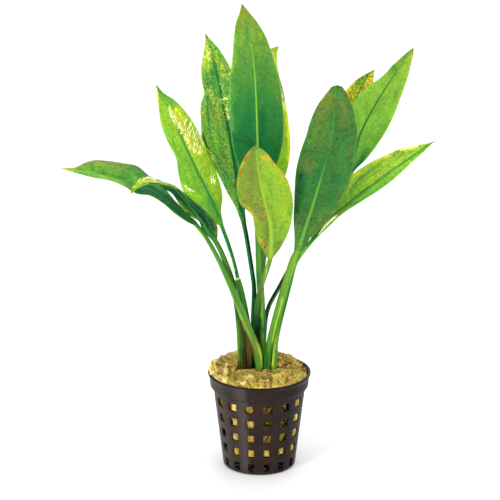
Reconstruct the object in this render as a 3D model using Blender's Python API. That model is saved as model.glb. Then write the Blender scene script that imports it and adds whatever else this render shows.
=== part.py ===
"""Potted amazon sword plant: a lattice pot, its mineral-wool plug, a short
crown, eleven leaves and one cut leaf stalk.

Frame: +Z up, metres. The origin is the centre of the pot's underside, where it
stands. The plant's front is towards -Y.

Leaf outlines are laid out on a view sheet, 500 units square (u to the right,
v down), seen from EYE, a raised point in front of the plant. A rail point is
(u, v, y): the place on the sheet, and how far back it lies (y, in mm)."""

import math

import bmesh
import bpy
import numpy as np

# ---------------------------------------------------------------- dimensions
MM = 0.001

POT_HEIGHT = 49.5          # mm, underside to the top of the lip
POT_BASE_R = 18.2          # mm, outside of the wall just above the base
POT_BODY_R = 23.3          # mm, outside of the wall just under the collar
POT_WALL = 1.0             # mm
POT_COLUMNS = 15           # windows around
POT_ROWS = 5               # windows up
ROW_PITCH = 8.2            # mm
ROW_FIRST = 3.8            # mm, centre height of the lowest row
WINDOW_H = 4.3             # mm
RIB_HALF = 2.29            # mm, half the width of an upright rib
SPOKE_HALF = (0.62, 1.15)  # mm, half the width of a base spoke, inner and outer end
COLLAR_Z = 41.2            # mm, where the wall steps out to the collar
SLOT_R = (6.5, 15.0)       # mm, the slots in the base run between these radii
BASE_T = 1.4               # mm

WOOL_BOTTOM = 9.4          # mm
WOOL_GAP = 0.35            # mm, to the pot's inner wall
WELL = (-0.8, 4.5, 12.2, 8.5)   # mm: centre x, y and half-widths of the well
WELL_FLOOR = 30.6          # mm
CROWN_TOP = 43.0           # mm
FOOT_Z = 43.4              # mm, where the leaf stalks start

LEAF_T = 0.70              # mm, leaf blade thickness
STALK_BANDS = 9            # loft sections along a stalk
BLADE_BANDS = 15           # loft sections along a blade

EYE = (0.0, -1206.1, 510.1)     # mm
SHEET_PITCH = math.radians(18.201)
SHEET_YAW = math.radians(0.223)
SHEET_F = 2556.0
SHEET_MID = 250.0

# Leaf tables. stalk: (u, v, y, radius) from the crown upwards, after the foot
# (x, y, radius) in mm. blade: the midrib point, the left edge and the right
# edge, as seen on the leaf's upper side with its tip up.
LEAVES = {
    "leaf_tall_centre": dict(
        foot=(2.0, 3.6, 1.70), colour=(0.10, 0.36, 0.06),
        stalk=[(262.9, 360, 3.4, 1.65), (263.0, 340, 2.9, 1.65), (262.3, 320, 2.5, 1.65),
               (261.3, 300, 1.8, 1.75), (260.0, 280, 1.0, 1.85), (259.4, 260, 0.0, 1.90),
               (259.0, 243, -1.0, 1.85)],
        blade=[((258.4, 226, -2.0), (261.9, 226, -1.8), (254.9, 226, -1.8)),
               ((258.3, 208, -2.8), (263.6, 208, -1.6), (251.8, 208, -1.6)),
               ((258.2, 190, -3.8), (268.0, 190, -1.8), (247.2, 190, -1.6)),
               ((258.0, 170, -5.0), (275.0, 170, -2.2), (240.4, 170, -2.0)),
               ((257.8, 150, -6.2), (281.4, 150, -2.9), (233.5, 150, -2.8)),
               ((257.3, 130, -7.4), (284.0, 130, -3.9), (230.8, 130, -3.8)),
               ((256.5, 105, -9.2), (282.8, 105, -5.6), (229.9, 105, -5.4)),
               ((255.2, 80, -11.4), (279.0, 80, -8.0), (229.9, 80, -7.8)),
               ((253.3, 57, -13.8), (272.9, 56, -10.9), (232.4, 56, -10.8)),
               ((250.2, 38, -16.2), (266.0, 37, -14.0), (233.8, 37, -13.9)),
               ((247.0, 24, -18.0), (258.0, 23, -16.6), (235.8, 23, -16.5)),
               ((244.4, 13, -19.3), (249.6, 12.4, -18.7), (239.4, 12.4, -18.7))],
        tip=(242.0, 4.0, -20.2)),
    "leaf_left_centre": dict(
        foot=(-4.0, 9.2, 1.30), colour=(0.13, 0.38, 0.07),
        stalk=[(252.6, 360, 9.0, 1.35), (253.3, 335, 8.8, 1.42), (253.6, 315, 8.9, 1.42),
               (254.1, 298, 9.1, 1.28), (253.9, 285, 9.5, 1.15), (251.8, 270, 10.0, 1.15),
               (249.0, 252, 10.7, 1.15), (246.6, 237, 11.5, 1.15)],
        blade=[((243.6, 222, 12.5), (241.3, 222.5, 12.2), (246.0, 221.5, 12.7)),
               ((241.0, 206, 14.0), (235.0, 206.5, 12.6), (245.4, 205.5, 13.8)),
               ((238.8, 192, 16.5), (227.6, 193.5, 14.2), (250.0, 190, 16.0)),
               ((237.0, 177, 19.5), (219.6, 177.5, 16.4), (254.0, 174, 18.8)),
               ((234.5, 160, 22.5), (211.6, 159.5, 19.0), (256.0, 157, 21.8)),
               ((231.0, 142, 25.6), (205.0, 143, 21.8), (256.0, 139, 25.0)),
               ((227.0, 122, 29.0), (200.7, 123, 25.0), (252.0, 119, 28.6)),
               ((223.0, 103.5, 32.2), (200.7, 104, 28.8), (244.5, 101, 32.2)),
               ((221.0, 93.5, 34.4), (203.9, 93.4, 31.8), (241.0, 91, 34.4)),
               ((219.0, 82, 36.8), (201.9, 82.5, 33.9), (235.5, 79.5, 36.9)),
               ((216.2, 67, 39.8), (201.1, 67.5, 37.4), (229.2, 65.5, 40.2)),
               ((212.4, 53, 42.3), (203.3, 53.5, 40.7), (220.7, 51, 42.8)),
               ((208.7, 42.5, 44.1), (205.1, 43, 43.4), (212.5, 41.3, 44.3))],
        tip=(205.3, 33.8, 45.5)),
    "leaf_left": dict(
        foot=(-7.1, 6.3, 1.35), colour=(0.26, 0.50, 0.06),
        stalk=[(246.4, 360, 6.9, 1.30), (246.2, 343, 7.4, 1.25), (245.3, 325, 7.9, 1.15),
               (243.4, 305, 8.5, 1.05), (240.6, 290, 9.0, 1.00), (237.3, 276, 9.3, 0.98),
               (233.2, 260, 9.6, 0.98), (227.6, 242, 9.9, 1.0)],
        blade=[((221.2, 224.5, 10.1), (219.2, 225.6, 9.5), (223.2, 223.6, 10.5)),
               ((217.8, 214.5, 10.6), (209.0, 219, 7.0), (221.3, 211, 12.6)),
               ((212.0, 201, 11.2), (195.0, 208, 6.0), (222.7, 196.5, 13.8)),
               ((204.5, 185, 11.9), (184.0, 192.5, 6.4), (218.9, 178.5, 14.6)),
               ((196.0, 168, 12.6), (178.2, 174, 7.0), (211.9, 158.5, 15.2)),
               ((188.2, 152, 13.2), (175.7, 157.8, 7.7), (203.8, 140, 15.6)),
               ((180.5, 134.5, 13.8), (166.5, 140, 8.4), (194.9, 124.5, 15.9)),
               ((172.8, 117, 14.4), (160.3, 121.5, 9.6), (185.2, 111, 16.1)),
               ((166.2, 104, 14.9), (158.4, 106, 11.4), (174.2, 99.6, 16.2)),
               ((160.9, 94.3, 15.4), (157.0, 95.6, 13.9), (164.0, 93.2, 16.1))],
        tip=(156.3, 85.5, 16.0)),
    "leaf_back_centre": dict(
        foot=(0.0, 9.3, 1.20), colour=(0.42, 0.55, 0.06),
        stalk=[(260.6, 358, 9.4, 1.20), (261.6, 330, 9.8, 1.15), (261.4, 303, 10.3, 1.10),
               (262.4, 280, 10.8, 1.10), (264.8, 262, 11.2, 1.10), (266.8, 243, 11.5, 1.10),
               (267.7, 225, 11.8, 1.10)],
        blade=[((268.0, 208, 12.1), (266.0, 208.5, 11.8), (270.0, 207.5, 12.2)),
               ((268.0, 190, 14.0), (259.0, 191, 12.0), (279.0, 189, 13.5)),
               ((268.0, 172, 16.5), (252.5, 173, 13.5), (286.6, 172, 15.5)),
               ((268.0, 152, 19.0), (247.0, 153, 15.4), (290.4, 151, 18.0)),
               ((268.0, 132, 21.5), (244.5, 133, 17.4), (289.6, 131, 20.0)),
               ((268.0, 112, 24.0), (244.8, 113, 19.8), (287.1, 111, 22.5)),
               ((268.5, 92, 26.5), (247.2, 93, 22.8), (283.6, 91.5, 25.4)),
               ((269.8, 74, 29.0), (251.8, 75, 25.8), (279.0, 74.5, 28.0)),
               ((272.2, 61, 31.0), (258.4, 60, 28.4), (277.1, 61.5, 30.4)),
               ((275.3, 52.5, 32.5), (266.5, 50.4, 31.2), (277.2, 53.5, 32.2))],
        tip=(278.8, 46.3, 34.0)),
    "leaf_front_small": dict(
        foot=(-2.3, 5.3, 1.30), colour=(0.42, 0.46, 0.06),
        stalk=[(256.4, 355, 4.6, 1.30), (256.0, 340, 3.9, 1.30), (255.9, 325, 2.4, 1.30),
               (256.4, 312, 0.6, 1.25), (257.7, 300, -1.6, 1.20), (260.8, 288, -3.6, 1.15),
               (264.8, 276, -4.8, 1.15), (267.8, 267, -5.5, 1.15)],
        blade=[((270.2, 259, -6.0), (272.0, 259, -5.8), (268.2, 259.2, -5.8)),
               ((271.2, 250, -8.0), (279.0, 250, -6.4), (262.9, 250.5, -6.4)),
               ((271.6, 240, -10.5), (285.0, 240, -8.0), (257.4, 240, -8.0)),
               ((271.0, 229, -13.5), (290.0, 228, -10.0), (254.6, 228, -10.5)),
               ((268.7, 217, -16.7), (292.2, 216.5, -12.6), (251.8, 215, -13.2)),
               ((265.5, 204, -20.0), (293.1, 203, -15.5), (240.6, 203.8, -16.0)),
               ((262.0, 190, -23.5), (290.9, 189, -19.0), (236.7, 190, -19.0)),
               ((259.3, 177, -27.0), (285.5, 176.5, -22.6), (237.6, 177, -22.5)),
               ((257.4, 165, -30.0), (275.6, 164.7, -26.8), (241.1, 164.7, -26.5)),
               ((256.2, 155, -32.6), (267.8, 154.2, -30.9), (246.2, 154.6, -30.6)),
               ((255.5, 149.6, -34.2), (261.6, 148.9, -33.5), (250.0, 149.5, -33.3))],
        tip=(255.2, 145.9, -35.4)),
    "leaf_right_front": dict(
        foot=(3.9, 0.2, 1.62), colour=(0.08, 0.26, 0.05),
        stalk=[(266.9, 368, 0.1, 1.60), (268.2, 350, -0.6, 1.58), (270.0, 340, -1.1, 1.57),
               (274.6, 321, -2.2, 1.55), (280.2, 300, -3.6, 1.52), (286.3, 280, -5.0, 1.50),
               (292.4, 260, -6.3, 1.45)],
        blade=[((297.0, 251, -7.0), (299.3, 250.5, -6.6), (293.9, 250.5, -7.0)),
               ((300.5, 241, -8.0), (308.0, 240.5, -6.0), (294.5, 241, -7.5)),
               ((304.0, 230.5, -9.0), (317.7, 231, -6.0), (294.0, 230, -8.0)),
               ((308.0, 219, -10.0), (329.8, 218.8, -5.6), (293.4, 218.5, -8.5)),
               ((312.5, 205, -11.0), (337.2, 205, -6.0), (294.0, 205, -9.5)),
               ((317.5, 188.5, -12.5), (347.3, 188.5, -7.0), (294.8, 188, -11.0)),
               ((323.0, 170, -14.0), (352.2, 170, -8.5), (296.2, 169.5, -12.5)),
               ((328.0, 153, -15.5), (354.8, 153, -10.5), (300.0, 153, -14.0)),
               ((331.2, 137, -17.0), (357.8, 135, -12.5), (305.6, 137, -15.5)),
               ((333.3, 121, -19.0), (356.0, 120.5, -15.0), (310.3, 121, -17.5)),
               ((335.0, 106, -21.0), (352.5, 106, -18.0), (317.0, 106, -19.5)),
               ((336.0, 95, -22.6), (347.6, 95, -21.0), (324.9, 94.8, -21.6)),
               ((336.4, 89, -23.6), (343.2, 88.8, -23.0), (329.8, 89.2, -23.0))],
        tip=(336.4, 85.5, -24.0)),
    "leaf_right_spotted": dict(
        foot=(6.9, 8.6, 1.20), colour=(0.45, 0.42, 0.07),
        stalk=[(272.6, 358, 9.0, 1.20), (275.4, 330, 10.0, 1.15), (281.8, 305, 11.4, 1.10),
               (287.8, 283, 13.0, 1.10), (295.0, 258, 15.0, 1.10), (300.6, 236, 16.6, 1.10)],
        blade=[((306.0, 216, 18.0), (304.4, 215.2, 18.3), (307.7, 216.9, 17.7)),
               ((313.0, 198, 21.0), (305.0, 194, 22.5), (321.0, 202, 18.7)),
               ((321.0, 178, 25.0), (308.5, 172, 27.0), (332.0, 184, 22.0)),
               ((330.0, 157, 29.0), (315.5, 150, 31.5), (343.0, 164, 25.4)),
               ((338.0, 138, 32.5), (323.5, 130, 35.2), (352.0, 146, 28.7)),
               ((346.0, 120, 35.5), (331.5, 111, 38.2), (359.5, 128, 31.7)),
               ((352.5, 106, 38.0), (339.5, 97.5, 40.4), (365.0, 114, 34.6)),
               ((358.5, 93.5, 40.0), (347.8, 88.3, 41.9), (369.5, 100.5, 37.2)),
               ((364.0, 84, 41.6), (355.6, 80.3, 42.8), (372.8, 88.5, 39.7)),
               ((369.0, 76.8, 43.0), (363.7, 74.8, 43.7), (373.5, 80, 42.2))],
        tip=(374.4, 69.9, 44.5)),
    "leaf_right_long": dict(
        foot=(3.4, 7.1, 1.15), colour=(0.24, 0.50, 0.06),
        stalk=[(263.8, 355, 7.4, 1.10), (264.4, 335, 7.7, 1.10), (266.0, 317, 8.0, 1.10),
               (269.0, 306, 8.2, 1.10), (273.6, 297, 8.5, 1.10), (280.4, 285, 9.1, 1.10),
               (289.0, 269, 10.0, 1.10), (299.0, 252, 11.1, 1.10), (311.0, 233, 12.4, 1.10)],
        blade=[((322.0, 216, 13.6), (320.3, 214.8, 13.9), (324.0, 217.2, 13.2)),
               ((331.0, 201, 15.0), (324.0, 197.5, 16.6), (338.5, 203, 12.8)),
               ((339.0, 187, 16.6), (328.0, 181.5, 19.0), (346.5, 188, 13.4)),
               ((346.0, 173, 18.2), (332.5, 166, 21.0), (353.8, 172, 14.4)),
               ((353.0, 156, 20.2), (338.5, 148, 23.2), (365.5, 160, 16.0)),
               ((359.0, 138, 22.2), (345.0, 128, 25.4), (376.3, 146, 17.7)),
               ((367.0, 120, 24.5), (351.5, 106.5, 27.8), (386.2, 131.3, 19.8)),
               ((376.0, 104, 26.8), (361.5, 93, 30.0), (394.2, 115, 22.3)),
               ((384.5, 90, 29.0), (372.5, 83.3, 31.8), (400.3, 99, 24.9)),
               ((392.0, 78, 31.0), (384.0, 74.8, 33.2), (405.2, 85, 27.7)),
               ((398.5, 68.5, 32.5), (391.3, 66.5, 34.0), (408.9, 73.5, 30.0)),
               ((404.5, 60, 33.8), (398.6, 59.7, 34.8), (411.4, 63, 32.3)),
               ((409.5, 53.2, 34.8), (406.2, 52.8, 35.2), (413.3, 55.5, 34.0))],
        tip=(413.9, 47.2, 35.8)),
    "leaf_right_low": dict(
        foot=(7.6, 1.0, 1.60), colour=(0.30, 0.50, 0.06),
        stalk=[(273.8, 368, 1.0, 1.58), (274.8, 350, 1.3, 1.53), (276.1, 338, 1.6, 1.48),
               (280.1, 320, 2.0, 1.42), (285.2, 300, 2.5, 1.36), (290.5, 280, 3.0, 1.28),
               (295.7, 262, 3.5, 1.16)],
        blade=[((305.2, 248.7, 3.9), (303.7, 247.2, 4.3), (306.6, 250.0, 3.5)),
               ((313.0, 239.2, 4.3), (308.9, 234.4, 6.0), (315.1, 240.0, 2.6)),
               ((323.6, 226.8, 5.0), (315.3, 217.7, 8.4), (327.2, 227.9, 0.8)),
               ((334.3, 215.7, 5.7), (323.4, 204, 9.8), (338.6, 216.6, -0.8)),
               ((345.5, 205.5, 6.4), (333.0, 191.5, 10.4), (350.3, 208.3, -1.6)),
               ((357.5, 195.5, 7.0), (345.5, 179.5, 10.8), (364.0, 200.2, -1.6)),
               ((371.0, 185.5, 7.7), (359.5, 168.8, 11.4), (378.3, 191.4, -1.0)),
               ((385.0, 174.7, 8.4), (374.0, 160.3, 12.0), (391.7, 181.0, 0.4)),
               ((398.5, 165.3, 9.0), (388.5, 154, 12.3), (404.0, 170.2, 2.6)),
               ((411.0, 156.8, 9.5), (402.5, 148, 12.2), (415.1, 159.8, 5.2)),
               ((421.5, 149.8, 9.9), (415.5, 145.3, 11.6), (423.7, 151.7, 7.8)),
               ((428.0, 145.6, 10.1), (425.0, 143.5, 10.8), (428.9, 146.4, 9.2))],
        tip=(434.3, 141.6, 10.3)),
    "leaf_far_left": dict(
        foot=(-0.4, 0.4, 1.95), colour=(0.13, 0.36, 0.06),
        stalk=[(259.3, 368, -0.2, 1.92), (257.4, 353, -0.9, 1.90), (253.0, 340, -2.0, 1.90),
               (244.9, 320, -4.6, 1.85), (236.9, 300, -6.6, 1.72), (228.6, 281, -7.8, 1.45),
               (218.7, 260, -8.8, 1.25), (207.6, 240, -9.6, 1.10)],
        blade=[((194.5, 224.5, -10.4), (194.0, 226.2, -10.9), (195.0, 223.0, -10.0)),
               ((184.0, 212.5, -12.0), (186.0, 221.3, -16.0), (184.2, 210.3, -8.0)),
               ((174.0, 203.5, -13.6), (175.0, 213.9, -19.0), (173.9, 198.3, -7.6)),
               ((163.0, 195.3, -15.2), (164.0, 203.8, -21.5), (163.2, 187.2, -7.6)),
               ((150.0, 187.0, -17.0), (150.0, 195.5, -24.0), (149.0, 175.6, -8.8)),
               ((137.5, 183.5, -18.6), (137.0, 193.6, -26.0), (137.0, 166.1, -10.0)),
               ((124.0, 181.0, -20.0), (123.0, 186.2, -27.6), (122.5, 163.0, -11.6)),
               ((110.0, 177.3, -21.6), (109.0, 181.3, -28.6), (108.0, 160.6, -13.6)),
               ((97.0, 174.0, -23.2), (96.0, 178.4, -29.0), (95.0, 159.9, -16.2)),
               ((86.0, 171.8, -24.6), (85.0, 175.5, -28.8), (85.5, 162.0, -19.8)),
               ((76.0, 170.1, -26.0), (75.6, 172.9, -28.2), (76.5, 166.6, -24.2)),
               ((69.0, 169.2, -26.9), (68.8, 170.9, -27.8), (69.5, 167.9, -26.2))],
        tip=(62.5, 168.6, -27.6)),
    "leaf_arching": dict(
        foot=(-9.2, 1.5, 1.68), colour=(0.09, 0.28, 0.05),
        stalk=[(241.0, 366, 1.2, 1.66), (240.3, 342, 0.4, 1.62), (238.9, 322, -0.4, 1.56),
               (236.6, 303, -1.4, 1.48), (233.9, 289, -2.6, 1.40), (230.0, 274, -4.4, 1.34),
               (225.0, 261, -6.4, 1.30), (220.3, 250, -8.6, 1.26)],
        blade=[((215.8, 240, -11.0), (217.3, 239, -11.8), (213.8, 239.3, -10.3)),
               ((208.3, 228.5, -14.2), (217.9, 229.5, -18.4), (204.6, 228.6, -11.2)),
               ((200.5, 217.5, -18.0), (215.5, 219.6, -24.0), (193.4, 217.6, -13.4)),
               ((190.5, 205.5, -22.8), (203.5, 209.8, -28.4), (181.4, 206.2, -17.4)),
               ((181.5, 194.5, -28.0), (192.5, 201.4, -33.6), (171.3, 194.9, -22.0)),
               ((174.5, 187.6, -32.6), (184.5, 193.8, -38.4), (163.0, 186.6, -26.6)),
               ((165.5, 183.2, -38.0), (175.0, 187.0, -43.6), (156.0, 180.8, -32.6)),
               ((155.5, 181.2, -43.0), (163.0, 185.1, -48.4), (149.3, 176.3, -38.0)),
               ((146.5, 181.3, -47.0), (152.0, 184.2, -51.6), (142.2, 176.8, -43.0)),
               ((139.5, 184.0, -50.0), (143.0, 185.8, -53.2), (136.4, 180.6, -47.6)),
               ((134.5, 188.3, -52.2), (136.6, 189.6, -53.8), (132.4, 185.8, -51.0))],
        tip=(130.8, 193.8, -53.8)),
}

STUB = dict(foot=(-5.0, 2.2, 1.75),
            stalk=[(250.4, 360, 2.5, 1.75), (249.2, 343, 2.5, 1.75), (247.4, 326, 2.2, 1.75),
                   (245.2, 313, 1.9, 1.72), (242.7, 300, 1.6, 1.68), (240.0, 288, 1.3, 1.62),
                   (237.3, 279.2, 1.0, 1.58)])


# ------------------------------------------------------------------- helpers
def clear_scene():
    for ob in list(bpy.data.objects):
        bpy.data.objects.remove(ob, do_unlink=True)


def on_sheet(u, v, y):
    """The point (mm) at depth y that shows at (u, v) on the view sheet."""
    cp, sp = math.cos(SHEET_PITCH), math.sin(SHEET_PITCH)
    cw, sw = math.cos(SHEET_YAW), math.sin(SHEET_YAW)
    forward = np.array([-sw * cp, cw * cp, -sp])
    right = np.array([cw, sw, 0.0])
    up = np.cross(right, forward)
    ray = forward * SHEET_F + right * (u - SHEET_MID) - up * (v - SHEET_MID)
    return np.array(EYE) + ray * ((y - EYE[1]) / ray[1])


def spline(points, knots, ts):
    """Smooth curve through points (Catmull-Rom on uneven knots) at ts."""
    p = np.asarray(points, float)
    k = np.asarray(knots, float)
    slope = np.empty_like(p)
    for i in range(len(p)):
        a, b = max(i - 1, 0), min(i + 1, len(p) - 1)
        if 0 < i < len(p) - 1:
            h0, h1 = k[i] - k[i - 1], k[i + 1] - k[i]
            slope[i] = ((p[i] - p[i - 1]) / h0 * h1 + (p[i + 1] - p[i]) / h1 * h0) / (h0 + h1)
        else:
            slope[i] = (p[b] - p[a]) / (k[b] - k[a])
    out = []
    for t in ts:
        i = int(np.clip(np.searchsorted(k, t, side="right") - 1, 0, len(k) - 2))
        h = k[i + 1] - k[i]
        s = (t - k[i]) / h
        out.append((2 * s**3 - 3 * s**2 + 1) * p[i] + (s**3 - 2 * s**2 + s) * h * slope[i]
                   + (-2 * s**3 + 3 * s**2) * p[i + 1] + (s**3 - s**2) * h * slope[i + 1])
    return np.array(out)


def unit(a):
    return a / max(float(np.linalg.norm(a)), 1e-12)


def finish_object(name, bm, colour, roughness=0.5):
    bmesh.ops.recalc_face_normals(bm, faces=bm.faces)
    mesh = bpy.data.meshes.new(name)
    bm.to_mesh(mesh)
    bm.free()
    mesh.shade_smooth()
    mesh.set_sharp_from_angle(angle=math.radians(35))
    ob = bpy.data.objects.new(name, mesh)
    bpy.context.scene.collection.objects.link(ob)
    mat = bpy.data.materials.new(name)
    mat.use_nodes = True
    bsdf = mat.node_tree.nodes["Principled BSDF"]
    bsdf.inputs["Base Color"].default_value = (*colour, 1.0)
    bsdf.inputs["Roughness"].default_value = roughness
    bsdf.inputs["Metallic"].default_value = 0.0
    mesh.materials.append(mat)
    return ob


def loft(bm, rings, tip=None):
    """Closed skin over equal rings; the end is a tip point or a flat cap."""
    loops = [[bm.verts.new(tuple(p * MM)) for p in ring] for ring in rings]
    n = len(loops[0])
    for a, b in zip(loops, loops[1:]):
        for i in range(n):
            j = (i + 1) % n
            bm.faces.new((a[i], a[j], b[j], b[i]))
    bm.faces.new(list(reversed(loops[0])))
    if tip is None:
        bm.faces.new(loops[-1])
    else:
        point = bm.verts.new(tuple(tip * MM))
        for i in range(n):
            bm.faces.new((loops[-1][i], loops[-1][(i + 1) % n], point))


# --------------------------------------------------------------------- leaves
def leaf_rails(spec):
    """Midrib, edges and rib radius as tables over one running knot."""
    fx, fy, fr = spec["foot"]
    mid = [np.array([fx, fy, FOOT_Z])]
    rad = [fr]
    for u, v, y, r in spec["stalk"]:
        mid.append(on_sheet(u, v, y))
        rad.append(r)
    n_stalk = len(mid)
    left, right = [], []
    for m, l, r in spec["blade"]:
        mid.append(on_sheet(*m))
        left.append(on_sheet(*l))
        right.append(on_sheet(*r))
    tip = on_sheet(*spec["tip"])
    mid.append(tip)
    left.append(tip)
    right.append(tip)
    mid = np.array(mid)
    knots = np.concatenate([[0.0], np.cumsum(np.sqrt(np.linalg.norm(np.diff(mid, axis=0), axis=1)))])
    return mid, np.array(rad), np.array(left), np.array(right), knots, n_stalk


def leaf_sections(spec, stalk_bands, blade_bands):
    mid, rad, left, right, knots, n_stalk = leaf_rails(spec)
    k0 = knots[n_stalk]
    blade_knots = knots[n_stalk:]
    w0 = right[0] - left[0]
    r_end = rad[-1]
    ts = list(np.linspace(0.0, k0, stalk_bands, endpoint=False))
    ts += [k0 + (blade_knots[-1] - k0) * (1 - (1 - i / blade_bands) ** 1.15) for i in range(blade_bands)]
    centre = spline(mid, knots, ts)
    ahead = spline(mid, knots, [min(t + 0.05, knots[-1]) for t in ts])
    behind = spline(mid, knots, [max(t - 0.05, 0.0) for t in ts])
    sections = []
    for i, t in enumerate(ts):
        tangent = unit(ahead[i] - behind[i])
        if t < k0:
            r = float(np.interp(t, knots[:n_stalk], rad))
            side = unit(w0 - tangent * float(w0 @ tangent))
            lp, rp = centre[i] - side * r, centre[i] + side * r
            b = 0.0
        else:
            lp = spline(left, blade_knots, [t])[0]
            rp = spline(right, blade_knots, [t])[0]
            b = (t - k0) / (blade_knots[-1] - k0)
            r = r_end * (1 - b) ** 1.3 + 0.16
        normal = unit(np.cross(rp - lp, tangent))
        sections.append((centre[i], lp, rp, normal, r, b))
    return sections, mid[-1]


def leaf_ring(section):
    """Eight points: along the upper side from left to right, then back."""
    m, lp, rp, n, r, b = section
    half_t = LEAF_T / 2
    top, bottom = [], []
    for x in (-1.0, -0.58, 0.0, 0.58, 1.0):
        base = m + (abs(x) * (lp - m) if x < 0 else x * (rp - m))
        width = float(np.linalg.norm((lp if x < 0 else rp) - m))
        arch = 0.05 * width * 4 * abs(x) * (1 - abs(x)) * min(1.0, 6 * b)
        round_h = r * math.sqrt(max(0.0, 1 - (abs(x) * width / r) ** 2))
        up = max(half_t if b > 0 else 0.0, round_h * max(0.0, 1 - 7 * b))
        if b == 0:
            up = round_h
        down = max(half_t if b > 0 else 0.0, round_h)
        if abs(x) == 1.0:
            up = down = 0.0
        top.append(base + n * (arch + up))
        bottom.append(base + n * (arch - down))
    return top + bottom[3:0:-1]


def make_leaf(name, spec):
    sections, tip = leaf_sections(spec, STALK_BANDS, BLADE_BANDS)
    bm = bmesh.new()
    loft(bm, [leaf_ring(s) for s in sections], tip)
    return finish_object(name, bm, spec["colour"], 0.45)


def make_stub():
    """A stalk cut square across, round in section."""
    fx, fy, fr = STUB["foot"]
    mid = [np.array([fx, fy, FOOT_Z])] + [on_sheet(u, v, y) for u, v, y, _ in STUB["stalk"]]
    rad = [fr] + [r for *_, r in STUB["stalk"]]
    mid = np.array(mid)
    knots = np.concatenate([[0.0], np.cumsum(np.linalg.norm(np.diff(mid, axis=0), axis=1))])
    ts = np.linspace(0.0, knots[-1], 9)
    centre = spline(mid, knots, ts)
    rings = []
    for i, t in enumerate(ts):
        tangent = unit(centre[min(i + 1, 8)] - centre[max(i - 1, 0)])
        a = unit(np.cross(tangent, np.array([0.0, 1.0, 0.0])))
        c = np.cross(a, tangent)
        r = float(np.interp(t, knots, rad))
        rings.append([centre[i] + r * (a * math.cos(q) + c * math.sin(q))
                      for q in np.linspace(0, 2 * math.pi, 10, endpoint=False)])
    bm = bmesh.new()
    loft(bm, rings)
    return finish_object("cut_leaf_stalk", bm, (0.09, 0.28, 0.06), 0.45)


# ------------------------------------------------------------------------ pot
def pot_radius(z):
    return POT_BASE_R + (POT_BODY_R - POT_BASE_R) * z / 42.0


def pot_angles(r, half):
    """Four angles for each window column: the rib's edge, its middle, its other
    edge, and the window's middle. The front lies midway between two windows."""
    out = []
    step = 2 * math.pi / POT_COLUMNS
    h = math.asin(min(0.95, half / r))
    for c in range(POT_COLUMNS):
        a = -math.pi / 2 - math.radians(0.5) + c * step
        out += [a - h, a, a + h, a + step / 2]
    return out


def rib_half(r):
    """Ribs keep their width up the wall and narrow towards the middle of the base."""
    if r > SLOT_R[1]:
        return RIB_HALF
    return float(np.interp(r, SLOT_R, SPOKE_HALF))


def make_pot():
    row_edges = []
    for k in range(POT_ROWS):
        zc = ROW_FIRST + ROW_PITCH * k
        row_edges += [zc - WINDOW_H / 2, zc + WINDOW_H / 2]
    outer = [(SLOT_R[0], 0.0), (SLOT_R[1], 0.0), (17.2, 0.0), (18.1, 0.55)]
    outer += [(pot_radius(z), z) for z in row_edges]
    outer += [(pot_radius(COLLAR_Z), COLLAR_Z), (24.8, 42.5), (25.2, 47.5), (25.9, 48.1),
              (26.0, 48.9), (25.6, POT_HEIGHT)]
    inner = [(24.9, POT_HEIGHT), (24.4, 48.9), (24.0, 43.2), (pot_radius(COLLAR_Z) - POT_WALL, 41.4)]
    inner += [(pot_radius(z) - POT_WALL, z) for z in reversed(row_edges)]
    inner += [(SLOT_R[1], BASE_T), (SLOT_R[0], BASE_T)]
    profile = outer + inner
    # the outer and the inner wall share the same angles, so the windows' sides are radial
    angle_r = [r for r, _ in outer] + [25.6, 25.0, 24.8, pot_radius(COLLAR_Z)]
    angle_r += [pot_radius(z) for z in reversed(row_edges)] + [SLOT_R[1], SLOT_R[0]]
    bm = bmesh.new()
    rings = []
    for (r, z), ra in zip(profile, angle_r):
        rings.append([bm.verts.new((r * math.cos(a) * MM, r * math.sin(a) * MM, z * MM))
                      for a in pot_angles(ra, rib_half(ra))])
    n = 4 * POT_COLUMNS

    def is_window(i):
        return i % 4 in (2, 3)

    first = 4                                    # ring index of row_edges[0] on the outside
    last = len(profile) - 3                      # ring index of row_edges[0] on the inside
    holes = {}                                   # outer band -> inner band
    for k in range(POT_ROWS):
        holes[first + 2 * k] = last - 2 * k - 1
    holes[0] = len(profile) - 2                  # the slots in the base
    open_bands = set(holes) | set(holes.values())
    for b in range(len(rings) - 1):
        for i in range(n):
            if b in open_bands and is_window(i):
                continue
            j = (i + 1) % n
            bm.faces.new((rings[b][i], rings[b][j], rings[b + 1][j], rings[b + 1][i]))
    for ob, ib in holes.items():
        for c in range(POT_COLUMNS):
            i0, i1, i2 = 4 * c + 2, 4 * c + 3, (4 * c + 4) % n
            lo_o, hi_o, hi_i, lo_i = rings[ob], rings[ob + 1], rings[ib], rings[ib + 1]
            for a, d in ((i0, i1), (i1, i2)):
                bm.faces.new((lo_o[a], lo_o[d], lo_i[d], lo_i[a]))
                bm.faces.new((hi_o[a], hi_o[d], hi_i[d], hi_i[a]))
            bm.faces.new((lo_o[i0], hi_o[i0], hi_i[i0], lo_i[i0]))
            bm.faces.new((lo_o[i2], hi_o[i2], hi_i[i2], lo_i[i2]))
    bm.faces.new(list(reversed(rings[0])))
    bm.faces.new(rings[-1])
    return finish_object("net_pot", bm, (0.045, 0.036, 0.036), 0.45)


# ----------------------------------------------------------------------- wool
def wool_top(x, y):
    """Level with the rim at the front, about 3 mm proud of it at the back."""
    back = min(1.0, max(0.0, 0.5 + y / 48.0))
    edge = 49.1 + 2.7 * back
    return edge + 1.2 * (1 - min(1.0, math.hypot(x, y) / 24.0) ** 2)


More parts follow.
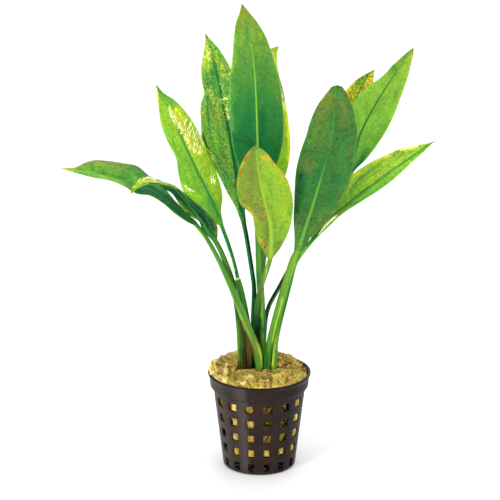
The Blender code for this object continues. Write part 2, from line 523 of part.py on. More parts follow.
def make_wool():
    cx, cy, a, b = WELL
    n = 32
    inside = POT_WALL + WOOL_GAP
    bm = bmesh.new()

    def circle(r, z):
        ring = []
        for i in range(n):
            q = 2 * math.pi * i / n
            x, y = r * math.cos(q), r * math.sin(q)
            ring.append((x, y, z(x, y) if callable(z) else z))
        return ring

    def well(z, grow=0.0):
        ring = []
        for i in range(n):
            q = 2 * math.pi * i / n
            x, y = cx + (a + grow) * math.cos(q), cy + (b + grow) * math.sin(q)
            ring.append((x, y, z(x, y) if callable(z) else z))
        return ring

    outside = circle(23.1, wool_top)
    rim = well(wool_top)
    rings = [circle(pot_radius(WOOL_BOTTOM) - inside - 0.8, WOOL_BOTTOM),
             circle(pot_radius(WOOL_BOTTOM + 0.8) - inside, WOOL_BOTTOM + 0.8),
             circle(pot_radius(26.0) - inside, 26.0),
             circle(pot_radius(40.8) - inside - 0.1, 41.3),
             circle(23.5, 43.9),
             circle(23.9, lambda x, y: wool_top(x, y) - 1.0),
             outside]
    middle = []
    for p, q in zip(outside, rim):
        x, y = 0.45 * p[0] + 0.55 * q[0], 0.45 * p[1] + 0.55 * q[1]
        middle.append((x, y, wool_top(x, y)))
    rings += [middle, rim, well(WELL_FLOOR, -0.1)]
    loops = [[bm.verts.new((x * MM, y * MM, z * MM)) for x, y, z in ring] for ring in rings]
    for p, q in zip(loops, loops[1:]):
        for i in range(n):
            j = (i + 1) % n
            bm.faces.new((p[i], p[j], q[j], q[i]))
    bm.faces.new(list(reversed(loops[0])))
    bm.faces.new(loops[-1])
    return finish_object("rock_wool_plug", bm, (0.52, 0.40, 0.17), 0.95)


def make_crown():
    """A squat, flat-topped rhizome bedded in the well."""
    cx, cy, a, b = WELL
    n = 20
    bm = bmesh.new()
    rings = []
    for z, grow in ((WELL_FLOOR + 0.5, -3.0), (WELL_FLOOR + 2.0, -1.2), (WELL_FLOOR + 6.0, -0.75),
                    (CROWN_TOP - 1.2, -0.75), (CROWN_TOP, -1.6)):
        rings.append([np.array([cx + (a + grow) * math.cos(2 * math.pi * i / n),
                                cy + (b + grow) * math.sin(2 * math.pi * i / n), z])
                      for i in range(n)])
    loft(bm, rings)
    return finish_object("crown", bm, (0.20, 0.15, 0.07), 0.7)


def main():
    clear_scene()
    make_pot()
    make_wool()
    make_crown()
    for name, spec in LEAVES.items():
        make_leaf(name, spec)
    make_stub()


main()
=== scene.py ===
"""Looks of the potted sword plant: leaves, cut stalk, lattice pot, mineral wool.

Every length in the tables is in millimetres and every piece is built straight
in the CAD frame. Leaf rails are read on a view sheet, 500 units square, seen
from the camera's place: (u, v, y) is the place on the sheet and the depth."""

import math

import bmesh
import bpy
import numpy as np
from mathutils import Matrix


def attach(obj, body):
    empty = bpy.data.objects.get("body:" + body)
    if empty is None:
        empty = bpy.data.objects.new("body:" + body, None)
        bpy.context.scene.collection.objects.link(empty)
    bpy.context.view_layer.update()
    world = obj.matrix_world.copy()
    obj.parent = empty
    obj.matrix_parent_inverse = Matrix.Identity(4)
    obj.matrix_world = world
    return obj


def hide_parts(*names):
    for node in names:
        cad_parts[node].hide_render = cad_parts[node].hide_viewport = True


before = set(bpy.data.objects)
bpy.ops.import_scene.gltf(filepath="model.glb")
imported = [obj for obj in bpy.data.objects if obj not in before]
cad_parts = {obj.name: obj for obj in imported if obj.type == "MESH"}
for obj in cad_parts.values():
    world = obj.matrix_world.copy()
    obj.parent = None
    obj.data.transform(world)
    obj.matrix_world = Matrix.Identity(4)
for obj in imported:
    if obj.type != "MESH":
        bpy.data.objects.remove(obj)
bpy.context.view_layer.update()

MM = 0.001
EYE = np.array([0.0, -1206.1, 510.1])
SHEET_PITCH = math.radians(18.201)
SHEET_YAW = math.radians(0.223)
SHEET_F = 2556.0
SHEET_MID = 250.0
FOOT_Z = 43.4

rng = np.random.default_rng(7)

# --------------------------------------------------------------------- camera
cam_data = bpy.data.cameras.new("camera")
cam = bpy.data.objects.new("camera", cam_data)
bpy.context.scene.collection.objects.link(cam)
cam.location = [c * MM for c in EYE]
cam.rotation_euler = (math.radians(90) - SHEET_PITCH, 0.0, SHEET_YAW)
cam_data.sensor_width = 36.0
cam_data.lens = SHEET_F / 500.0 * 36.0
cam_data.clip_start = 0.02
cam_data.clip_end = 60.0
cam_data.dof.use_dof = False
bpy.context.scene.camera = cam


# ------------------------------------------------------------ sheet and curves
_cp, _sp = math.cos(SHEET_PITCH), math.sin(SHEET_PITCH)
_cw, _sw = math.cos(SHEET_YAW), math.sin(SHEET_YAW)
FORWARD = np.array([-_sw * _cp, _cw * _cp, -_sp])
RIGHT = np.array([_cw, _sw, 0.0])
UP = np.cross(RIGHT, FORWARD)


def on_sheet(u, v, y):
    """The point at depth y that shows at (u, v) on the view sheet."""
    ray = FORWARD * SHEET_F + RIGHT * (u - SHEET_MID) - UP * (v - SHEET_MID)
    return EYE + ray * ((y - EYE[1]) / ray[1])


def to_sheet(p):
    """(u, v) of points given in mm, one row each."""
    d = np.asarray(p, float) - EYE
    k = SHEET_F / (d @ FORWARD)
    return np.stack([SHEET_MID + (d @ RIGHT) * k, SHEET_MID - (d @ UP) * k], axis=-1)


def spline(points, knots, ts):
    """Smooth curve through points (Catmull-Rom on uneven knots) at ts."""
    p = np.asarray(points, float)
    if p.ndim == 1:
        p = p[:, None]
    k = np.asarray(knots, float)
    ts = np.asarray(ts, float)
    h = np.diff(k)[:, None]
    d = np.diff(p, axis=0) / h
    slope = np.empty_like(p)
    slope[0], slope[-1] = d[0], d[-1]
    slope[1:-1] = (d[:-1] * h[1:] + d[1:] * h[:-1]) / (h[:-1] + h[1:])
    i = np.clip(np.searchsorted(k, ts, side="right") - 1, 0, len(k) - 2)
    hh = h[i]
    s = ((ts - k[i]) / hh[:, 0])[:, None]
    return ((2 * s**3 - 3 * s**2 + 1) * p[i] + (s**3 - 2 * s**2 + s) * hh * slope[i]
            + (-2 * s**3 + 3 * s**2) * p[i + 1] + (s**3 - s**2) * hh * slope[i + 1])


def unit(a):
    return a / np.maximum(np.linalg.norm(a, axis=-1, keepdims=True), 1e-12)


def smooth(lo, hi, x):
    t = np.clip((np.asarray(x, float) - lo) / (hi - lo), 0, 1)
    return t * t * (3 - 2 * t)


# ---------------------------------------------------------------- mesh helpers
def mesh_object(name, verts, faces, slot=None):
    me = bpy.data.meshes.new(name)
    me.from_pydata([tuple(v) for v in (np.asarray(verts) * MM).tolist()], [], faces)
    me.validate()
    me.shade_smooth()
    ob = bpy.data.objects.new(name, me)
    bpy.context.scene.collection.objects.link(ob)
    return ob


def set_vector_attribute(ob, name, values):
    a = ob.data.attributes.new(name, "FLOAT_VECTOR", "POINT")
    a.data.foreach_set("vector", np.asarray(values, np.float32).ravel())


# ----------------------------------------------------------------------- noise
def lattice(p, seed):
    """Smooth value noise between 0 and 1 at the points p."""
    p = np.asarray(p, float)
    i = np.floor(p).astype(np.int64)
    f = p - i
    f = f * f * (3 - 2 * f)

    def h(dx, dy, dz):
        k = ((i[..., 0] + dx) * 374761393 + (i[..., 1] + dy) * 668265263
             + (i[..., 2] + dz) * 1440662683 + seed * 974634777) & 0xFFFFFFFF
        k = ((k ^ (k >> 13)) * 1274126177) & 0xFFFFFFFF
        k = ((k ^ (k >> 15)) * 2246822519) & 0xFFFFFFFF
        return ((k ^ (k >> 16)) & 0xFFFFFF) / float(0xFFFFFF)

    fx, fy, fz = f[..., 0], f[..., 1], f[..., 2]
    a = h(0, 0, 0) * (1 - fx) + h(1, 0, 0) * fx
    b = h(0, 1, 0) * (1 - fx) + h(1, 1, 0) * fx
    c = h(0, 0, 1) * (1 - fx) + h(1, 0, 1) * fx
    d = h(0, 1, 1) * (1 - fx) + h(1, 1, 1) * fx
    return (a * (1 - fy) + b * fy) * (1 - fz) + (c * (1 - fy) + d * fy) * fz


def fbm(p, scale, seed, octaves=4, gain=0.5):
    """Layered noise about zero, roughly between -1 and 1."""
    total, amp, norm = 0.0, 1.0, 0.0
    for o in range(octaves):
        total = total + amp * (2 * lattice(p * (scale * 2.03**o) + 17.3 * o, seed + o) - 1)
        norm += amp
        amp *= gain
    return total / norm


# ------------------------------------------------------------------ leaf tables
# stalk: (u, v, y, radius) from the crown upwards after the foot (x, y, radius).
# blade: midrib, left edge and right edge of the leaf's upper side, tip up.
LEAVES = {
    "leaf_tall_centre": dict(
        foot=(2.0, 3.6, 1.70),
        stalk=[(262.9, 360, 3.4, 1.65), (263.0, 340, 2.9, 1.65), (262.3, 320, 2.5, 1.65),
               (261.3, 300, 1.8, 1.75), (260.0, 280, 1.0, 1.85), (259.4, 260, 0.0, 1.90),
               (259.0, 243, -1.0, 1.85)],
        blade=[((258.4, 226, -2.0), (261.9, 226, -1.8), (254.9, 226, -1.8)),
               ((258.3, 208, -2.8), (263.6, 208, -1.6), (251.8, 208, -1.6)),
               ((258.2, 190, -3.8), (268.0, 190, -1.8), (247.2, 190, -1.6)),
               ((258.0, 170, -5.0), (275.0, 170, -2.2), (240.4, 170, -2.0)),
               ((257.8, 150, -6.2), (281.4, 150, -2.9), (233.5, 150, -2.8)),
               ((257.3, 130, -7.4), (284.0, 130, -3.9), (230.8, 130, -3.8)),
               ((256.5, 105, -9.2), (282.8, 105, -5.6), (229.9, 105, -5.4)),
               ((255.2, 80, -11.4), (279.0, 80, -8.0), (229.9, 80, -7.8)),
               ((253.3, 57, -13.8), (272.9, 56, -10.9), (232.4, 56, -10.8)),
               ((250.2, 38, -16.2), (266.0, 37, -14.0), (233.8, 37, -13.9)),
               ((247.0, 24, -18.0), (258.0, 23, -16.6), (235.8, 23, -16.5)),
               ((244.4, 13, -19.3), (249.6, 12.4, -18.7), (239.4, 12.4, -18.7))],
        tip=(241.7, 3.2, -20.2)),
    "leaf_left_centre": dict(
        foot=(-4.0, 9.2, 1.30),
        stalk=[(252.6, 360, 9.0, 1.35), (253.3, 335, 8.8, 1.42), (253.6, 315, 8.9, 1.42),
               (254.1, 298, 9.1, 1.28), (253.9, 285, 9.5, 1.15), (251.8, 270, 10.0, 1.15),
               (249.0, 252, 10.7, 1.15), (246.6, 237, 11.5, 1.15)],
        blade=[((243.6, 222, 12.5), (241.3, 222.5, 12.2), (246.0, 221.5, 12.7)),
               ((241.0, 206, 14.0), (235.0, 206.5, 12.6), (245.4, 205.5, 13.8)),
               ((238.8, 192, 16.5), (227.6, 193.5, 14.2), (250.0, 190, 16.0)),
               ((237.0, 177, 19.5), (219.6, 177.5, 16.4), (254.0, 174, 18.8)),
               ((234.5, 160, 22.5), (209.4, 159.5, 19.0), (256.0, 157, 21.8)),
               ((231.0, 142, 25.6), (202.6, 143, 21.8), (256.0, 139, 25.0)),
               ((227.0, 122, 29.0), (200.7, 123, 25.0), (252.0, 119, 28.6)),
               ((223.0, 103.5, 32.2), (200.7, 104, 28.8), (244.5, 101, 32.2)),
               ((221.0, 93.5, 34.4), (203.9, 93.4, 31.8), (241.0, 91, 34.4)),
               ((219.0, 82, 36.8), (201.9, 82.5, 33.9), (235.5, 79.5, 36.9)),
               ((216.2, 67, 39.8), (201.1, 67.5, 37.4), (229.2, 65.5, 40.2)),
               ((212.4, 53, 42.3), (203.3, 53.5, 40.7), (220.7, 51, 42.8)),
               ((208.7, 42.5, 44.1), (205.1, 43, 43.4), (212.5, 41.3, 44.3))],
        tip=(205.0, 33.0, 45.5)),
    "leaf_left": dict(
        foot=(-7.1, 6.3, 1.35),
        stalk=[(246.0, 360, 6.9, 1.40), (245.5, 343, 7.4, 1.45), (244.3, 325, 7.9, 1.35),
               (243.4, 305, 8.5, 1.05), (240.6, 290, 9.0, 1.00), (237.3, 276, 9.3, 0.98),
               (233.2, 260, 9.6, 0.98), (227.6, 242, 9.9, 1.0)],
        blade=[((221.2, 224.5, 10.1), (219.2, 225.6, 9.5), (223.2, 223.6, 10.5)),
               ((217.8, 214.5, 10.6), (209.0, 219, 7.0), (221.3, 211, 12.6)),
               ((212.0, 201, 11.2), (195.0, 208, 6.0), (222.7, 196.5, 13.8)),
               ((204.5, 185, 11.9), (184.0, 192.5, 6.4), (218.5, 178.5, 14.6)),
               ((196.0, 168, 12.6), (178.2, 174, 7.0), (210.2, 158.5, 15.2)),
               ((188.2, 152, 13.2), (175.7, 157.8, 7.7), (203.0, 140, 15.6)),
               ((180.5, 134.5, 13.8), (166.5, 140, 8.4), (194.9, 124.5, 15.9)),
               ((172.8, 117, 14.4), (160.3, 121.5, 9.6), (185.2, 111, 16.1)),
               ((166.2, 104, 14.9), (158.4, 106, 11.4), (174.2, 99.6, 16.2)),
               ((160.9, 94.3, 15.4), (157.0, 95.6, 13.9), (164.0, 93.2, 16.1))],
        tip=(156.1, 84.5, 16.0)),
    "leaf_back_centre": dict(
        foot=(0.0, 9.3, 1.20),
        stalk=[(260.2, 358, 9.4, 1.20), (259.8, 330, 9.8, 1.20), (260.2, 303, 10.3, 1.15),
               (261.6, 280, 10.8, 1.15), (263.7, 262, 11.2, 1.15), (265.9, 243, 11.5, 1.10),
               (267.7, 225, 11.8, 1.10)],
        blade=[((268.0, 208, 12.1), (266.0, 208.5, 11.8), (270.0, 207.5, 12.2)),
               ((268.0, 190, 14.0), (259.0, 191, 12.0), (279.0, 189, 13.5)),
               ((268.0, 172, 16.5), (252.5, 173, 13.5), (286.6, 172, 15.5)),
               ((268.0, 152, 19.0), (247.0, 153, 15.4), (290.4, 151, 18.0)),
               ((268.0, 132, 21.5), (244.5, 133, 17.4), (289.6, 131, 20.0)),
               ((268.0, 112, 24.0), (244.8, 113, 19.8), (287.1, 111, 22.5)),
               ((268.5, 92, 26.5), (247.2, 93, 22.8), (283.6, 91.5, 25.4)),
               ((269.8, 74, 29.0), (251.8, 75, 25.8), (279.0, 74.5, 28.0)),
               ((272.2, 61, 31.0), (258.4, 60, 28.4), (277.1, 61.5, 30.4)),
               ((275.3, 52.5, 32.5), (266.5, 50.4, 31.2), (277.2, 53.5, 32.2))],
        tip=(279.1, 45.7, 34.0)),
    "leaf_front_small": dict(
        foot=(-2.3, 5.3, 1.30),
        stalk=[(256.4, 355, 4.6, 1.30), (256.0, 340, 3.9, 1.30), (255.9, 325, 2.4, 1.30),
               (256.4, 312, 0.6, 1.25), (257.7, 300, -1.6, 1.20), (260.8, 288, -3.6, 1.15),
               (264.8, 276, -4.8, 1.15), (267.8, 267, -5.5, 1.15)],
        blade=[((270.2, 259, -6.0), (272.0, 259, -5.8), (268.2, 259.2, -5.8)),
               ((271.2, 250, -8.0), (279.0, 250, -6.4), (262.9, 250.5, -6.4)),
               ((271.6, 240, -10.5), (285.0, 240, -8.0), (257.4, 240, -8.0)),
               ((271.0, 229, -13.5), (290.0, 228, -10.0), (254.6, 228, -10.5)),
               ((268.7, 217, -16.7), (292.2, 216.5, -12.6), (251.8, 215, -13.2)),
               ((265.5, 204, -20.0), (293.1, 203, -15.5), (240.6, 203.8, -16.0)),
               ((262.0, 190, -23.5), (290.9, 189, -19.0), (236.7, 190, -19.0)),
               ((259.3, 177, -27.0), (285.5, 176.5, -22.6), (237.6, 177, -22.5)),
               ((257.4, 165, -30.0), (275.6, 164.7, -26.8), (241.1, 164.7, -26.5)),
               ((256.2, 155, -32.6), (267.8, 154.2, -30.9), (246.2, 154.6, -30.6)),
               ((255.5, 149.6, -34.2), (261.6, 148.9, -33.5), (250.0, 149.5, -33.3))],
        tip=(255.2, 145.9, -35.4)),
    "leaf_right_front": dict(
        foot=(3.9, 0.2, 1.62),
        stalk=[(266.9, 368, 0.1, 1.60), (268.2, 350, -0.6, 1.58), (270.0, 340, -1.1, 1.57),
               (274.6, 321, -2.2, 1.55), (280.2, 300, -3.6, 1.52), (286.3, 280, -5.0, 1.50),
               (292.4, 260, -6.3, 1.45)],
        blade=[((297.0, 251, -7.0), (299.3, 250.5, -6.6), (293.9, 250.5, -7.0)),
               ((300.5, 241, -8.0), (308.0, 240.5, -6.0), (294.5, 241, -7.5)),
               ((304.0, 230.5, -9.0), (317.7, 231, -6.0), (294.0, 230, -8.0)),
               ((308.0, 219, -10.0), (329.8, 218.8, -5.6), (293.4, 218.5, -8.5)),
               ((312.5, 205, -11.0), (337.2, 205, -6.0), (294.0, 205, -9.5)),
               ((317.5, 188.5, -12.5), (347.3, 188.5, -7.0), (294.8, 188, -11.0)),
               ((323.0, 170, -14.0), (352.2, 170, -8.5), (296.2, 169.5, -12.5)),
               ((328.0, 153, -15.5), (354.8, 153, -10.5), (300.0, 153, -14.0)),
               ((331.2, 137, -17.0), (357.8, 135, -12.5), (305.6, 137, -15.5)),
               ((333.3, 121, -19.0), (356.0, 120.5, -15.0), (310.3, 121, -17.5)),
               ((335.0, 106, -21.0), (352.5, 106, -18.0), (317.0, 106, -19.5)),
               ((336.0, 95, -22.6), (347.6, 95, -21.0), (324.9, 94.8, -21.6)),
               ((336.5, 89, -23.6), (344.0, 88.9, -23.0), (329.4, 89.4, -23.0)),
               ((336.8, 86.3, -23.9), (341.6, 86.5, -23.7), (332.0, 86.5, -23.7))],
        tip=(337.0, 85.2, -24.0)),
    "leaf_right_spotted": dict(
        foot=(6.9, 8.6, 1.20),
        stalk=[(272.6, 358, 9.0, 1.20), (275.4, 330, 10.0, 1.15), (281.8, 305, 11.4, 1.10),
               (287.8, 283, 13.0, 1.10), (295.0, 258, 15.0, 1.10), (300.6, 236, 16.6, 1.10)],
        blade=[((306.0, 216, 18.0), (304.4, 215.2, 18.3), (307.7, 216.9, 17.7)),
               ((313.0, 198, 21.0), (305.0, 194, 22.5), (321.0, 202, 18.7)),
               ((321.0, 178, 25.0), (308.5, 172, 27.0), (332.0, 184, 22.0)),
               ((330.0, 157, 29.0), (315.5, 150, 31.5), (343.0, 164, 25.4)),
               ((338.0, 138, 32.5), (323.5, 130, 35.2), (352.0, 146, 28.7)),
               ((346.0, 120, 35.5), (331.5, 111, 38.2), (359.5, 128, 31.7)),
               ((352.5, 106, 38.0), (339.5, 97.5, 40.4), (365.0, 114, 34.6)),
               ((358.5, 93.5, 40.0), (347.8, 88.3, 41.9), (369.5, 100.5, 37.2)),
               ((364.0, 84, 41.6), (355.6, 80.3, 42.8), (372.8, 88.5, 39.7)),
               ((369.0, 76.8, 43.0), (363.7, 74.8, 43.7), (373.5, 80, 42.2))],
        tip=(374.6, 69.5, 44.5)),
    "leaf_right_long": dict(
        foot=(3.4, 7.1, 1.15),
        stalk=[(263.8, 355, 7.4, 1.10), (264.4, 335, 7.7, 1.10), (266.0, 317, 8.0, 1.10),
               (269.0, 306, 8.2, 1.10), (273.6, 297, 8.5, 1.10), (280.4, 285, 9.1, 1.10),
               (289.0, 269, 10.0, 1.10), (299.0, 252, 11.1, 1.10), (311.0, 233, 12.4, 1.10)],
        blade=[((322.0, 216, 13.6), (320.3, 214.8, 13.9), (324.0, 217.2, 13.2)),
               ((331.0, 201, 15.0), (324.0, 197.5, 16.6), (338.5, 203, 12.8)),
               ((339.0, 187, 16.6), (328.0, 181.5, 19.0), (346.5, 188, 13.4)),
               ((346.0, 173, 18.2), (332.5, 166, 21.0), (353.8, 172, 14.4)),
               ((353.0, 156, 20.2), (338.5, 148, 23.2), (365.5, 160, 16.0)),
               ((359.0, 138, 22.2), (345.0, 128, 25.4), (376.3, 146, 17.7)),
               ((367.0, 120, 24.5), (351.5, 106.5, 27.8), (386.2, 131.3, 19.8)),
               ((376.0, 104, 26.8), (361.5, 93, 30.0), (394.2, 115, 22.3)),
               ((384.5, 90, 29.0), (372.5, 83.3, 31.8), (400.3, 99, 24.9)),
               ((392.0, 78, 31.0), (384.0, 74.8, 33.2), (405.2, 85, 27.7)),
               ((398.5, 68.5, 32.5), (391.3, 66.5, 34.0), (408.9, 73.5, 30.0)),
               ((404.5, 60, 33.8), (398.6, 59.7, 34.8), (411.4, 63, 32.3)),
               ((409.5, 53.2, 34.8), (406.2, 52.8, 35.2), (413.3, 55.5, 34.0))],
        tip=(413.9, 47.2, 35.8)),
    "leaf_right_low": dict(
        foot=(7.6, 1.0, 1.60),
        stalk=[(273.8, 368, 1.0, 1.58), (274.8, 350, 1.3, 1.53), (276.1, 338, 1.6, 1.48),
               (280.1, 320, 2.0, 1.42), (285.2, 300, 2.5, 1.36), (290.5, 280, 3.0, 1.28),
               (295.7, 262, 3.5, 1.16)],
        blade=[((305.2, 248.7, 3.9), (303.7, 247.2, 4.3), (306.6, 250.0, 3.5)),
               ((313.2, 239.2, 4.3), (311.4, 237.6, 5.0), (315.1, 240.0, 2.6)),
               ((323.6, 226.8, 5.0), (315.3, 217.7, 8.4), (327.2, 227.9, 0.8)),
               ((334.3, 215.7, 5.7), (323.4, 204, 9.8), (338.6, 216.6, -0.8)),
               ((345.5, 205.5, 6.4), (333.0, 191.5, 10.4), (350.3, 208.3, -1.6)),
               ((357.5, 195.5, 7.0), (345.5, 179.5, 10.8), (364.0, 200.2, -1.6)),
               ((371.0, 185.5, 7.7), (359.5, 168.8, 11.4), (378.3, 191.4, -1.0)),
               ((385.0, 174.7, 8.4), (374.0, 160.3, 12.0), (391.7, 181.0, 0.4)),
               ((398.5, 165.3, 9.0), (388.5, 154, 12.3), (404.0, 170.2, 2.6)),
               ((411.0, 156.8, 9.5), (402.5, 148, 12.2), (415.1, 159.8, 5.2)),
               ((421.5, 149.8, 9.9), (415.5, 145.3, 11.6), (423.7, 151.7, 7.8)),
               ((428.0, 145.6, 10.1), (425.0, 143.5, 10.8), (428.9, 146.4, 9.2))],
        tip=(435.2, 141.0, 10.3)),
    "leaf_far_left": dict(
        foot=(-0.4, 0.4, 1.95),
        stalk=[(259.3, 368, -0.2, 1.92), (257.3, 353, -0.9, 2.32), (252.5, 340, -2.0, 2.42),
               (244.9, 320, -4.6, 1.98), (236.9, 300, -6.6, 1.74), (228.6, 281, -7.8, 1.45),
               (218.7, 260, -8.8, 1.25), (207.6, 240, -9.6, 1.10)],
        blade=[((195.3, 223.9, -10.4), (194.8, 225.6, -10.9), (195.8, 222.4, -10.0)),
               ((184.0, 212.5, -12.0), (186.0, 221.3, -16.0), (184.2, 210.3, -8.0)),
               ((174.0, 203.9, -13.6), (175.0, 213.9, -19.0), (173.9, 199.6, -7.6)),
               ((163.0, 195.3, -15.2), (164.0, 203.8, -21.5), (163.2, 187.6, -7.6)),
               ((150.0, 187.0, -17.0), (150.0, 195.5, -24.0), (149.0, 175.6, -8.8)),
               ((137.5, 183.5, -18.6), (137.0, 193.6, -26.0), (137.0, 166.1, -10.0)),
               ((124.0, 181.0, -20.0), (123.0, 186.2, -27.6), (122.5, 163.0, -11.6)),
               ((110.0, 177.3, -21.6), (109.0, 181.3, -28.6), (108.0, 160.6, -13.6)),
               ((97.0, 174.0, -23.2), (96.0, 178.4, -29.0), (95.0, 159.9, -16.2)),
               ((86.0, 171.8, -24.6), (85.0, 175.5, -28.8), (85.5, 162.0, -19.8)),
               ((76.0, 170.1, -26.0), (75.6, 172.9, -28.2), (76.5, 166.6, -24.2)),
               ((69.0, 169.2, -26.9), (68.8, 170.9, -27.8), (69.5, 167.9, -26.2))],
        tip=(61.4, 168.6, -27.6)),
    "leaf_arching": dict(
        foot=(-9.2, 1.5, 1.68),
        stalk=[(241.0, 366, 1.2, 1.66), (240.3, 342, 0.4, 1.62), (238.9, 322, -0.4, 1.56),
               (236.6, 303, -1.4, 1.48), (233.9, 289, -2.6, 1.40), (230.0, 274, -4.4, 1.34),
               (225.0, 261, -6.4, 1.30), (220.3, 250, -8.6, 1.26)],
        blade=[((214.8, 240, -11.0), (217.3, 239, -11.8), (211.6, 239.8, -11.3)),
               ((207.8, 228.8, -14.2), (217.9, 229.5, -18.4), (202.0, 229.5, -12.3)),
               ((204.2, 222.9, -16.1), (217.3, 224.5, -21.2), (198.8, 221.4, -12.9)),
               ((200.5, 217.5, -18.0), (215.5, 219.6, -24.0), (191.8, 217.8, -13.2)),
               ((190.5, 205.5, -22.8), (203.5, 209.8, -28.4), (181.0, 207.7, -17.4)),
               ((181.5, 194.5, -28.0), (192.5, 201.4, -33.6), (171.5, 193.3, -22.0)),
               ((174.5, 187.6, -32.6), (184.5, 193.8, -38.4), (163.0, 187.6, -26.6)),
               ((165.5, 183.2, -38.0), (175.0, 187.0, -43.6), (156.0, 180.8, -32.6)),
               ((155.5, 181.2, -43.0), (163.0, 185.1, -48.4), (149.3, 176.3, -38.0)),
               ((146.5, 181.3, -47.0), (152.0, 184.2, -51.6), (142.2, 176.8, -43.0)),
               ((139.5, 184.0, -50.0), (143.0, 185.8, -53.2), (136.4, 180.6, -47.6)),
               ((134.5, 188.3, -52.2), (136.6, 189.6, -53.8), (132.4, 185.8, -51.0))],
        tip=(130.8, 193.8, -53.8)),
}

STUB = dict(foot=(-5.0, 2.2, 1.75),
            stalk=[(250.4, 360, 2.5, 1.75), (249.2, 343, 2.5, 1.75), (247.4, 326, 2.2, 1.75),
                   (245.2, 313, 1.9, 1.72), (242.7, 300, 1.6, 1.68), (240.0, 288, 1.3, 1.62),
                   (237.3, 279.2, 1.0, 1.58)])


# --------------------------------------------------------------------- colours
def srgb(r, g, b):
    """A display colour (0-255) as the linear colour a shader takes."""
    out = []
    for c in (r, g, b):
        c = c / 255.0
        out.append(c / 12.92 if c <= 0.04045 else ((c + 0.055) / 1.055) ** 2.4)
    return tuple(out) + (1.0,)


class Tree:
    """Short names for the shader nodes used below."""

    def __init__(self, name):
        self.mat = bpy.data.materials.new(name)
        self.mat.use_nodes = True
        self.t = self.mat.node_tree
        self.bsdf = self.t.nodes["Principled BSDF"]

    def _in(self, socket, value):
        if isinstance(value, bpy.types.NodeSocket):
            self.t.links.new(value, socket)
        elif value is not None:
            socket.default_value = value

    def node(self, kind, **props):
        n = self.t.nodes.new(kind)
        for k, v in props.items():
            setattr(n, k, v)
        return n

    def math(self, op, a, b=None, c=None, clamp=False):
        n = self.node("ShaderNodeMath", operation=op, use_clamp=clamp)
        self._in(n.inputs[0], a)
        self._in(n.inputs[1], b)
        self._in(n.inputs[2], c)
        return n.outputs[0]

    def vmath(self, op, a, b=None, scale=None):
        n = self.node("ShaderNodeVectorMath", operation=op)
        self._in(n.inputs[0], a)
        self._in(n.inputs[1], b)
        if scale is not None:
            self._in(n.inputs["Scale"], scale)
        return n.outputs["Value"] if op in ("LENGTH", "DISTANCE", "DOT_PRODUCT") else n.outputs["Vector"]

    def mix(self, fac, a, b, blend="MIX"):
        n = self.node("ShaderNodeMix", data_type="RGBA", blend_type=blend)
        self._in(n.inputs[0], fac)
        self._in(n.inputs[6], a)
        self._in(n.inputs[7], b)
        return n.outputs[2]

    def step(self, value, lo, hi, a=0.0, b=1.0):
        n = self.node("ShaderNodeMapRange", interpolation_type="SMOOTHSTEP")
        self._in(n.inputs["Value"], value)
        self._in(n.inputs["From Min"], lo)
        self._in(n.inputs["From Max"], hi)
        n.inputs["To Min"].default_value = a
        n.inputs["To Max"].default_value = b
        return n.outputs["Result"]

    def attr(self, name):
        n = self.node("ShaderNodeAttribute", attribute_name=name)
        return n.outputs["Vector"]

    def split(self, v):
        n = self.node("ShaderNodeSeparateXYZ")
        self._in(n.inputs[0], v)
        return n.outputs[0], n.outputs[1], n.outputs[2]

    def join(self, x, y, z=0.0):
        n = self.node("ShaderNodeCombineXYZ")
        for s, v in zip(n.inputs, (x, y, z)):
            self._in(s, v)
        return n.outputs[0]

    def noise(self, vector, scale, detail=3.0, rough=0.55, distortion=0.0):
        n = self.node("ShaderNodeTexNoise")
        self._in(n.inputs["Vector"], vector)
        n.inputs["Scale"].default_value = scale
        n.inputs["Detail"].default_value = detail
        n.inputs["Roughness"].default_value = rough
        n.inputs["Distortion"].default_value = distortion
        return n.outputs["Fac"]

    def voronoi(self, vector, scale, feature="F1", randomness=1.0):
        n = self.node("ShaderNodeTexVoronoi", feature=feature)
        self._in(n.inputs["Vector"], vector)
        n.inputs["Scale"].default_value = scale
        n.inputs["Randomness"].default_value = randomness
        return n.outputs["Distance"], (n.outputs["Color"] if feature == "F1" else None)

    def ramp(self, fac, stops, interpolation="LINEAR"):
        n = self.node("ShaderNodeValToRGB")
        self._in(n.inputs[0], fac)
        r = n.color_ramp
        r.interpolation = interpolation
        while len(r.elements) < len(stops):
            r.elements.new(0.5)
        for e, (pos, col) in zip(r.elements, stops):
            e.position = pos
            e.color = col
        return n.outputs["Color"]

    def bump(self, height, strength, distance, normal=None):
        n = self.node("ShaderNodeBump")
        n.inputs["Strength"].default_value = strength
        n.inputs["Distance"].default_value = distance
        self._in(n.inputs["Height"], height)
        if normal is not None:
            self._in(n.inputs["Normal"], normal)
        return n.outputs["Normal"]

    def finish(self, colour, roughness, normal=None, **plain):
        self._in(self.bsdf.inputs["Base Color"], colour)
        self._in(self.bsdf.inputs["Roughness"], roughness)
        if normal is not None:
            self._in(self.bsdf.inputs["Normal"], normal)
        for k, v in plain.items():
            self.bsdf.inputs[k.replace("_", " ")].default_value = v
        return self.mat


# ---------------------------------------------------------------------- leaves
NX = 20            # points each side of the midrib
N_STALK, N_BLADE = 64, 150


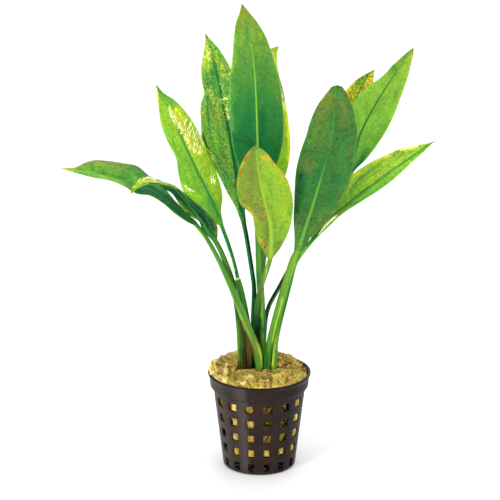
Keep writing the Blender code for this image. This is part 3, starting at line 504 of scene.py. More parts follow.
def leaf_frame(spec):
    """Sections of a leaf: centre, edges, normal, rod radius, and places along."""
    fx, fy, fr = spec["foot"]
    mid = [np.array([fx, fy, FOOT_Z])] + [on_sheet(u, v, y) for u, v, y, _ in spec["stalk"]]
    rad = [fr] + [r for *_, r in spec["stalk"]]
    n_stalk = len(mid)
    left = [on_sheet(*l) for _, l, _ in spec["blade"]]
    right = [on_sheet(*r) for _, _, r in spec["blade"]]
    tip = on_sheet(*spec["tip"])
    mid = np.array(mid + [on_sheet(*m) for m, _, _ in spec["blade"]] + [tip])
    left = np.array(left + [tip])
    right = np.array(right + [tip])
    knots = np.concatenate([[0.0], np.cumsum(np.sqrt(np.linalg.norm(np.diff(mid, axis=0), axis=1)))])
    k0, k1 = knots[n_stalk], knots[-1]
    i = np.arange(N_BLADE) / N_BLADE
    ts = np.concatenate([np.linspace(0, k0, N_STALK, endpoint=False), k0 + (k1 - k0) * (1 - (1 - i) ** 1.15)])
    centre = spline(mid, knots, ts)
    ahead = spline(mid, knots, np.minimum(ts + 0.05, k1))
    behind = spline(mid, knots, np.maximum(ts - 0.05, 0))
    tangent = unit(ahead - behind)
    stalk = ts < k0 - 1e-9
    lp, rp = np.empty_like(centre), np.empty_like(centre)
    w0 = right[0] - left[0]
    r = np.interp(ts, knots[:n_stalk], rad)
    side = unit(w0 - tangent * (tangent @ w0)[:, None])
    lp[stalk] = (centre - side * r[:, None])[stalk]
    rp[stalk] = (centre + side * r[:, None])[stalk]
    blade_knots = knots[n_stalk:]
    lp[~stalk] = spline(left, blade_knots, ts[~stalk])
    rp[~stalk] = spline(right, blade_knots, ts[~stalk])
    b = np.where(stalk, 0.0, (ts - k0) / (k1 - k0))
    r = np.where(stalk, r, rad[-1] * (1 - b) ** 1.3 + 0.16)
    normal = unit(np.cross(rp - lp, tangent))
    along = np.concatenate([[0.0], np.cumsum(np.linalg.norm(np.diff(centre, axis=0), axis=1))])
    along -= along[N_STALK]
    return dict(centre=centre, left=lp, right=rp, normal=normal, r=r, b=b, stalk=stalk,
                along=along, tip=tip, tangent=tangent)


def leaf_mesh(name, spec, ripple, seed, camber=0.05):
    f = leaf_frame(spec)
    n = len(f["r"])
    s = np.linspace(-1, 1, 2 * NX + 1)
    x_round = np.sin(s * math.pi / 2)
    x_flat = np.sign(s) * (0.30 * np.abs(s) + 0.70 * np.abs(s) ** 1.7)
    x_flat = x_flat + 0.12 * np.sin(x_flat * math.pi) * np.abs(x_flat) ** 2
    blend = np.where(f["stalk"], 0.0, smooth(0.0, 0.09, f["b"]))[:, None]
    x = x_round[None] * (1 - blend) + x_flat[None] * blend                # n x m
    ax = np.abs(x)
    edge = np.where((x < 0)[..., None], f["left"][:, None], f["right"][:, None])
    spoke = edge - f["centre"][:, None]
    half = np.linalg.norm(spoke, axis=2)
    base = f["centre"][:, None] + spoke * ax[..., None]
    d = ax * half
    r = f["r"][:, None]
    b = f["b"][:, None]
    is_blade = (~f["stalk"])[:, None]
    rise = np.minimum(1.0, 6 * b)
    arch = camber * half * 4 * ax * (1 - ax) * rise
    # waves in the blade, growing towards the margins
    along = f["along"][:, None]
    ph = seed * 1.7
    wave = (np.sin(along / 8.5 + ph + 1.1 * np.sign(x)) + 0.6 * np.sin(along / 4.9 + 2.3 * ph)) * ax**2
    wave = wave * ripple * np.sin(math.pi * np.clip(b, 0, 1)) ** 0.7
    # the main veins that run from base to tip, and slight unevenness between them
    veins = np.zeros_like(ax)
    for c, w in ((0.36, 0.035), (0.68, 0.03)):
        veins += np.exp(-((ax - c) / w) ** 2)
    veins *= smooth(0.04, 0.16, b) * (1 - smooth(0.86, 0.98, b))
    uneven = 0.10 * np.sin(along / 3.1 + 5 * x + ph) * np.sin(5.0 * ax * math.pi / 2) * smooth(0.05, 0.2, b)
    arch = arch + (wave + uneven) * is_blade
    lam = 0.30 * np.sqrt(np.clip(1 - ax**8, 0, 1)) * (0.75 + 0.25 * (1 - b))
    round_h = r * np.sqrt(np.clip(1 - (d / r) ** 2, 0, 1))
    round_s = r * np.sqrt(np.clip(1 - ax**2, 0, 1))
    ribs = 1 + 0.035 * np.cos(9 * np.arccos(np.clip(x, -1, 1)))
    fade = smooth(0.0, 0.10, b)
    groove = 0.34 * r * np.exp(-((d / (0.75 * r + 0.12)) ** 2))
    up_blade = (1 - fade) * np.maximum(round_h, lam) + fade * (lam - groove - 0.10 * veins * lam / 0.3)
    dn_blade = (lam**3 + round_h**3) ** (1 / 3) + 0.13 * veins * lam / 0.3
    up = np.where(is_blade, up_blade, 0.88 * round_s * ribs)
    down = np.where(is_blade, dn_blade, round_s * ribs)
    up[:, [0, -1]] = 0.0
    down[:, [0, -1]] = 0.0
    nrm = f["normal"][:, None]
    top = base + nrm * (arch + up)[..., None]
    bottom = base + nrm * (arch - down)[..., None]
    m = 2 * NX + 1
    ring = np.concatenate([top, bottom[:, -2:0:-1]], axis=1)               # n x (2m-2)
    k = ring.shape[1]
    verts = np.concatenate([ring.reshape(-1, 3), f["tip"][None]])
    idx = np.arange(n * k).reshape(n, k)
    a, c = idx[:-1], idx[1:]
    # vertices run from the left edge over the top; faces turn outward
    quads = np.stack([a, np.roll(a, -1, 1), np.roll(c, -1, 1), c], axis=-1).reshape(-1, 4)
    faces = [tuple(q) for q in quads[:, ::-1].tolist()]
    faces.append(tuple(idx[0].tolist()))
    tip_i = n * k
    last = idx[-1]
    faces += [(int(last[(j + 1) % k]), int(last[j]), tip_i) for j in range(k)]
    ob = mesh_object(name, verts, faces)
    bm = bmesh.new()
    bm.from_mesh(ob.data)
    if bm.calc_volume(signed=True) < 0:
        bmesh.ops.reverse_faces(bm, faces=bm.faces)
    bm.to_mesh(ob.data)
    bm.free()
    # coordinates on the leaf, for its colouring
    t_col = np.where(f["stalk"], f["along"] / max(1e-6, -f["along"][0]), f["b"])
    ring_x = np.concatenate([x, x[:, -2:0:-1]], axis=1)
    ring_d = np.concatenate([d * np.sign(x), (d * np.sign(x))[:, -2:0:-1]], axis=1)
    side = np.concatenate([np.ones(m), -np.ones(m - 2)])
    side[[0, m - 1]] = 0.0
    ring_side = np.broadcast_to(side, (n, k))
    ring_t = np.broadcast_to(t_col[:, None], (n, k))
    ring_b = np.broadcast_to(f["along"][:, None], (n, k))
    ring_r = np.broadcast_to(f["r"][:, None], (n, k))
    leaf = np.stack([ring_x, ring_t, ring_r], -1).reshape(-1, 3)
    flat = np.stack([ring_d, ring_b, ring_side], -1).reshape(-1, 3)
    leaf = np.concatenate([leaf, [[0, 1, 0.1]]])
    flat = np.concatenate([flat, [[0, f["along"][-1] + 0.5, 0]]])
    set_vector_attribute(ob, "leaf", leaf)
    set_vector_attribute(ob, "flat", flat)
    return ob, verts, flat


def stroke(uv, points, radius, strength=1.0, core=0.0):
    """Soft stroke through sheet points: 1 within core of the line, 0 past the radius."""
    pts = np.asarray(points, float)
    best = np.full(len(uv), 1e9)
    if len(pts) == 1:
        best = np.linalg.norm(uv - pts[0], axis=1)
    for p, q in zip(pts, pts[1:]):
        seg = q - p
        k = np.clip(((uv - p) @ seg) / max(1e-9, seg @ seg), 0, 1)
        best = np.minimum(best, np.linalg.norm(uv - p - k[:, None] * seg, axis=1))
    return strength * (1 - smooth(core, radius, best))


MARKS = ("fleck", "dots", "speck")      # kinds that set a density, not a colour
# cream, pale and straw mostly paint highlights; ember and wine are red lines of the stalks
ONE_SIDED = ("cream", "pale", "straw", "ember", "wine")     # low on a leaf, these stay on the face they lie on
PAINTS = dict(
    lemon=(226, 226, 66), cream=(250, 247, 178), lime=(166, 206, 48), fresh=(140, 196, 56), leaf=(118, 184, 60),
    grass=(92, 168, 60), green=(66, 150, 64), fern=(52, 138, 62), moss=(108, 148, 62), olive=(146, 150, 58),
    deep=(14, 126, 64), bottle=(6, 92, 54), ink=(4, 46, 24), orange=(214, 134, 48), gold=(216, 190, 48),
    brown=(132, 100, 48), rust=(150, 72, 42), pale=(146, 208, 76), mint=(84, 172, 84), bark=(70, 60, 26),
    straw=(206, 208, 110), sage=(136, 168, 58), ember=(206, 84, 44), wine=(156, 54, 28))


def paint(ob, verts, strokes):
    """Lays the leaf's coloured regions down stroke by stroke, as a colour and how
    much of it covers each point, and the densities of its small marks."""
    uv = to_sheet(verts)
    jit = np.stack([fbm(verts, 0.35, 11, 3), fbm(verts, 0.35, 23, 3)], 1)
    colour = np.zeros((len(verts), 3))
    cover = np.zeros(len(verts))
    marks = {m: np.zeros(len(verts)) for m in MARKS}
    nn = np.empty(len(verts) * 3)
    ob.data.vertices.foreach_get("normal", nn)
    toward = np.sum(nn.reshape(-1, 3) * unit(EYE - verts), axis=1)
    turned = np.where(uv[:, 1] > 208, smooth(0.0, 0.2, toward), 1.0)
    for kind, points, radius, strength in strokes:
        k = stroke(uv + jit * min(1.6, 0.45 * radius), points, radius * 1.15, strength, radius * 0.25)
        if kind.rstrip("+") in ONE_SIDED:
            k = k * turned
        if kind in MARKS:
            marks[kind] = np.maximum(marks[kind], k)
            continue
        # each + makes the paint 1.5 times brighter: painted light for highlights and for places in shade
        c = np.array(srgb(*PAINTS[kind.rstrip("+")])[:3]) * 1.5 ** kind.count("+")
        total = k + cover * (1 - k)
        colour = np.where(total[:, None] > 1e-6,
                          (c * k[:, None] + colour * (cover * (1 - k))[:, None]) / np.maximum(total, 1e-6)[:, None], c)
        cover = total
    set_vector_attribute(ob, "paint", colour)
    set_vector_attribute(ob, "cover", np.stack([cover, marks["fleck"], marks["dots"]], -1))
    set_vector_attribute(ob, "marks", np.stack([marks["speck"], 0 * cover, 0 * cover], -1))
    return uv


def leaf_material(name, look, seed, spots=()):
    """Blade and stalk colours, veins, margins and markings, all worked out from
    the leaf's own coordinates."""
    t = Tree(name)
    x, along, rod = t.split(t.attr("leaf"))
    a_mm, b_mm, side = t.split(t.attr("flat"))
    cover, fleck, dots = t.split(t.attr("cover"))
    speck = t.split(t.attr("marks"))[0]
    flat = t.join(a_mm, b_mm, seed * 13.7)
    ax = t.math("ABSOLUTE", x)
    aa = t.math("ABSOLUTE", a_mm)
    on_blade = t.step(along, -0.01, 0.03)
    under = t.step(side, 0.2, -0.2)
    wob = t.math("SUBTRACT", t.noise(flat, 0.09, 2.0), 0.5)
    wob2 = t.math("SUBTRACT", t.noise(flat, 0.35, 2.0), 0.5)
    # blade colour along the leaf, left and right half
    left = t.ramp(along, look["left"])
    right = t.ramp(along, look.get("right", look["left"]))
    is_right = t.step(t.math("ADD", x, t.math("MULTIPLY", wob, 0.2)), -0.05, 0.05)
    blade = t.mix(is_right, left, right)
    # stalk colour, with its lengthwise ridges
    grain = t.noise(t.join(t.math("MULTIPLY", x, 2.2), t.math("MULTIPLY", b_mm, 0.035), seed * 3.1), 1.3, 4.0, 0.6)
    stalk = t.ramp(t.math("ADD", along, 1.0), look["stalk"])
    colour = t.mix(on_blade, stalk, blade)
    # painted regions, broken up so that their borders look grown
    fray = t.math("SUBTRACT", t.noise(flat, 0.9, 4.0, 0.7), 0.5)
    fray = t.math("MULTIPLY", fray, 0.9)
    full = t.math("MULTIPLY", t.math("MULTIPLY", cover, t.math("SUBTRACT", 1.0, cover)), 4.0)
    amount = t.math("ADD", cover, t.math("MULTIPLY", fray, full), clamp=True)
    colour = t.mix(amount, colour, t.attr("paint"))
    # mottling at four sizes, from blotches down to the grain between the veins
    big = t.step(t.noise(flat, 0.10, 3.0, 0.6), 0.32, 0.68)
    mid = t.step(t.noise(flat, 0.40, 4.0, 0.65), 0.32, 0.68)
    small = t.step(t.noise(t.vmath("ADD", flat, (5.0, 9.0, 2.0)), 0.85, 3.0, 0.65), 0.34, 0.66)
    fine = t.step(t.noise(flat, 1.5, 3.0, 0.65), 0.36, 0.64)
    m = look.get("mottle", 1.0)
    tone = t.math("ADD", 1.0 - 0.5 * m * 0.74, t.math("MULTIPLY", big, 0.14 * m))
    tone = t.math("ADD", tone, t.math("MULTIPLY", mid, 0.16 * m))
    tone = t.math("ADD", tone, t.math("MULTIPLY", small, 0.22 * m))
    tone = t.math("ADD", tone, t.math("MULTIPLY", fine, 0.22 * m))
    warm = t.math("ADD", tone, t.math("MULTIPLY", t.math("SUBTRACT", t.math("ADD", mid, small), 1.0), 0.14 * m))
    mottled = t.mix(1.0, colour, t.join(warm, tone, tone), "MULTIPLY")
    ridged = t.mix(t.step(grain, 0.32, 0.70), t.mix(1.0, colour, look.get("stalk_dark", (0.52, 0.60, 0.55, 1)), "MULTIPLY"),
                   t.mix(1.0, colour, look.get("stalk_light", (1.30, 1.18, 1.05, 1)), "MULTIPLY"))
    colour = t.mix(on_blade, ridged, mottled)
    # side veins: they leave the midrib at a slant and bend to the tip
    lat = t.math("SUBTRACT", b_mm, t.math("MULTIPLY", aa, look.get("slant", 1.1)))
    lat = t.math("ADD", lat, t.math("MULTIPLY", wob2, 2.2))
    lat = t.math("ADD", lat, t.math("MULTIPLY", t.math("MULTIPLY", aa, aa), -0.02))
    saw = t.math("ABSOLUTE", t.math("SUBTRACT", t.math("FRACT", t.math("DIVIDE", lat, look.get("vein_gap", 3.1))), 0.5))
    lateral = t.step(saw, look.get("vein_line", 0.14), 0.0)
    lateral = t.math("MULTIPLY", lateral, t.step(t.noise(flat, 0.5, 2.0), 0.36, 0.56))
    # crisp grain that follows the side veins
    crisp = t.step(t.noise(t.join(t.math("MULTIPLY", a_mm, 0.8), t.math("MULTIPLY", lat, 1.4), seed * 5.0), look.get("crisp_scale", 1.4), 2.0, 0.6), 0.42, 0.58)
    k = look.get("crisp", 0.3)
    shade = t.mix(crisp, (1 - 0.36 * k, 1 - 0.26 * k, 1 - 0.26 * k, 1), (1 + 0.34 * k, 1 + 0.20 * k, 1 + 0.04 * k, 1))
    colour = t.mix(on_blade, colour, t.mix(1.0, colour, shade, "MULTIPLY"))
    # long veins, at fixed fractions of the half width
    warped = t.math("ADD", ax, t.math("MULTIPLY", wob2, 0.035))
    long_v = None
    for c in (0.36, 0.68):
        line = t.step(t.math("ABSOLUTE", t.math("SUBTRACT", warped, c)), 0.038, 0.0)
        long_v = line if long_v is None else t.math("MAXIMUM", long_v, line)
    long_v = t.math("MULTIPLY", long_v, t.step(along, 0.03, 0.15))
    long_v = t.math("MULTIPLY", long_v, t.step(along, 0.97, 0.80))
    cells, _ = t.voronoi(t.vmath("MULTIPLY", flat, (1.0, 0.75, 1.0)), 0.62, "DISTANCE_TO_EDGE")
    net = t.step(cells, 0.16, 0.0)
    v_col = look.get("vein", srgb(30, 112, 46))
    v_amt = look.get("vein_amount", 0.25)
    colour = t.mix(t.math("MULTIPLY", t.math("MULTIPLY", lateral, v_amt), on_blade), colour, v_col)
    colour = t.mix(t.math("MULTIPLY", t.math("MULTIPLY", long_v, v_amt * look.get("long", 1.0)), on_blade), colour, v_col)
    colour = t.mix(t.math("MULTIPLY", t.math("MULTIPLY", net, v_amt * look.get("net", 0.7)), on_blade), colour, v_col)
    # midrib: sunken and dark above, raised and pale beneath
    rib_w = t.math("MULTIPLY", rod, look.get("rib_width", 0.9))
    rib = t.step(t.math("SUBTRACT", aa, rib_w), 0.18, -0.18)
    rib = t.math("MULTIPLY", rib, t.step(along, look.get("rib_end", 0.95), look.get("rib_end", 0.95) - 0.25))
    if "rib_start" in look:
        rib = t.math("MULTIPLY", rib, t.step(along, look["rib_start"], look["rib_start"] + 0.12))
    rib = t.math("MULTIPLY", rib, t.step(along, look.get("rib_from", 0.0) - 0.02, look.get("rib_from", 0.0) + 0.08))
    rib_col = t.mix(under, look.get("rib_top", srgb(30, 95, 45)), look.get("rib_under", srgb(150, 200, 70)))
    colour = t.mix(t.math("MULTIPLY", t.math("MULTIPLY", rib, look.get("rib_amount", 0.85)), on_blade), colour, rib_col)
    # margin
    marg = t.step(t.math("ADD", ax, t.math("MULTIPLY", wob2, 0.05)), 1.0 - look.get("margin_width", 0.05), 1.0)
    colour = t.mix(t.math("MULTIPLY", t.math("MULTIPLY", marg, look.get("margin_amount", 0.4)), on_blade), colour,
                   look.get("margin", srgb(120, 150, 52)))
    # brown dots
    dot_col = look.get("dot", srgb(84, 48, 22))
    for scale, size in look.get("dot_scales", ((0.50, 0.30), (0.85, 0.30))):
        dist, rand = t.voronoi(t.vmath("ADD", flat, (scale * 31.0, 7.0, 0.0)), scale)
        rr, gg, _ = t.split(rand)
        keep = t.step(t.math("SUBTRACT", dots, gg), -0.08, 0.08)
        limit = t.math("MULTIPLY", t.math("ADD", t.math("MULTIPLY", rr, size * 0.7), size * 0.3), keep)
        dot = t.step(t.math("SUBTRACT", dist, limit), 0.05, -0.05)
        dot = t.math("MULTIPLY", dot, t.step(limit, 0.03, 0.08))
        colour = t.mix(t.math("MULTIPLY", dot, look.get("dot_amount", 0.8)), colour, dot_col)
    # fine brown grit
    grit = t.noise(flat, 1.15, 3.0, 0.75)
    grit = t.math("ADD", grit, t.math("MULTIPLY", speck, 0.06))
    grit = t.step(grit, 0.55, 0.64)
    colour = t.mix(t.math("MULTIPLY", t.math("MULTIPLY", grit, speck), look.get("grit_amount", 0.8)), colour, look.get("grit", srgb(132, 92, 50)))
    # painted glints: pale flecks between the side veins, on the upper side only, stand for the leaf's gloss highlights
    glint_strength = look.get("glint_strength", 1.0)
    space = t.join(t.math("MULTIPLY", a_mm, 0.85), t.math("MULTIPLY", lat, 1.5), seed)
    dist, rand = t.voronoi(space, look.get("fleck_scale", 1.05))
    on = t.step(t.math("SUBTRACT", t.math("MULTIPLY", fleck, 1.1), t.split(rand)[0]), -0.02, 0.06)
    on = t.math("MULTIPLY", on, t.math("SUBTRACT", 1.0, under))
    chip = t.math("MULTIPLY", on, t.step(t.math("ADD", dist, t.math("MULTIPLY", t.math("SUBTRACT", fine, 0.5), 0.35)), 0.60, 0.36))
    g = look.get("gain", 0.70)
    glint_col = [c * glint_strength / g for c in srgb(250, 248, 196)[:3]] + [1.0]
    colour = t.mix(t.math("MULTIPLY", chip, 0.95), colour, look.get("fleck", glint_col))
    # single marks
    for (pa, pb), radius, col, strength in spots:
        off = t.vmath("SUBTRACT", t.join(a_mm, b_mm, 0.0), (pa, pb, 0.0))
        off = t.vmath("LENGTH", off)
        off = t.math("ADD", off, t.math("MULTIPLY", wob2, radius))
        colour = t.mix(t.step(off, radius * 1.35, radius * 0.45, 0.0, strength), colour, col)
    # surface
    relief = t.math("ADD", t.math("MULTIPLY", lateral, -0.45), t.math("MULTIPLY", long_v, -0.7))
    relief = t.math("ADD", relief, t.math("MULTIPLY", net, -0.25))
    relief = t.math("ADD", relief, t.math("MULTIPLY", mid, 0.9))
    relief = t.math("ADD", relief, t.math("MULTIPLY", fine, 0.3))
    relief = t.math("MULTIPLY", relief, on_blade)
    relief = t.math("ADD", relief, t.math("MULTIPLY", grain, t.math("SUBTRACT", 0.9, t.math("MULTIPLY", on_blade, 0.9))))
    normal = t.bump(relief, look.get("bump", 0.45), 0.0004)
    rough = t.math("ADD", look.get("rough", 0.40), t.math("MULTIPLY", mid, 0.14))
    # overall brightness of each leaf (gain), raised on some leaves that sit in shade: painted light
    colour = t.mix(1.0, colour, (g, g, g * look.get("blue", 0.93), 1.0), "MULTIPLY")
    # thin tissue: some of the light that falls on the far side shows through
    return t.finish(colour, rough, normal, Specular_IOR_Level=look.get("specular", 0.16), Subsurface_Weight=0.6,
                    Subsurface_Radius=(0.9, 1.0, 0.4), Subsurface_Scale=0.0012)


# Per leaf: blade and stalk ramps and finer looks. The dark middle stretches in the blade ramps of leaf_tall_centre,
# leaf_far_left and leaf_arching are partly the leaves' own deep green and partly painted shade where other leaves, or
# the leaf's own arch, cover them.
LOOKS = {
    "leaf_tall_centre": dict(
        left=[(0.0, srgb(70, 150, 60)), (0.34, srgb(20, 132, 64)), (0.54, srgb(58, 148, 66)), (0.68, srgb(96, 160, 64)),
              (0.82, srgb(132, 166, 62)), (1.0, srgb(160, 162, 50))],
        stalk=[(0.0, srgb(90, 160, 60)), (0.35, srgb(60, 130, 55)), (0.6, srgb(100, 170, 60)), (1.0, srgb(78, 152, 62))],
        rib_width=0.42, rib_under=srgb(150, 214, 76), rib_amount=0.95, rib_end=0.90, vein_amount=0.20, long=0.5,
        margin=srgb(116, 182, 60), margin_amount=0.35, crisp=0.25, blue=0.86, gain=0.76),
    "leaf_left_centre": dict(
        left=[(0.0, srgb(90, 152, 68)), (0.3, srgb(134, 178, 80)), (0.55, srgb(130, 174, 66)), (0.75, srgb(124, 164, 58)), (0.9, srgb(150, 176, 54)), (1.0, srgb(124, 148, 48))],
        right=[(0.0, srgb(86, 150, 66)), (0.35, srgb(92, 158, 66)), (0.6, srgb(114, 168, 62)), (0.8, srgb(134, 168, 56)), (0.92, srgb(146, 172, 52)), (1.0, srgb(80, 130, 50))],
        stalk=[(0.0, srgb(20, 110, 60)), (1.0, srgb(24, 112, 62))],
        rib_top=srgb(8, 110, 60), rib_width=1.15, rib_amount=0.85, rib_end=0.88, vein_amount=0.55, long=0.6, mottle=1.35, vein_gap=4.0,
        vein=srgb(20, 104, 50), grit=srgb(44, 108, 44), fleck=srgb(206, 214, 88), fleck_scale=1.75, crisp=0.6, crisp_scale=2.0, blue=1.02, gain=1.12),
    "leaf_left": dict(
        left=[(0.0, srgb(118, 184, 64)), (0.4, srgb(138, 194, 62)), (0.75, srgb(148, 196, 58)), (1.0, srgb(100, 160, 54))],
        right=[(0.0, srgb(132, 196, 56)), (0.3, srgb(164, 204, 48)), (0.7, srgb(164, 196, 50)), (1.0, srgb(96, 150, 50))],
        stalk=[(0.0, srgb(20, 100, 50)), (0.7, srgb(30, 130, 62)), (1.0, srgb(70, 156, 60))],
        rib_top=srgb(58, 152, 72), rib_width=0.75, rib_amount=0.85, vein_amount=0.28, mottle=0.9, crisp=0.35, glint_strength=1.35, fleck_scale=0.95, gain=0.98),
    "leaf_back_centre": dict(
        left=[(0.0, srgb(140, 186, 60)), (0.3, srgb(196, 212, 62)), (0.6, srgb(188, 204, 60)), (0.80, srgb(168, 186, 52)), (1.0, srgb(164, 178, 50))],
        stalk=[(0.0, srgb(60, 130, 50)), (0.5, srgb(36, 110, 52)), (1.0, srgb(110, 170, 60))],
        rib_top=srgb(150, 190, 60), vein_amount=0.12, mottle=0.9, grit=srgb(96, 66, 34), dot=srgb(70, 44, 20), crisp=0.3, gain=0.98),
    "leaf_front_small": dict(
        left=[(0.0, srgb(140, 184, 56)), (0.4, srgb(158, 204, 50)), (0.75, srgb(160, 204, 52)), (1.0, srgb(128, 168, 58))],
        right=[(0.0, srgb(136, 172, 58)), (0.4, srgb(148, 184, 56)), (0.75, srgb(136, 170, 58)), (1.0, srgb(122, 158, 58))],
        stalk=[(0.0, srgb(20, 92, 50)), (0.4, srgb(52, 112, 54)), (0.7, srgb(84, 136, 58)), (1.0, srgb(134, 176, 56))],
        rib_under=srgb(180, 216, 60), rib_width=0.95, rib_amount=0.9, rib_end=0.98, vein_amount=0.42, long=0.3, net=0.25, mottle=0.95,
        vein=srgb(190, 222, 70), vein_gap=2.6, slant=1.5, grit=srgb(150, 108, 50), margin=srgb(190, 196, 56), margin_amount=0.45, crisp=0.55, blue=0.86, gain=0.72),
    "leaf_right_front": dict(
        left=[(0.0, srgb(90, 160, 62)), (0.15, srgb(76, 140, 58)), (0.45, srgb(62, 134, 58)), (0.75, srgb(72, 136, 56)), (1.0, srgb(84, 130, 52))],
        right=[(0.0, srgb(86, 156, 60)), (0.15, srgb(70, 136, 56)), (0.45, srgb(44, 130, 60)), (0.75, srgb(80, 140, 56)), (1.0, srgb(96, 142, 56))],
        stalk=[(0.0, srgb(50, 130, 56)), (0.3, srgb(96, 172, 60)), (0.8, srgb(122, 186, 62)), (1.0, srgb(130, 190, 62))],
        rib_under=srgb(118, 192, 70), rib_width=0.58, rib_amount=0.9, rib_end=0.60, vein_amount=0.22, long=0.5, mottle=1.35,
        margin=srgb(60, 110, 50), margin_amount=0.4, grit=srgb(154, 136, 62), grit_amount=0.62, dot=srgb(92, 56, 30), crisp=0.5, blue=0.84, gain=0.70),
    "leaf_right_spotted": dict(
        left=[(0.0, srgb(120, 160, 56)), (0.6, srgb(190, 196, 54)), (1.0, srgb(206, 198, 48))],
        stalk=[(0.0, srgb(50, 110, 50)), (1.0, srgb(70, 130, 50))],
        rib_top=srgb(74, 170, 70), rib_width=1.3, rib_end=0.99, dot_scales=((1.2, 0.36), (1.9, 0.38), (2.7, 0.40)), dot_amount=1.0, dot=srgb(50, 22, 8), crisp=0.4,
        margin=srgb(150, 96, 36), margin_amount=0.4, mottle=1.0, blue=0.7, gain=1.12),
    "leaf_right_long": dict(
        left=[(0.0, srgb(60, 146, 58)), (0.25, srgb(124, 188, 62)), (0.5, srgb(144, 200, 60)), (0.85, srgb(146, 192, 58)), (1.0, srgb(130, 164, 56))],
        right=[(0.0, srgb(50, 138, 56)), (0.25, srgb(118, 186, 60)), (0.5, srgb(138, 196, 60)), (0.85, srgb(154, 194, 56)), (1.0, srgb(156, 178, 56))],
        stalk=[(0.0, srgb(30, 84, 36)), (1.0, srgb(50, 110, 40))],
        rib_top=srgb(30, 128, 52), rib_width=0.80, rib_amount=0.95, rib_end=0.99, vein_amount=0.18, long=0.5, mottle=0.8,
        margin=srgb(110, 160, 50), crisp=0.12, gain=0.78),
    "leaf_right_low": dict(
        left=[(0.0, srgb(96, 160, 62)), (0.3, srgb(156, 196, 72)), (0.7, srgb(166, 204, 64)), (1.0, srgb(146, 186, 58))],
        right=[(0.0, srgb(84, 160, 60)), (0.3, srgb(116, 178, 66)), (0.7, srgb(148, 200, 62)), (1.0, srgb(80, 156, 54))],
        stalk=[(0.0, srgb(120, 176, 58)), (0.5, srgb(112, 176, 60)), (1.0, srgb(96, 168, 58))],
        rib_top=srgb(56, 140, 54), rib_width=0.66, rib_amount=0.6, vein_amount=0.26, long=1.3, net=0.5, mottle=1.0,
        margin=srgb(110, 156, 50), margin_amount=0.5, crisp=0.5, grit=srgb(222, 220, 90), blue=1.0, gain=0.92),
    "leaf_far_left": dict(
        left=[(0.0, srgb(60, 140, 60)), (0.2, srgb(30, 118, 62)), (0.45, srgb(34, 116, 60)), (0.6, srgb(124, 186, 62)), (0.85, srgb(130, 180, 62)), (1.0, srgb(176, 192, 60))],
        right=[(0.0, srgb(60, 140, 60)), (0.2, srgb(36, 120, 60)), (0.45, srgb(60, 140, 60)), (0.6, srgb(104, 168, 62)), (0.85, srgb(116, 168, 60)), (1.0, srgb(176, 190, 60))],
        stalk=[(0.0, srgb(104, 146, 56)), (0.2, srgb(104, 150, 58)), (0.5, srgb(90, 150, 58)), (1.0, srgb(80, 146, 58))],
        rib_top=srgb(70, 164, 72), rib_width=0.8, rib_amount=0.8, rib_start=0.40, vein_amount=0.22, long=0.8, mottle=1.2,
        margin=srgb(134, 140, 54), margin_amount=0.6, margin_width=0.08, grit=srgb(146, 130, 58), crisp=0.7, blue=0.85, gain=0.92),
    "leaf_arching": dict(
        left=[(0.0, srgb(60, 124, 54)), (0.25, srgb(26, 100, 52)), (0.6, srgb(14, 96, 52)), (0.85, srgb(64, 144, 60)), (1.0, srgb(140, 160, 58))],
        stalk=[(0.0, srgb(74, 116, 52)), (0.5, srgb(76, 134, 58)), (1.0, srgb(90, 160, 64))],
        rib_under=srgb(60, 156, 74), rib_top=srgb(60, 150, 60), rib_width=0.7, rib_amount=0.85, rib_end=0.75, vein_amount=0.22,
        margin=srgb(140, 160, 60), margin_amount=0.6, specular=0.06, rough=0.5, crisp=1.0, mottle=1.4, blue=0.82, gain=0.62),
}
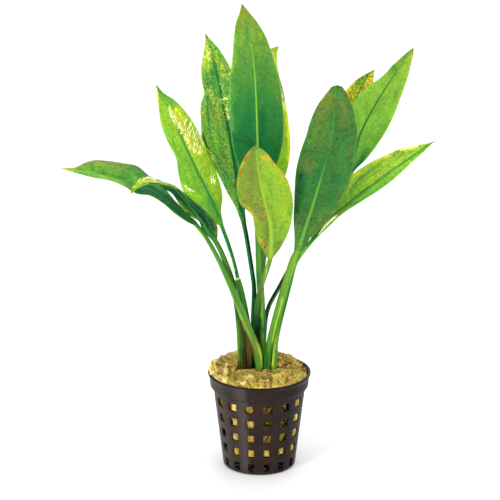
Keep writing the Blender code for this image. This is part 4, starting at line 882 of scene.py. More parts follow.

# Coloured regions, as strokes on the view sheet: colour, line, half-width, strength. Much of it is painted light and
# shade: the dark kinds (deep, bottle, ink, bark) mostly paint shade where leaves and stalks cover one another, cream,
# straw and pale mostly paint highlights, and fleck sets where the painted glints go.
STROKES = {
    "leaf_tall_centre": [
        ("fern", [(264, 96), (270, 116), (270, 140)], 11, 0.55), ("deep", [(247, 118), (246, 134), (250, 148)], 9, 0.8),
        ("deep", [(262, 112), (262, 136), (266, 156)], 5.5, 0.95), ("deep", [(268, 142), (274, 156)], 7, 0.8),
        ("deep", [(250, 92), (251, 112)], 5, 0.45), ("bottle", [(236, 141), (244, 142), (252, 147)], 2.2, 0.6),
        ("bottle", [(246, 136), (254, 145)], 1.6, 0.5), ("bottle", [(263, 120), (263, 134)], 2.0, 0.35),
        ("grass", [(236, 62), (234, 80), (233, 96)], 6, 0.5), ("grass", [(270, 66), (274, 84), (277, 96)], 6, 0.55),
        ("moss", [(266, 66), (272, 82)], 4, 0.5), ("moss", [(263, 34), (268, 46)], 3, 0.5),
        ("leaf", [(238, 30), (236, 48), (235, 64)], 4, 0.7), ("fresh", [(234.5, 34), (232.8, 56), (231.6, 72)], 2.4, 0.8),
        ("mint", [(231, 78), (231.5, 104), (233, 130)], 2.6, 0.8),
        ("grass", [(246, 20), (247, 34), (249, 50)], 3.6, 0.7), ("green", [(247, 27), (247, 33)], 2.0, 0.6),
        ("fresh", [(259, 31), (261, 38)], 2.4, 0.7), ("fresh", [(252, 30), (254, 40)], 3.4, 0.5),
        ("fresh", [(243, 36), (241, 44)], 3.4, 0.5), ("leaf", [(258, 48), (260, 60)], 4, 0.45),
        ("sage", [(241, 20), (243, 14), (249, 18)], 4.0, 0.9), ("olive", [(243, 10), (246, 15)], 2.0, 0.5), ("olive", [(242, 5), (242.6, 9)], 3.0, 0.9),
        ("sage", [(244, 9), (250, 15), (256, 21)], 1.8, 0.8), ("moss", [(256, 22), (262, 30), (266, 38)], 1.4, 0.6),
        ("lime", [(239, 14), (236.5, 20)], 1.4, 0.8),
        ("green", [(279, 74), (282, 88), (283, 104)], 2.4, 0.7), ("moss", [(275, 90), (279, 104)], 3.4, 0.4),
        ("bottle", [(280.6, 90), (280.2, 94)], 1.0, 0.8),
        # stalk
        ("green", [(257, 246), (256.6, 272)], 1.4, 0.9), ("leaf", [(260, 246), (260.2, 268), (260.4, 280)], 1.5, 0.8),
        ("bottle", [(262.8, 250), (262.7, 272)], 0.9, 0.8), ("deep", [(257.4, 272), (258.4, 284)], 1.5, 0.8),
        ("fresh", [(262, 290), (262.4, 312), (262.6, 326)], 1.7, 0.9), ("fern", [(258.4, 292), (258.6, 312)], 1.2, 0.8),
        ("bottle", [(260.2, 320), (260.4, 330)], 2.4, 0.95), ("ink", [(258.0, 328), (258.4, 338)], 2.2, 1.0),
        ("leaf", [(263, 334), (263.4, 346), (263.6, 356)], 1.8, 0.9), ("ink", [(266.2, 322), (266.8, 332)], 0.9, 0.8),
    ],
    "leaf_left_centre": [
        ("green", [(214, 66), (214, 80), (216, 92)], 6, 0.6), ("green", [(224, 78), (226, 92)], 4, 0.6),
        ("fern", [(206, 76), (208, 84)], 3.5, 0.5), ("fern", [(211, 70), (213, 76)], 3.0, 0.5),
        ("lime", [(207, 42), (208, 50), (207, 60)], 5.2, 0.8), ("lemon", [(207.6, 46), (208.4, 58)], 3.4, 0.75),
        ("cream", [(208, 51), (208.4, 57.5)], 1.9, 0.85), ("lime", [(213, 46), (217, 58)], 3.2, 0.7),
        ("moss", [(210, 44), (214, 56), (216, 62)], 2.6, 0.5), ("moss", [(218, 52), (223, 62)], 2.0, 0.5),
        ("lime", [(203, 62), (206, 72)], 3.0, 0.4), ("olive", [(206, 50), (204.5, 56)], 1.2, 0.4),
        ("lemon", [(215.5, 60.5), (218.4, 57)], 1.3, 0.6), ("lemon", [(204.6, 58), (203.2, 56)], 1.3, 0.6),
        ("moss", [(214, 60), (222, 72), (228, 84)], 4.0, 0.4), ("moss", [(206, 104), (210, 128)], 3.4, 0.4),
        ("speck", [(208, 44), (214, 60), (220, 72)], 10.0, 1.0), ("speck", [(208, 80), (212, 100)], 9.0, 0.7), ("speck", [(210, 110), (216, 130)], 9.0, 0.75),
        ("speck", [(220, 140), (226, 170)], 9.0, 0.6), ("speck", [(228, 76), (234, 110)], 5.0, 0.7),
        ("grass", [(212, 42), (219, 52), (225, 62)], 2.0, 0.8), ("gold", [(206.2, 39), (205.4, 43)], 1.3, 0.9),
        ("fern", [(205.6, 35), (208, 37)], 1.7, 0.9), ("fern", [(209, 44), (213, 52)], 1.2, 0.6),
        ("lime", [(208, 66), (212, 64)], 2.2, 0.7), ("lime", [(219, 69), (223, 66)], 2.2, 0.7), ("lime", [(222, 75.5), (225, 76)], 1.8, 0.8),
        ("moss", [(204, 88), (210, 90)], 2.4, 0.7), ("moss", [(202.6, 106), (202.6, 122)], 2.8, 0.7), ("olive", [(201.4, 104), (201.2, 118)], 1.0, 0.7), ("lime", [(203, 120), (205, 128)], 2.0, 0.35),
        ("olive", [(216, 94), (217, 98)], 2.6, 0.7), ("olive", [(213, 108), (218, 118)], 4.0, 0.45),
        ("lime", [(228.5, 94), (229.4, 98)], 1.8, 0.9), ("leaf", [(228.5, 102), (229, 110)], 1.4, 0.8),
        ("leaf", [(204, 128), (208, 140), (212, 154)], 4.0, 0.75), ("lime", [(205, 136), (209, 146), (214, 158)], 1.6, 0.7),
        ("fresh", [(215, 138), (217, 154)], 5.0, 0.8), ("moss", [(222, 150), (226, 168)], 5.0, 0.5),
        ("green", [(222, 170), (228, 184)], 5.0, 0.6), ("green", [(236, 140), (238, 156)], 3.0, 0.7),
        ("mint", [(234.5, 142), (236.5, 158)], 1.0, 0.7),
        ("fern", [(207.4, 96), (207.4, 110), (208.2, 122), (209.6, 132)], 1.5, 0.85),
        ("fern", [(212, 136), (216, 154), (222, 170)], 1.0, 0.5), ("fern", [(226, 172), (232, 186)], 1.2, 0.6),
        ("deep", [(214.4, 62), (217, 74), (219, 84), (221, 94), (223, 102)], 1.7, 0.95),
        ("deep", [(223, 102), (225.4, 112), (228, 126), (230.6, 140), (233, 156), (236, 172)], 2.0, 0.95),
        ("bottle", [(220, 88), (221.4, 97)], 1.3, 0.7), ("bottle", [(229.4, 128), (231.4, 142)], 1.3, 0.6),
        ("bottle", [(234, 156), (236.6, 168), (237.4, 178)], 2.2, 0.9), ("bottle", [(234, 184), (236, 190)], 1.6, 0.7),
        ("bottle", [(202, 135), (205.4, 143), (208, 149.6), (210.6, 154.4)], 2.6, 1.0), ("ink", [(203.4, 139.6), (206.4, 146), (208.8, 151)], 1.2, 0.85),
        ("fresh", [(231, 196), (236, 206), (240, 214)], 2.4, 0.6), ("fresh", [(228, 182), (231, 194)], 1.4, 0.5),
        ("fleck", [(208, 88), (212, 97), (213.4, 104)], 2.6, 0.34), ("fleck", [(219, 62), (224, 76)], 4.0, 0.34),
        ("fleck", [(204, 58), (209, 68)], 4.2, 0.34), ("fleck", [(222, 84), (223, 94)], 2.0, 0.25),
        ("fleck", [(214, 106), (218, 118), (219, 124)], 3.4, 0.28), ("fleck", [(222, 76), (228, 76)], 2.4, 0.35),
        ("fleck", [(226, 104), (228, 119)], 2.2, 0.5), ("fleck", [(221, 100), (226, 99)], 2.4, 0.6),
        ("fleck", [(209.4, 151), (212, 156), (214, 160)], 2.0, 0.8),
        # stalk
        ("deep", [(243, 222), (245, 236), (247.6, 252), (250.6, 268), (252.6, 284)], 1.5, 0.8),
        ("bottle", [(241.5, 208), (243, 216)], 2.0, 0.8),
        ("ink", [(244.6, 216), (246.8, 232), (249.6, 250), (252.8, 268), (254.6, 284), (255, 298)], 1.5, 1.0),
        ("deep", [(252.0, 296), (252.2, 310), (252.2, 322)], 1.5, 0.9), ("mint", [(251.2, 300), (251.0, 312)], 0.7, 0.8),
        ("bottle", [(254.6, 302), (254.6, 330)], 1.7, 0.95), ("ink", [(254.6, 330), (254.6, 344)], 3.0, 0.95),
    ],
    "leaf_left": [
        ("lime", [(163, 104), (168, 118), (173, 130), (178, 142)], 5.4, 0.75), ("leaf", [(174, 146), (180, 156), (188, 168)], 4.4, 0.55),
        ("fresh", [(168, 130), (178, 148)], 4.0, 0.5), ("fresh", [(184, 162), (190, 178), (198, 190)], 7.0, 0.65),
        ("grass", [(179, 166), (181, 186)], 2.8, 0.45), ("grass", [(186, 158), (193, 174), (202, 192)], 1.6, 0.35),
        ("grass", [(161, 90), (166, 98), (174, 106)], 3.0, 0.7), ("fern", [(156.8, 86.5), (160, 91)], 1.6, 0.9),
        ("lemon", [(156.6, 89), (157.4, 94), (158.6, 100)], 1.3, 0.95), ("fern", [(162, 94), (170, 97.6), (180, 105)], 1.0, 0.6),
        ("lime", [(180, 110), (188, 120), (196, 130)], 4.0, 0.8), ("olive", [(184, 112), (194, 124)], 1.2, 0.4),
        ("lime", [(190, 146), (198, 158), (206, 174)], 7.5, 0.9), ("lemon", [(176, 110), (181, 118)], 3.6, 0.85),
        ("lemon", [(187, 137), (190, 148)], 3.0, 0.75), ("lemon", [(194, 150), (199, 154)], 3.2, 0.6),
        ("lemon", [(202, 141), (203.5, 146)], 1.8, 0.9), ("cream", [(170, 108.5), (172.4, 116), (176, 123)], 1.8, 0.95),
        ("cream", [(179.4, 122), (181.6, 129)], 1.8, 0.8), ("gold", [(176, 113), (180, 117)], 1.6, 0.5),
        ("fresh", [(200, 182), (208, 196)], 6.0, 0.7), ("lime", [(205, 178), (214, 190), (219, 200)], 4.0, 0.8),
        ("lime", [(184, 186), (190, 194), (200, 198)], 4.4, 0.75), ("grass", [(208, 200), (214, 210), (220, 222)], 4.0, 0.5),
        ("green", [(210, 196), (216, 208), (220, 220)], 1.8, 0.8), ("mint", [(164, 100), (172, 112), (180, 132)], 1.0, 0.8),
        ("green", [(179, 131), (186, 148), (192, 160), (199, 176)], 1.5, 0.7), ("mint", [(199, 176), (206, 190), (212, 202)], 1.6, 0.7),
        ("gold", [(180, 120), (188, 134), (197, 150)], 6.0, 0.45), ("moss", [(188, 124), (194, 134), (198, 144)], 4.0, 0.30),
        ("fleck", [(170, 108), (173.6, 117), (178, 126)], 2.6, 0.8), ("fleck", [(178, 124), (183, 134), (187, 141)], 3.2, 0.75),
        ("fleck", [(188, 122), (193, 135), (198, 150)], 5.4, 0.62), ("fleck", [(196, 128), (202, 140)], 3.0, 0.6),
        ("fleck", [(184, 128), (190, 144), (194, 150)], 3.6, 0.55), ("fleck", [(210.6, 178), (214.6, 183)], 3.0, 0.9), ("cream", [(211, 178.6), (215, 184)], 1.2, 0.8),
        ("fleck", [(186, 188), (192.6, 191.4)], 2.8, 0.9), ("cream", [(188, 189.4), (192, 191)], 1.2, 0.7),
        ("fern", [(206.6, 184), (214, 198), (217, 210)], 0.8, 0.5), ("moss", [(186, 194), (196, 206)], 2.6, 0.5),
        ("fern", [(216, 226), (219, 232)], 2.0, 0.8),
        # stalk
        ("deep", [(222.4, 230), (228, 243), (233, 257), (237, 272)], 1.4, 0.9), ("bottle", [(229.6, 243), (234.6, 258), (238, 272)], 0.8, 0.8),
        ("cream", [(228.6, 251), (232.2, 263), (234.6, 272)], 0.8, 0.9), ("fresh", [(223, 240), (226.6, 248)], 0.8, 0.7),
        ("bark", [(244.8, 328), (245.8, 345), (246, 364)], 3.2, 0.95), ("rust", [(247.4, 346), (248.6, 360)], 0.7, 0.7),
    ],
    "leaf_back_centre": [
        ("straw", [(272, 52), (274.6, 60), (277, 70)], 2.6, 0.30), ("straw", [(276.4, 60), (277.4, 70), (278.6, 76)], 0.9, 0.5),
        ("olive", [(271, 49), (275, 47.6), (278.6, 46.6)], 1.1, 0.7),
        ("lime+", [(286, 100), (289, 130), (290, 160)], 3.4, 0.85), ("lemon+", [(288, 122), (290, 140), (289, 160)], 3.0, 0.6), ("lemon+", [(287.4, 112), (289.6, 130), (290, 150)], 2.0, 0.7), ("moss", [(278.2, 73), (281.4, 84), (284, 94), (285.6, 101)], 2.4, 0.85), ("brown", [(277.8, 74), (279.2, 79)], 0.9, 0.7),
        ("fresh+", [(284, 150), (282, 168), (281, 182)], 4.0, 0.7), ("olive", [(287, 100), (288, 116)], 1.0, 0.5),
        ("lime+", [(289, 134), (290, 150)], 2.0, 0.5),
        ("dots", [(280, 76), (283, 86), (285.6, 98), (287, 110)], 3.4, 1.0), ("speck", [(281, 80), (286, 104), (288, 116)], 3.0, 1.0),
        ("fleck", [(281, 90), (284, 100), (284.4, 108)], 1.6, 0.8), ("cream", [(283.4, 104), (284.2, 109)], 1.0, 0.9),
        ("bottle", [(264.6, 284), (264.2, 300), (264.6, 318)], 1.4, 0.9), ("ink", [(265.6, 290), (265.6, 325)], 0.9, 0.7),
    ],
    "leaf_front_small": [
        ("lime", [(276, 196), (282, 210), (284, 222)], 8.0, 0.7), ("fresh", [(266, 168), (272, 190), (278, 214)], 5.0, 0.45),
        ("lime", [(268, 164), (276, 180), (286, 196)], 4.5, 0.7),
        ("moss", [(252, 154), (252, 170), (250, 186)], 5.0, 0.5), ("moss", [(258, 168), (259, 184), (261, 196)], 3.0, 0.5),
        ("moss", [(251, 146), (258, 147.4)], 2.6, 0.9), ("fern", [(250, 147), (254, 147.6)], 1.6, 0.6),
        ("sage", [(246, 186), (250, 202), (256, 216)], 8.0, 0.7), ("olive", [(243, 192), (246, 204)], 3.0, 0.4),
        ("brown", [(250, 192), (251, 200)], 3.0, 0.25), ("brown", [(258, 200), (262, 212), (265, 222)], 2.4, 0.25),
        ("brown", [(243, 200), (245, 203)], 1.8, 0.5), ("moss", [(266, 228), (267, 242)], 2.4, 0.8),
        ("fern", [(267, 196), (267.6, 210), (268, 238)], 1.4, 0.5), ("moss", [(259, 206), (262, 220)], 2.4, 0.5),
        ("leaf", [(277, 236), (276, 246), (274, 254)], 4.2, 0.75), ("moss", [(281, 240), (278, 249)], 2.6, 0.7),
        ("fresh", [(259, 228), (260, 238)], 4.0, 0.6), ("lime", [(252, 214), (258, 222)], 3.2, 0.7),
        ("leaf", [(268, 180), (272, 196)], 3.0, 0.5), ("grass", [(275, 228), (272, 216), (270, 204)], 2.2, 0.45),
        ("grass", [(280, 230), (286, 222)], 3.0, 0.5), ("grass", [(288, 216), (291, 204)], 1.6, 0.5),
        ("pale", [(258, 170), (260.6, 182), (262.8, 192), (265.6, 203)], 0.9, 0.75),
        ("orange", [(250, 151.6), (246.4, 156.6)], 1.6, 0.85), ("orange", [(246, 157.4), (243.6, 161)], 2.0, 0.95),
        ("rust", [(245.2, 158.4), (244.6, 160)], 1.1, 0.7), ("gold", [(243, 163), (241.6, 167)], 2.2, 0.95),
        ("orange", [(240.8, 171), (240, 173.6)], 2.0, 0.95), ("gold", [(239, 178), (237.6, 186)], 1.1, 0.6),
        ("gold", [(263, 157), (266, 159)], 3.0, 0.95), ("lemon", [(262.6, 158)], 2.0, 0.8), ("gold", [(266, 154.6), (272, 161)], 1.8, 0.85),
        ("orange", [(271, 161), (275, 164.4)], 1.5, 0.85), ("gold", [(275, 165), (281.4, 172)], 2.0, 0.95),
        ("gold", [(282, 176), (285, 180)], 2.2, 0.95), ("lemon", [(283, 177)], 1.8, 0.7), ("gold", [(286, 183), (291, 192)], 1.3, 0.8),
        ("gold", [(244, 204), (250, 209), (255, 218)], 1.2, 0.85), ("lemon", [(247, 208), (253, 214)], 1.0, 0.6),
        ("orange", [(262, 215.4), (263.6, 216)], 2.2, 0.8), ("orange", [(264, 244.6), (266, 247)], 2.4, 0.9), ("gold", [(259.6, 238), (263, 244)], 2.2, 0.7),
        ("lime", [(270.4, 216), (271.4, 230), (271.8, 246)], 1.7, 0.8), ("lemon", [(271.0, 222), (271.8, 240)], 1.0, 0.7),
        ("fresh", [(277, 240), (282, 234)], 0.9, 0.9), ("fresh", [(283, 228), (288, 221)], 0.9, 0.8), ("grass", [(290, 214), (292, 204)], 1.4, 0.5),
        ("speck", [(250, 176), (252, 200), (258, 216)], 9.0, 0.75), ("speck", [(262, 206), (265, 226), (264, 244)], 4.5, 1.0),
        ("speck", [(254, 156), (254, 172)], 6.0, 0.45), ("speck", [(278, 240), (276, 250)], 4.0, 0.6),
        ("dots", [(250, 186), (256, 206)], 8.0, 0.30), ("dots", [(262, 200), (265, 228)], 3.6, 0.65), ("dots", [(263, 238), (265, 248)], 3.0, 0.8),
        ("dots", [(272, 190), (276, 214)], 5.0, 0.22), ("dots", [(278, 244)], 3.0, 0.5),
        # stalk
        ("lime", [(267, 262), (266, 272)], 1.6, 0.5), ("straw", [(267.6, 268), (265.4, 277), (263.4, 287)], 0.6, 0.8),
        ("moss", [(264.4, 262), (263.4, 272)], 1.3, 0.8), ("fern", [(259, 286), (256.4, 298), (255.8, 306)], 1.6, 0.5),
        ("mint", [(254.4, 300), (254.0, 312)], 0.8, 0.5), ("bottle", [(256.6, 316), (256.4, 326)], 2.2, 0.95), ("ink", [(256.8, 328), (257.4, 345)], 3.0, 1.0),
    ],
    "leaf_right_front": [
        ("moss", [(328, 96), (326, 112), (322, 124)], 7.0, 0.7), ("olive", [(331, 96), (329, 106)], 3.4, 0.55),
        ("moss", [(341, 96), (345, 112), (346, 124)], 6.0, 0.55), ("green", [(336, 88), (337, 96)], 3.6, 0.6),
        ("green", [(313, 124), (312, 148)], 4.0, 0.45), ("green", [(322, 122), (324, 132)], 3.4, 0.55),
        ("green", [(342, 140), (344, 168)], 6.0, 0.55), ("deep", [(336, 178), (334, 192), (328, 200)], 6.0, 0.45),
        ("moss", [(306, 156), (312, 164)], 5.0, 0.35), ("olive", [(312.6, 159), (314.6, 167)], 2.6, 0.4), ("olive", [(302, 167), (308, 169)], 2.4, 0.25),
        ("moss", [(316, 112), (314, 132), (310, 146)], 5.0, 0.45), ("moss", [(326, 128), (322, 140)], 4.0, 0.4), ("olive", [(327, 92), (323, 104), (318, 116)], 3.0, 0.45),
        ("olive", [(341, 104), (346, 110)], 2.6, 0.4), ("fern", [(334.6, 120), (332.6, 134), (330.4, 146)], 0.8, 0.8),
        ("moss", [(302, 164), (310, 170)], 5.0, 0.25), ("gold", [(322, 97.4), (325, 95)], 1.3, 0.9), ("gold", [(320.6, 100), (323, 98)], 1.2, 0.5),
        ("bottle", [(300.6, 174), (299.6, 184), (297.6, 200), (297, 212)], 3.4, 0.8), ("ink", [(295.4, 190), (295.0, 208)], 1.0, 0.35),
        ("deep", [(302, 180), (301, 198)], 3.4, 0.6), ("deep", [(316, 186), (313, 198)], 2.6, 0.5),
        ("fern", [(331, 108), (331.6, 132), (327.6, 152)], 1.4, 0.6), ("mint", [(334, 112), (333.4, 128), (331, 142)], 1.2, 0.65),
        ("moss", [(298, 218), (299, 232), (297, 244)], 3.6, 0.6), ("green", [(295, 222), (294.4, 244)], 1.5, 0.7),
        ("moss", [(324, 212), (318, 224), (310, 232)], 3.0, 0.75), ("brown", [(326, 218), (320, 226)], 1.3, 0.6),
        ("rust", [(339.4, 189), (337.6, 192.4), (335.6, 196)], 0.9, 0.9), ("grass", [(345, 186), (342, 200), (334, 212)], 2.4, 0.5),
        ("moss", [(350, 172), (349, 186), (344, 198)], 1.8, 0.5), ("grass", [(310, 178), (308, 190)], 3.0, 0.4),
        ("speck", [(322, 104), (320, 128), (318, 146)], 9.0, 0.8), ("speck", [(338, 104), (344, 124)], 8.0, 0.7), ("speck", [(306, 164), (310, 172)], 7.0, 1.0),
        ("speck", [(330, 110), (332, 150)], 6.0, 0.4),
        ("speck", [(302, 214), (300, 226)], 5.0, 0.6), ("speck", [(350, 148), (349, 160)], 2.6, 0.9), ("speck", [(308, 132), (312, 140)], 4.0, 0.6),
        ("speck", [(332, 210), (322, 222)], 4.0, 0.6), ("dots", [(302, 164), (308, 176)], 6.0, 0.5), ("dots", [(318, 128), (330, 122)], 10.0, 0.16),
        # stalk
        ("lime", [(297, 252), (292, 266), (287, 282)], 1.4, 0.55), ("grass", [(291, 254), (286.6, 266), (280, 286)], 1.1, 0.8),
        ("bottle", [(263.9, 352), (263.6, 364)], 0.6, 0.5), ("fern", [(267, 344), (265.8, 366)], 1.7, 0.85), ("bottle", [(267.6, 352), (267.2, 366)], 1.2, 0.75),
        ("mint", [(264.2, 350), (264.0, 366)], 0.8, 0.7), ("lime+", [(282.4, 298), (279.2, 313), (276.2, 323), (274.4, 332), (272.9, 341)], 1.5, 0.70), ("lime+", [(276.4, 322), (274.2, 333), (272.5, 343)], 1.0, 0.45), ("leaf", [(267, 336), (265, 346)], 1.3, 0.7),
    ],
    "leaf_right_spotted": [
        ("gold", [(347, 92), (351, 98)], 4.0, 0.9), ("gold", [(366, 84), (370, 78)], 4.0, 0.9), ("gold", [(351, 84), (358, 79)], 1.6, 0.6), ("moss", [(354, 86), (360, 82), (366, 76)], 3.0, 0.35),
        ("lemon", [(368, 82), (370, 80)], 2.2, 0.6), ("grass", [(357, 84), (361, 80), (367, 75)], 3.2, 0.65), ("green", [(360, 81), (366, 75.6)], 1.6, 0.5), ("lemon", [(348.6, 89), (353.6, 83)], 2.2, 0.7), ("gold", [(369.6, 80.6), (371, 76.4)], 2.0, 0.8),
        ("green", [(366, 75), (371, 72)], 1.6, 0.7), ("lime", [(352, 92), (358, 88)], 2.4, 0.5), ("bark", [(372, 71), (374, 70)], 1.2, 0.9),
        ("mint", [(356, 98), (360.6, 89), (364, 82), (366, 79)], 1.3, 0.9), ("orange", [(364.4, 86.6), (361.4, 92)], 1.4, 0.6),
        ("orange", [(348, 96), (352, 100)], 2.0, 0.5), ("brown", [(350, 85), (360, 78), (370, 73)], 1.0, 0.5),
        ("dots", [(346, 92), (356, 88), (368, 78)], 14.0, 1.0), ("speck", [(350, 86), (360, 78)], 3.0, 0.5),
        ("ink", [(276, 308), (284, 294)], 1.6, 0.3),
    ],
    "leaf_right_long": [
        ("leaf", [(380, 124), (370, 142), (362, 156)], 8.0, 0.35), ("grass", [(388, 122), (378, 140), (370, 152)], 4.0, 0.55),
        ("green", [(366, 152), (360, 162), (354, 170)], 5.0, 0.9), ("deep", [(364, 158), (357, 166), (353, 171)], 2.4, 0.95), ("bottle", [(362, 163), (356, 168.6)], 1.2, 0.9),
        ("green", [(356, 140), (354, 150), (352, 164)], 2.6, 0.8), ("mint", [(360, 136), (357, 146), (355, 158)], 1.6, 0.7),
        ("fresh", [(362, 100), (366, 110)], 5.0, 0.7), ("leaf", [(356, 112), (358, 126)], 3.0, 0.6), ("leaf", [(368, 106), (366, 118)], 3.0, 0.5),
        ("fresh", [(378, 86), (384, 82)], 5.0, 0.6), ("grass", [(392, 72), (394, 66)], 3.6, 0.7), ("green", [(394, 66), (396, 70)], 2.4, 0.5),
        ("moss", [(392, 70), (400, 62), (408, 54)], 1.8, 0.6), ("gold", [(394, 61.6), (397, 60.2)], 1.2, 0.95), ("moss", [(397, 60), (406, 54), (412, 49)], 1.0, 0.6),
        ("gold", [(412, 58), (413, 53)], 1.1, 0.8), ("lime", [(410, 62), (408, 70)], 1.6, 0.7), ("fresh", [(402, 78), (400, 92)], 4.0, 0.6),
        ("moss", [(398, 72), (392, 80)], 2.6, 0.5), ("moss", [(412, 50), (413, 53)], 1.6, 0.7), ("moss", [(396, 92), (395, 100)], 2.6, 0.4),
        ("grass", [(386, 96), (380, 104), (376, 112)], 3.0, 0.3), ("fern", [(404, 62), (400, 68)], 1.6, 0.4),
        # stalk
        ("ink", [(283.6, 278), (275.6, 291), (269, 303), (266, 310)], 1.0, 1.0), ("grass", [(283, 284), (276.6, 295), (270, 306)], 0.9, 0.9),
        ("ink", [(300, 248), (290, 264)], 1.2, 0.5), ("fern", [(266.4, 312), (265.8, 322)], 1.2, 0.6),
    ],
    "leaf_right_low": [
        ("lime", [(356, 176), (368, 168), (384, 160)], 4.0, 0.75), ("lemon", [(356, 174), (360, 173)], 2.4, 0.6),
        ("lemon", [(374, 162), (382, 158.6)], 1.8, 0.7), ("lemon", [(384, 157), (390, 155)], 2.0, 0.85), ("cream", [(387, 156), (388, 156.4)], 1.2, 0.5),
        ("lemon", [(401, 149.4), (406, 147.6), (412, 147)], 2.2, 1.0), ("cream+", [(403, 149.4), (408, 147.4), (413, 146.4), (418, 145.6)], 1.4, 0.75),
        ("lemon", [(412, 149), (419, 147.6)], 1.4, 0.6), ("lime", [(420, 147.6), (426, 145.4)], 2.6, 0.8), ("gold", [(423, 144.8), (428, 143.6)], 0.9, 0.7),
        ("fresh", [(396, 156), (404, 152)], 3.4, 0.5), ("moss", [(394, 154.6), (399, 151.6)], 1.6, 0.7), ("moss", [(398, 157), (404, 153)], 2.4, 0.5),
        ("fresh", [(344, 198), (354, 190), (366, 180)], 4.4, 0.6), ("lime", [(370, 176), (382, 168)], 5.0, 0.5), ("lime", [(362, 188), (372, 180)], 3.4, 0.5), ("grass", [(353, 186), (360, 178), (372, 170)], 1.6, 0.7),
        ("fern", [(350, 190), (358, 181), (368, 172), (380, 165)], 0.9, 0.8), ("moss", [(350, 196), (352, 192)], 2.4, 0.6),
        ("green", [(352, 206), (362, 200), (374, 194)], 3.0, 0.7), ("grass", [(376, 190), (390, 180), (400, 171)], 2.4, 0.6), ("grass", [(354, 198), (366, 192)], 3.0, 0.45),
        ("fern", [(340, 211), (350, 203), (358, 197), (366, 190), (376, 183), (384, 177), (394, 169), (402, 164)], 0.9, 0.8),
        ("green", [(404, 163), (412, 157), (420, 151), (428, 145)], 1.2, 0.8), ("fern", [(424, 147.4), (430, 144.4)], 1.0, 0.7),
        ("lemon", [(410, 164), (416, 159.4), (422, 153.6)], 0.9, 0.9), ("lime", [(406, 164), (412, 159.6)], 1.8, 0.6), ("gold", [(406.6, 163), (408, 162)], 1.0, 0.6),
        ("moss", [(380, 190), (392, 180), (398, 174.6)], 0.8, 0.7), ("gold", [(398, 175.4), (394, 178.4)], 0.7, 0.5),
        ("grass", [(330, 214), (338, 206), (346, 198)], 3.0, 0.6), ("leaf", [(340, 206), (348, 198)], 2.4, 0.5),
        ("straw+", [(336.6, 215.6), (330, 220.8), (323, 227), (317, 234)], 2.0, 0.95), ("cream+++", [(334.4, 217.6), (330, 221.2), (324, 227), (319, 233)], 1.5, 1.0),
        ("speck", [(362, 168), (376, 160), (392, 153)], 4.0, 0.9), ("speck", [(352, 178), (364, 170)], 5.0, 0.6), ("straw", [(344, 188), (352, 180)], 2.4, 0.4),
        ("lime", [(338, 215.6), (328, 225), (320, 234)], 0.7, 0.7),
        ("green", [(322, 227), (314, 236), (306, 245)], 1.5, 0.9), ("bottle", [(320, 231), (312, 240), (306, 245.4)], 0.9, 0.8),
        ("leaf", [(316, 240), (308, 248), (300, 256)], 1.4, 0.9), 
        # stalk
        ("fern", [(300, 256), (295.6, 268), (290.6, 284), (286.6, 300), (283, 314), (280.4, 326)], 1.3, 0.8),
        ("bottle", [(294, 276), (289.6, 292), (286, 306), (283.4, 316)], 1.0, 0.9), ("lime", [(297.6, 254), (294, 266), (289, 280), (284.6, 296), (280, 314), (276, 332)], 1.1, 0.8),
        ("pale", [(275.0, 335), (273.5, 350), (272.6, 366)], 1.9, 0.95), ("lemon+", [(274.2, 339), (273.2, 352), (272.4, 366)], 1.1, 0.5), ("leaf", [(278, 336), (276.4, 350), (275.6, 366)], 1.3, 0.8),
        ("fern", [(280.6, 322), (278.6, 336)], 0.9, 0.8), ("fern", [(276.8, 350), (276.6, 366)], 0.6, 0.7),
    ],
    "leaf_far_left": [
        ("moss", [(82, 164), (94, 161), (112, 161.6), (128, 164)], 3.2, 0.9), ("olive", [(90, 161.4), (108, 161.2), (124, 163.4)], 1.6, 0.6), ("brown", [(96, 161), (112, 161.2), (120, 162.6)], 0.8, 0.5),
        ("moss", [(98, 166), (112, 168), (124, 171)], 2.6, 0.5), ("olive", [(86, 163), (96, 162.4)], 1.6, 0.5), ("olive", [(100, 180), (114, 184)], 0.9, 0.6),
        ("grass", [(88, 168), (104, 170), (120, 174), (132, 180)], 4.0, 0.45), ("fern", [(96, 172), (112, 175), (126, 179)], 1.0, 0.7),
        ("fresh", [(86, 171.4), (98, 174), (110, 177.6), (122, 181.4)], 1.2, 0.75), ("olive", [(92, 174), (98, 175)], 1.1, 0.5),
        ("leaf", [(108, 180), (118, 183), (128, 188)], 2.2, 0.8), ("mint", [(76, 171.4), (90, 174.6), (104, 178.6)], 1.0, 0.7),
        ("fern", [(70, 171.4), (82, 173.8), (92, 176)], 0.7, 0.8), ("moss", [(96, 178), (112, 182), (124, 186)], 0.7, 0.7),
        ("lime", [(64, 169), (70, 169.4), (76, 168.4)], 1.4, 0.9), ("olive", [(70, 168), (78, 167)], 0.9, 0.7), ("moss", [(120, 165), (132, 167), (140, 172)], 1.6, 0.6),
        ("leaf", [(130, 172), (136, 180)], 3.6, 0.5), ("grass", [(140, 175), (148, 178)], 2.6, 0.6),
        ("bottle", [(136, 188), (150, 191), (164, 198), (178, 210), (190, 220)], 6.5, 0.6), ("ink", [(144, 185), (152, 188), (160, 193), (168, 198.6), (176, 204.6), (184, 211.6)], 0.8, 0.8), ("bottle", [(166, 196), (178, 206), (190, 216), (200, 226)], 1.8, 0.95),
        ("deep", [(160, 200), (172, 210), (184, 219), (196, 226)], 2.6, 0.6), ("fern", [(150, 193), (164, 204), (176, 214), (188, 221)], 2.0, 0.5),
        ("ink", [(160, 193), (170, 200), (180, 208)], 0.9, 0.5),
        ("speck", [(84, 163), (100, 161), (126, 164)], 5.0, 1.0), ("sage", [(96, 164), (112, 165), (126, 168)], 3.0, 0.45), ("speck", [(100, 167), (124, 170)], 4.0, 0.5), ("speck", [(64, 169), (80, 168)], 2.4, 0.6),
        # stalk
        ("leaf", [(196, 228), (206, 242), (216, 260), (226, 282), (234, 302)], 1.7, 0.8), ("fresh", [(198, 229), (206, 240)], 0.8, 0.7),
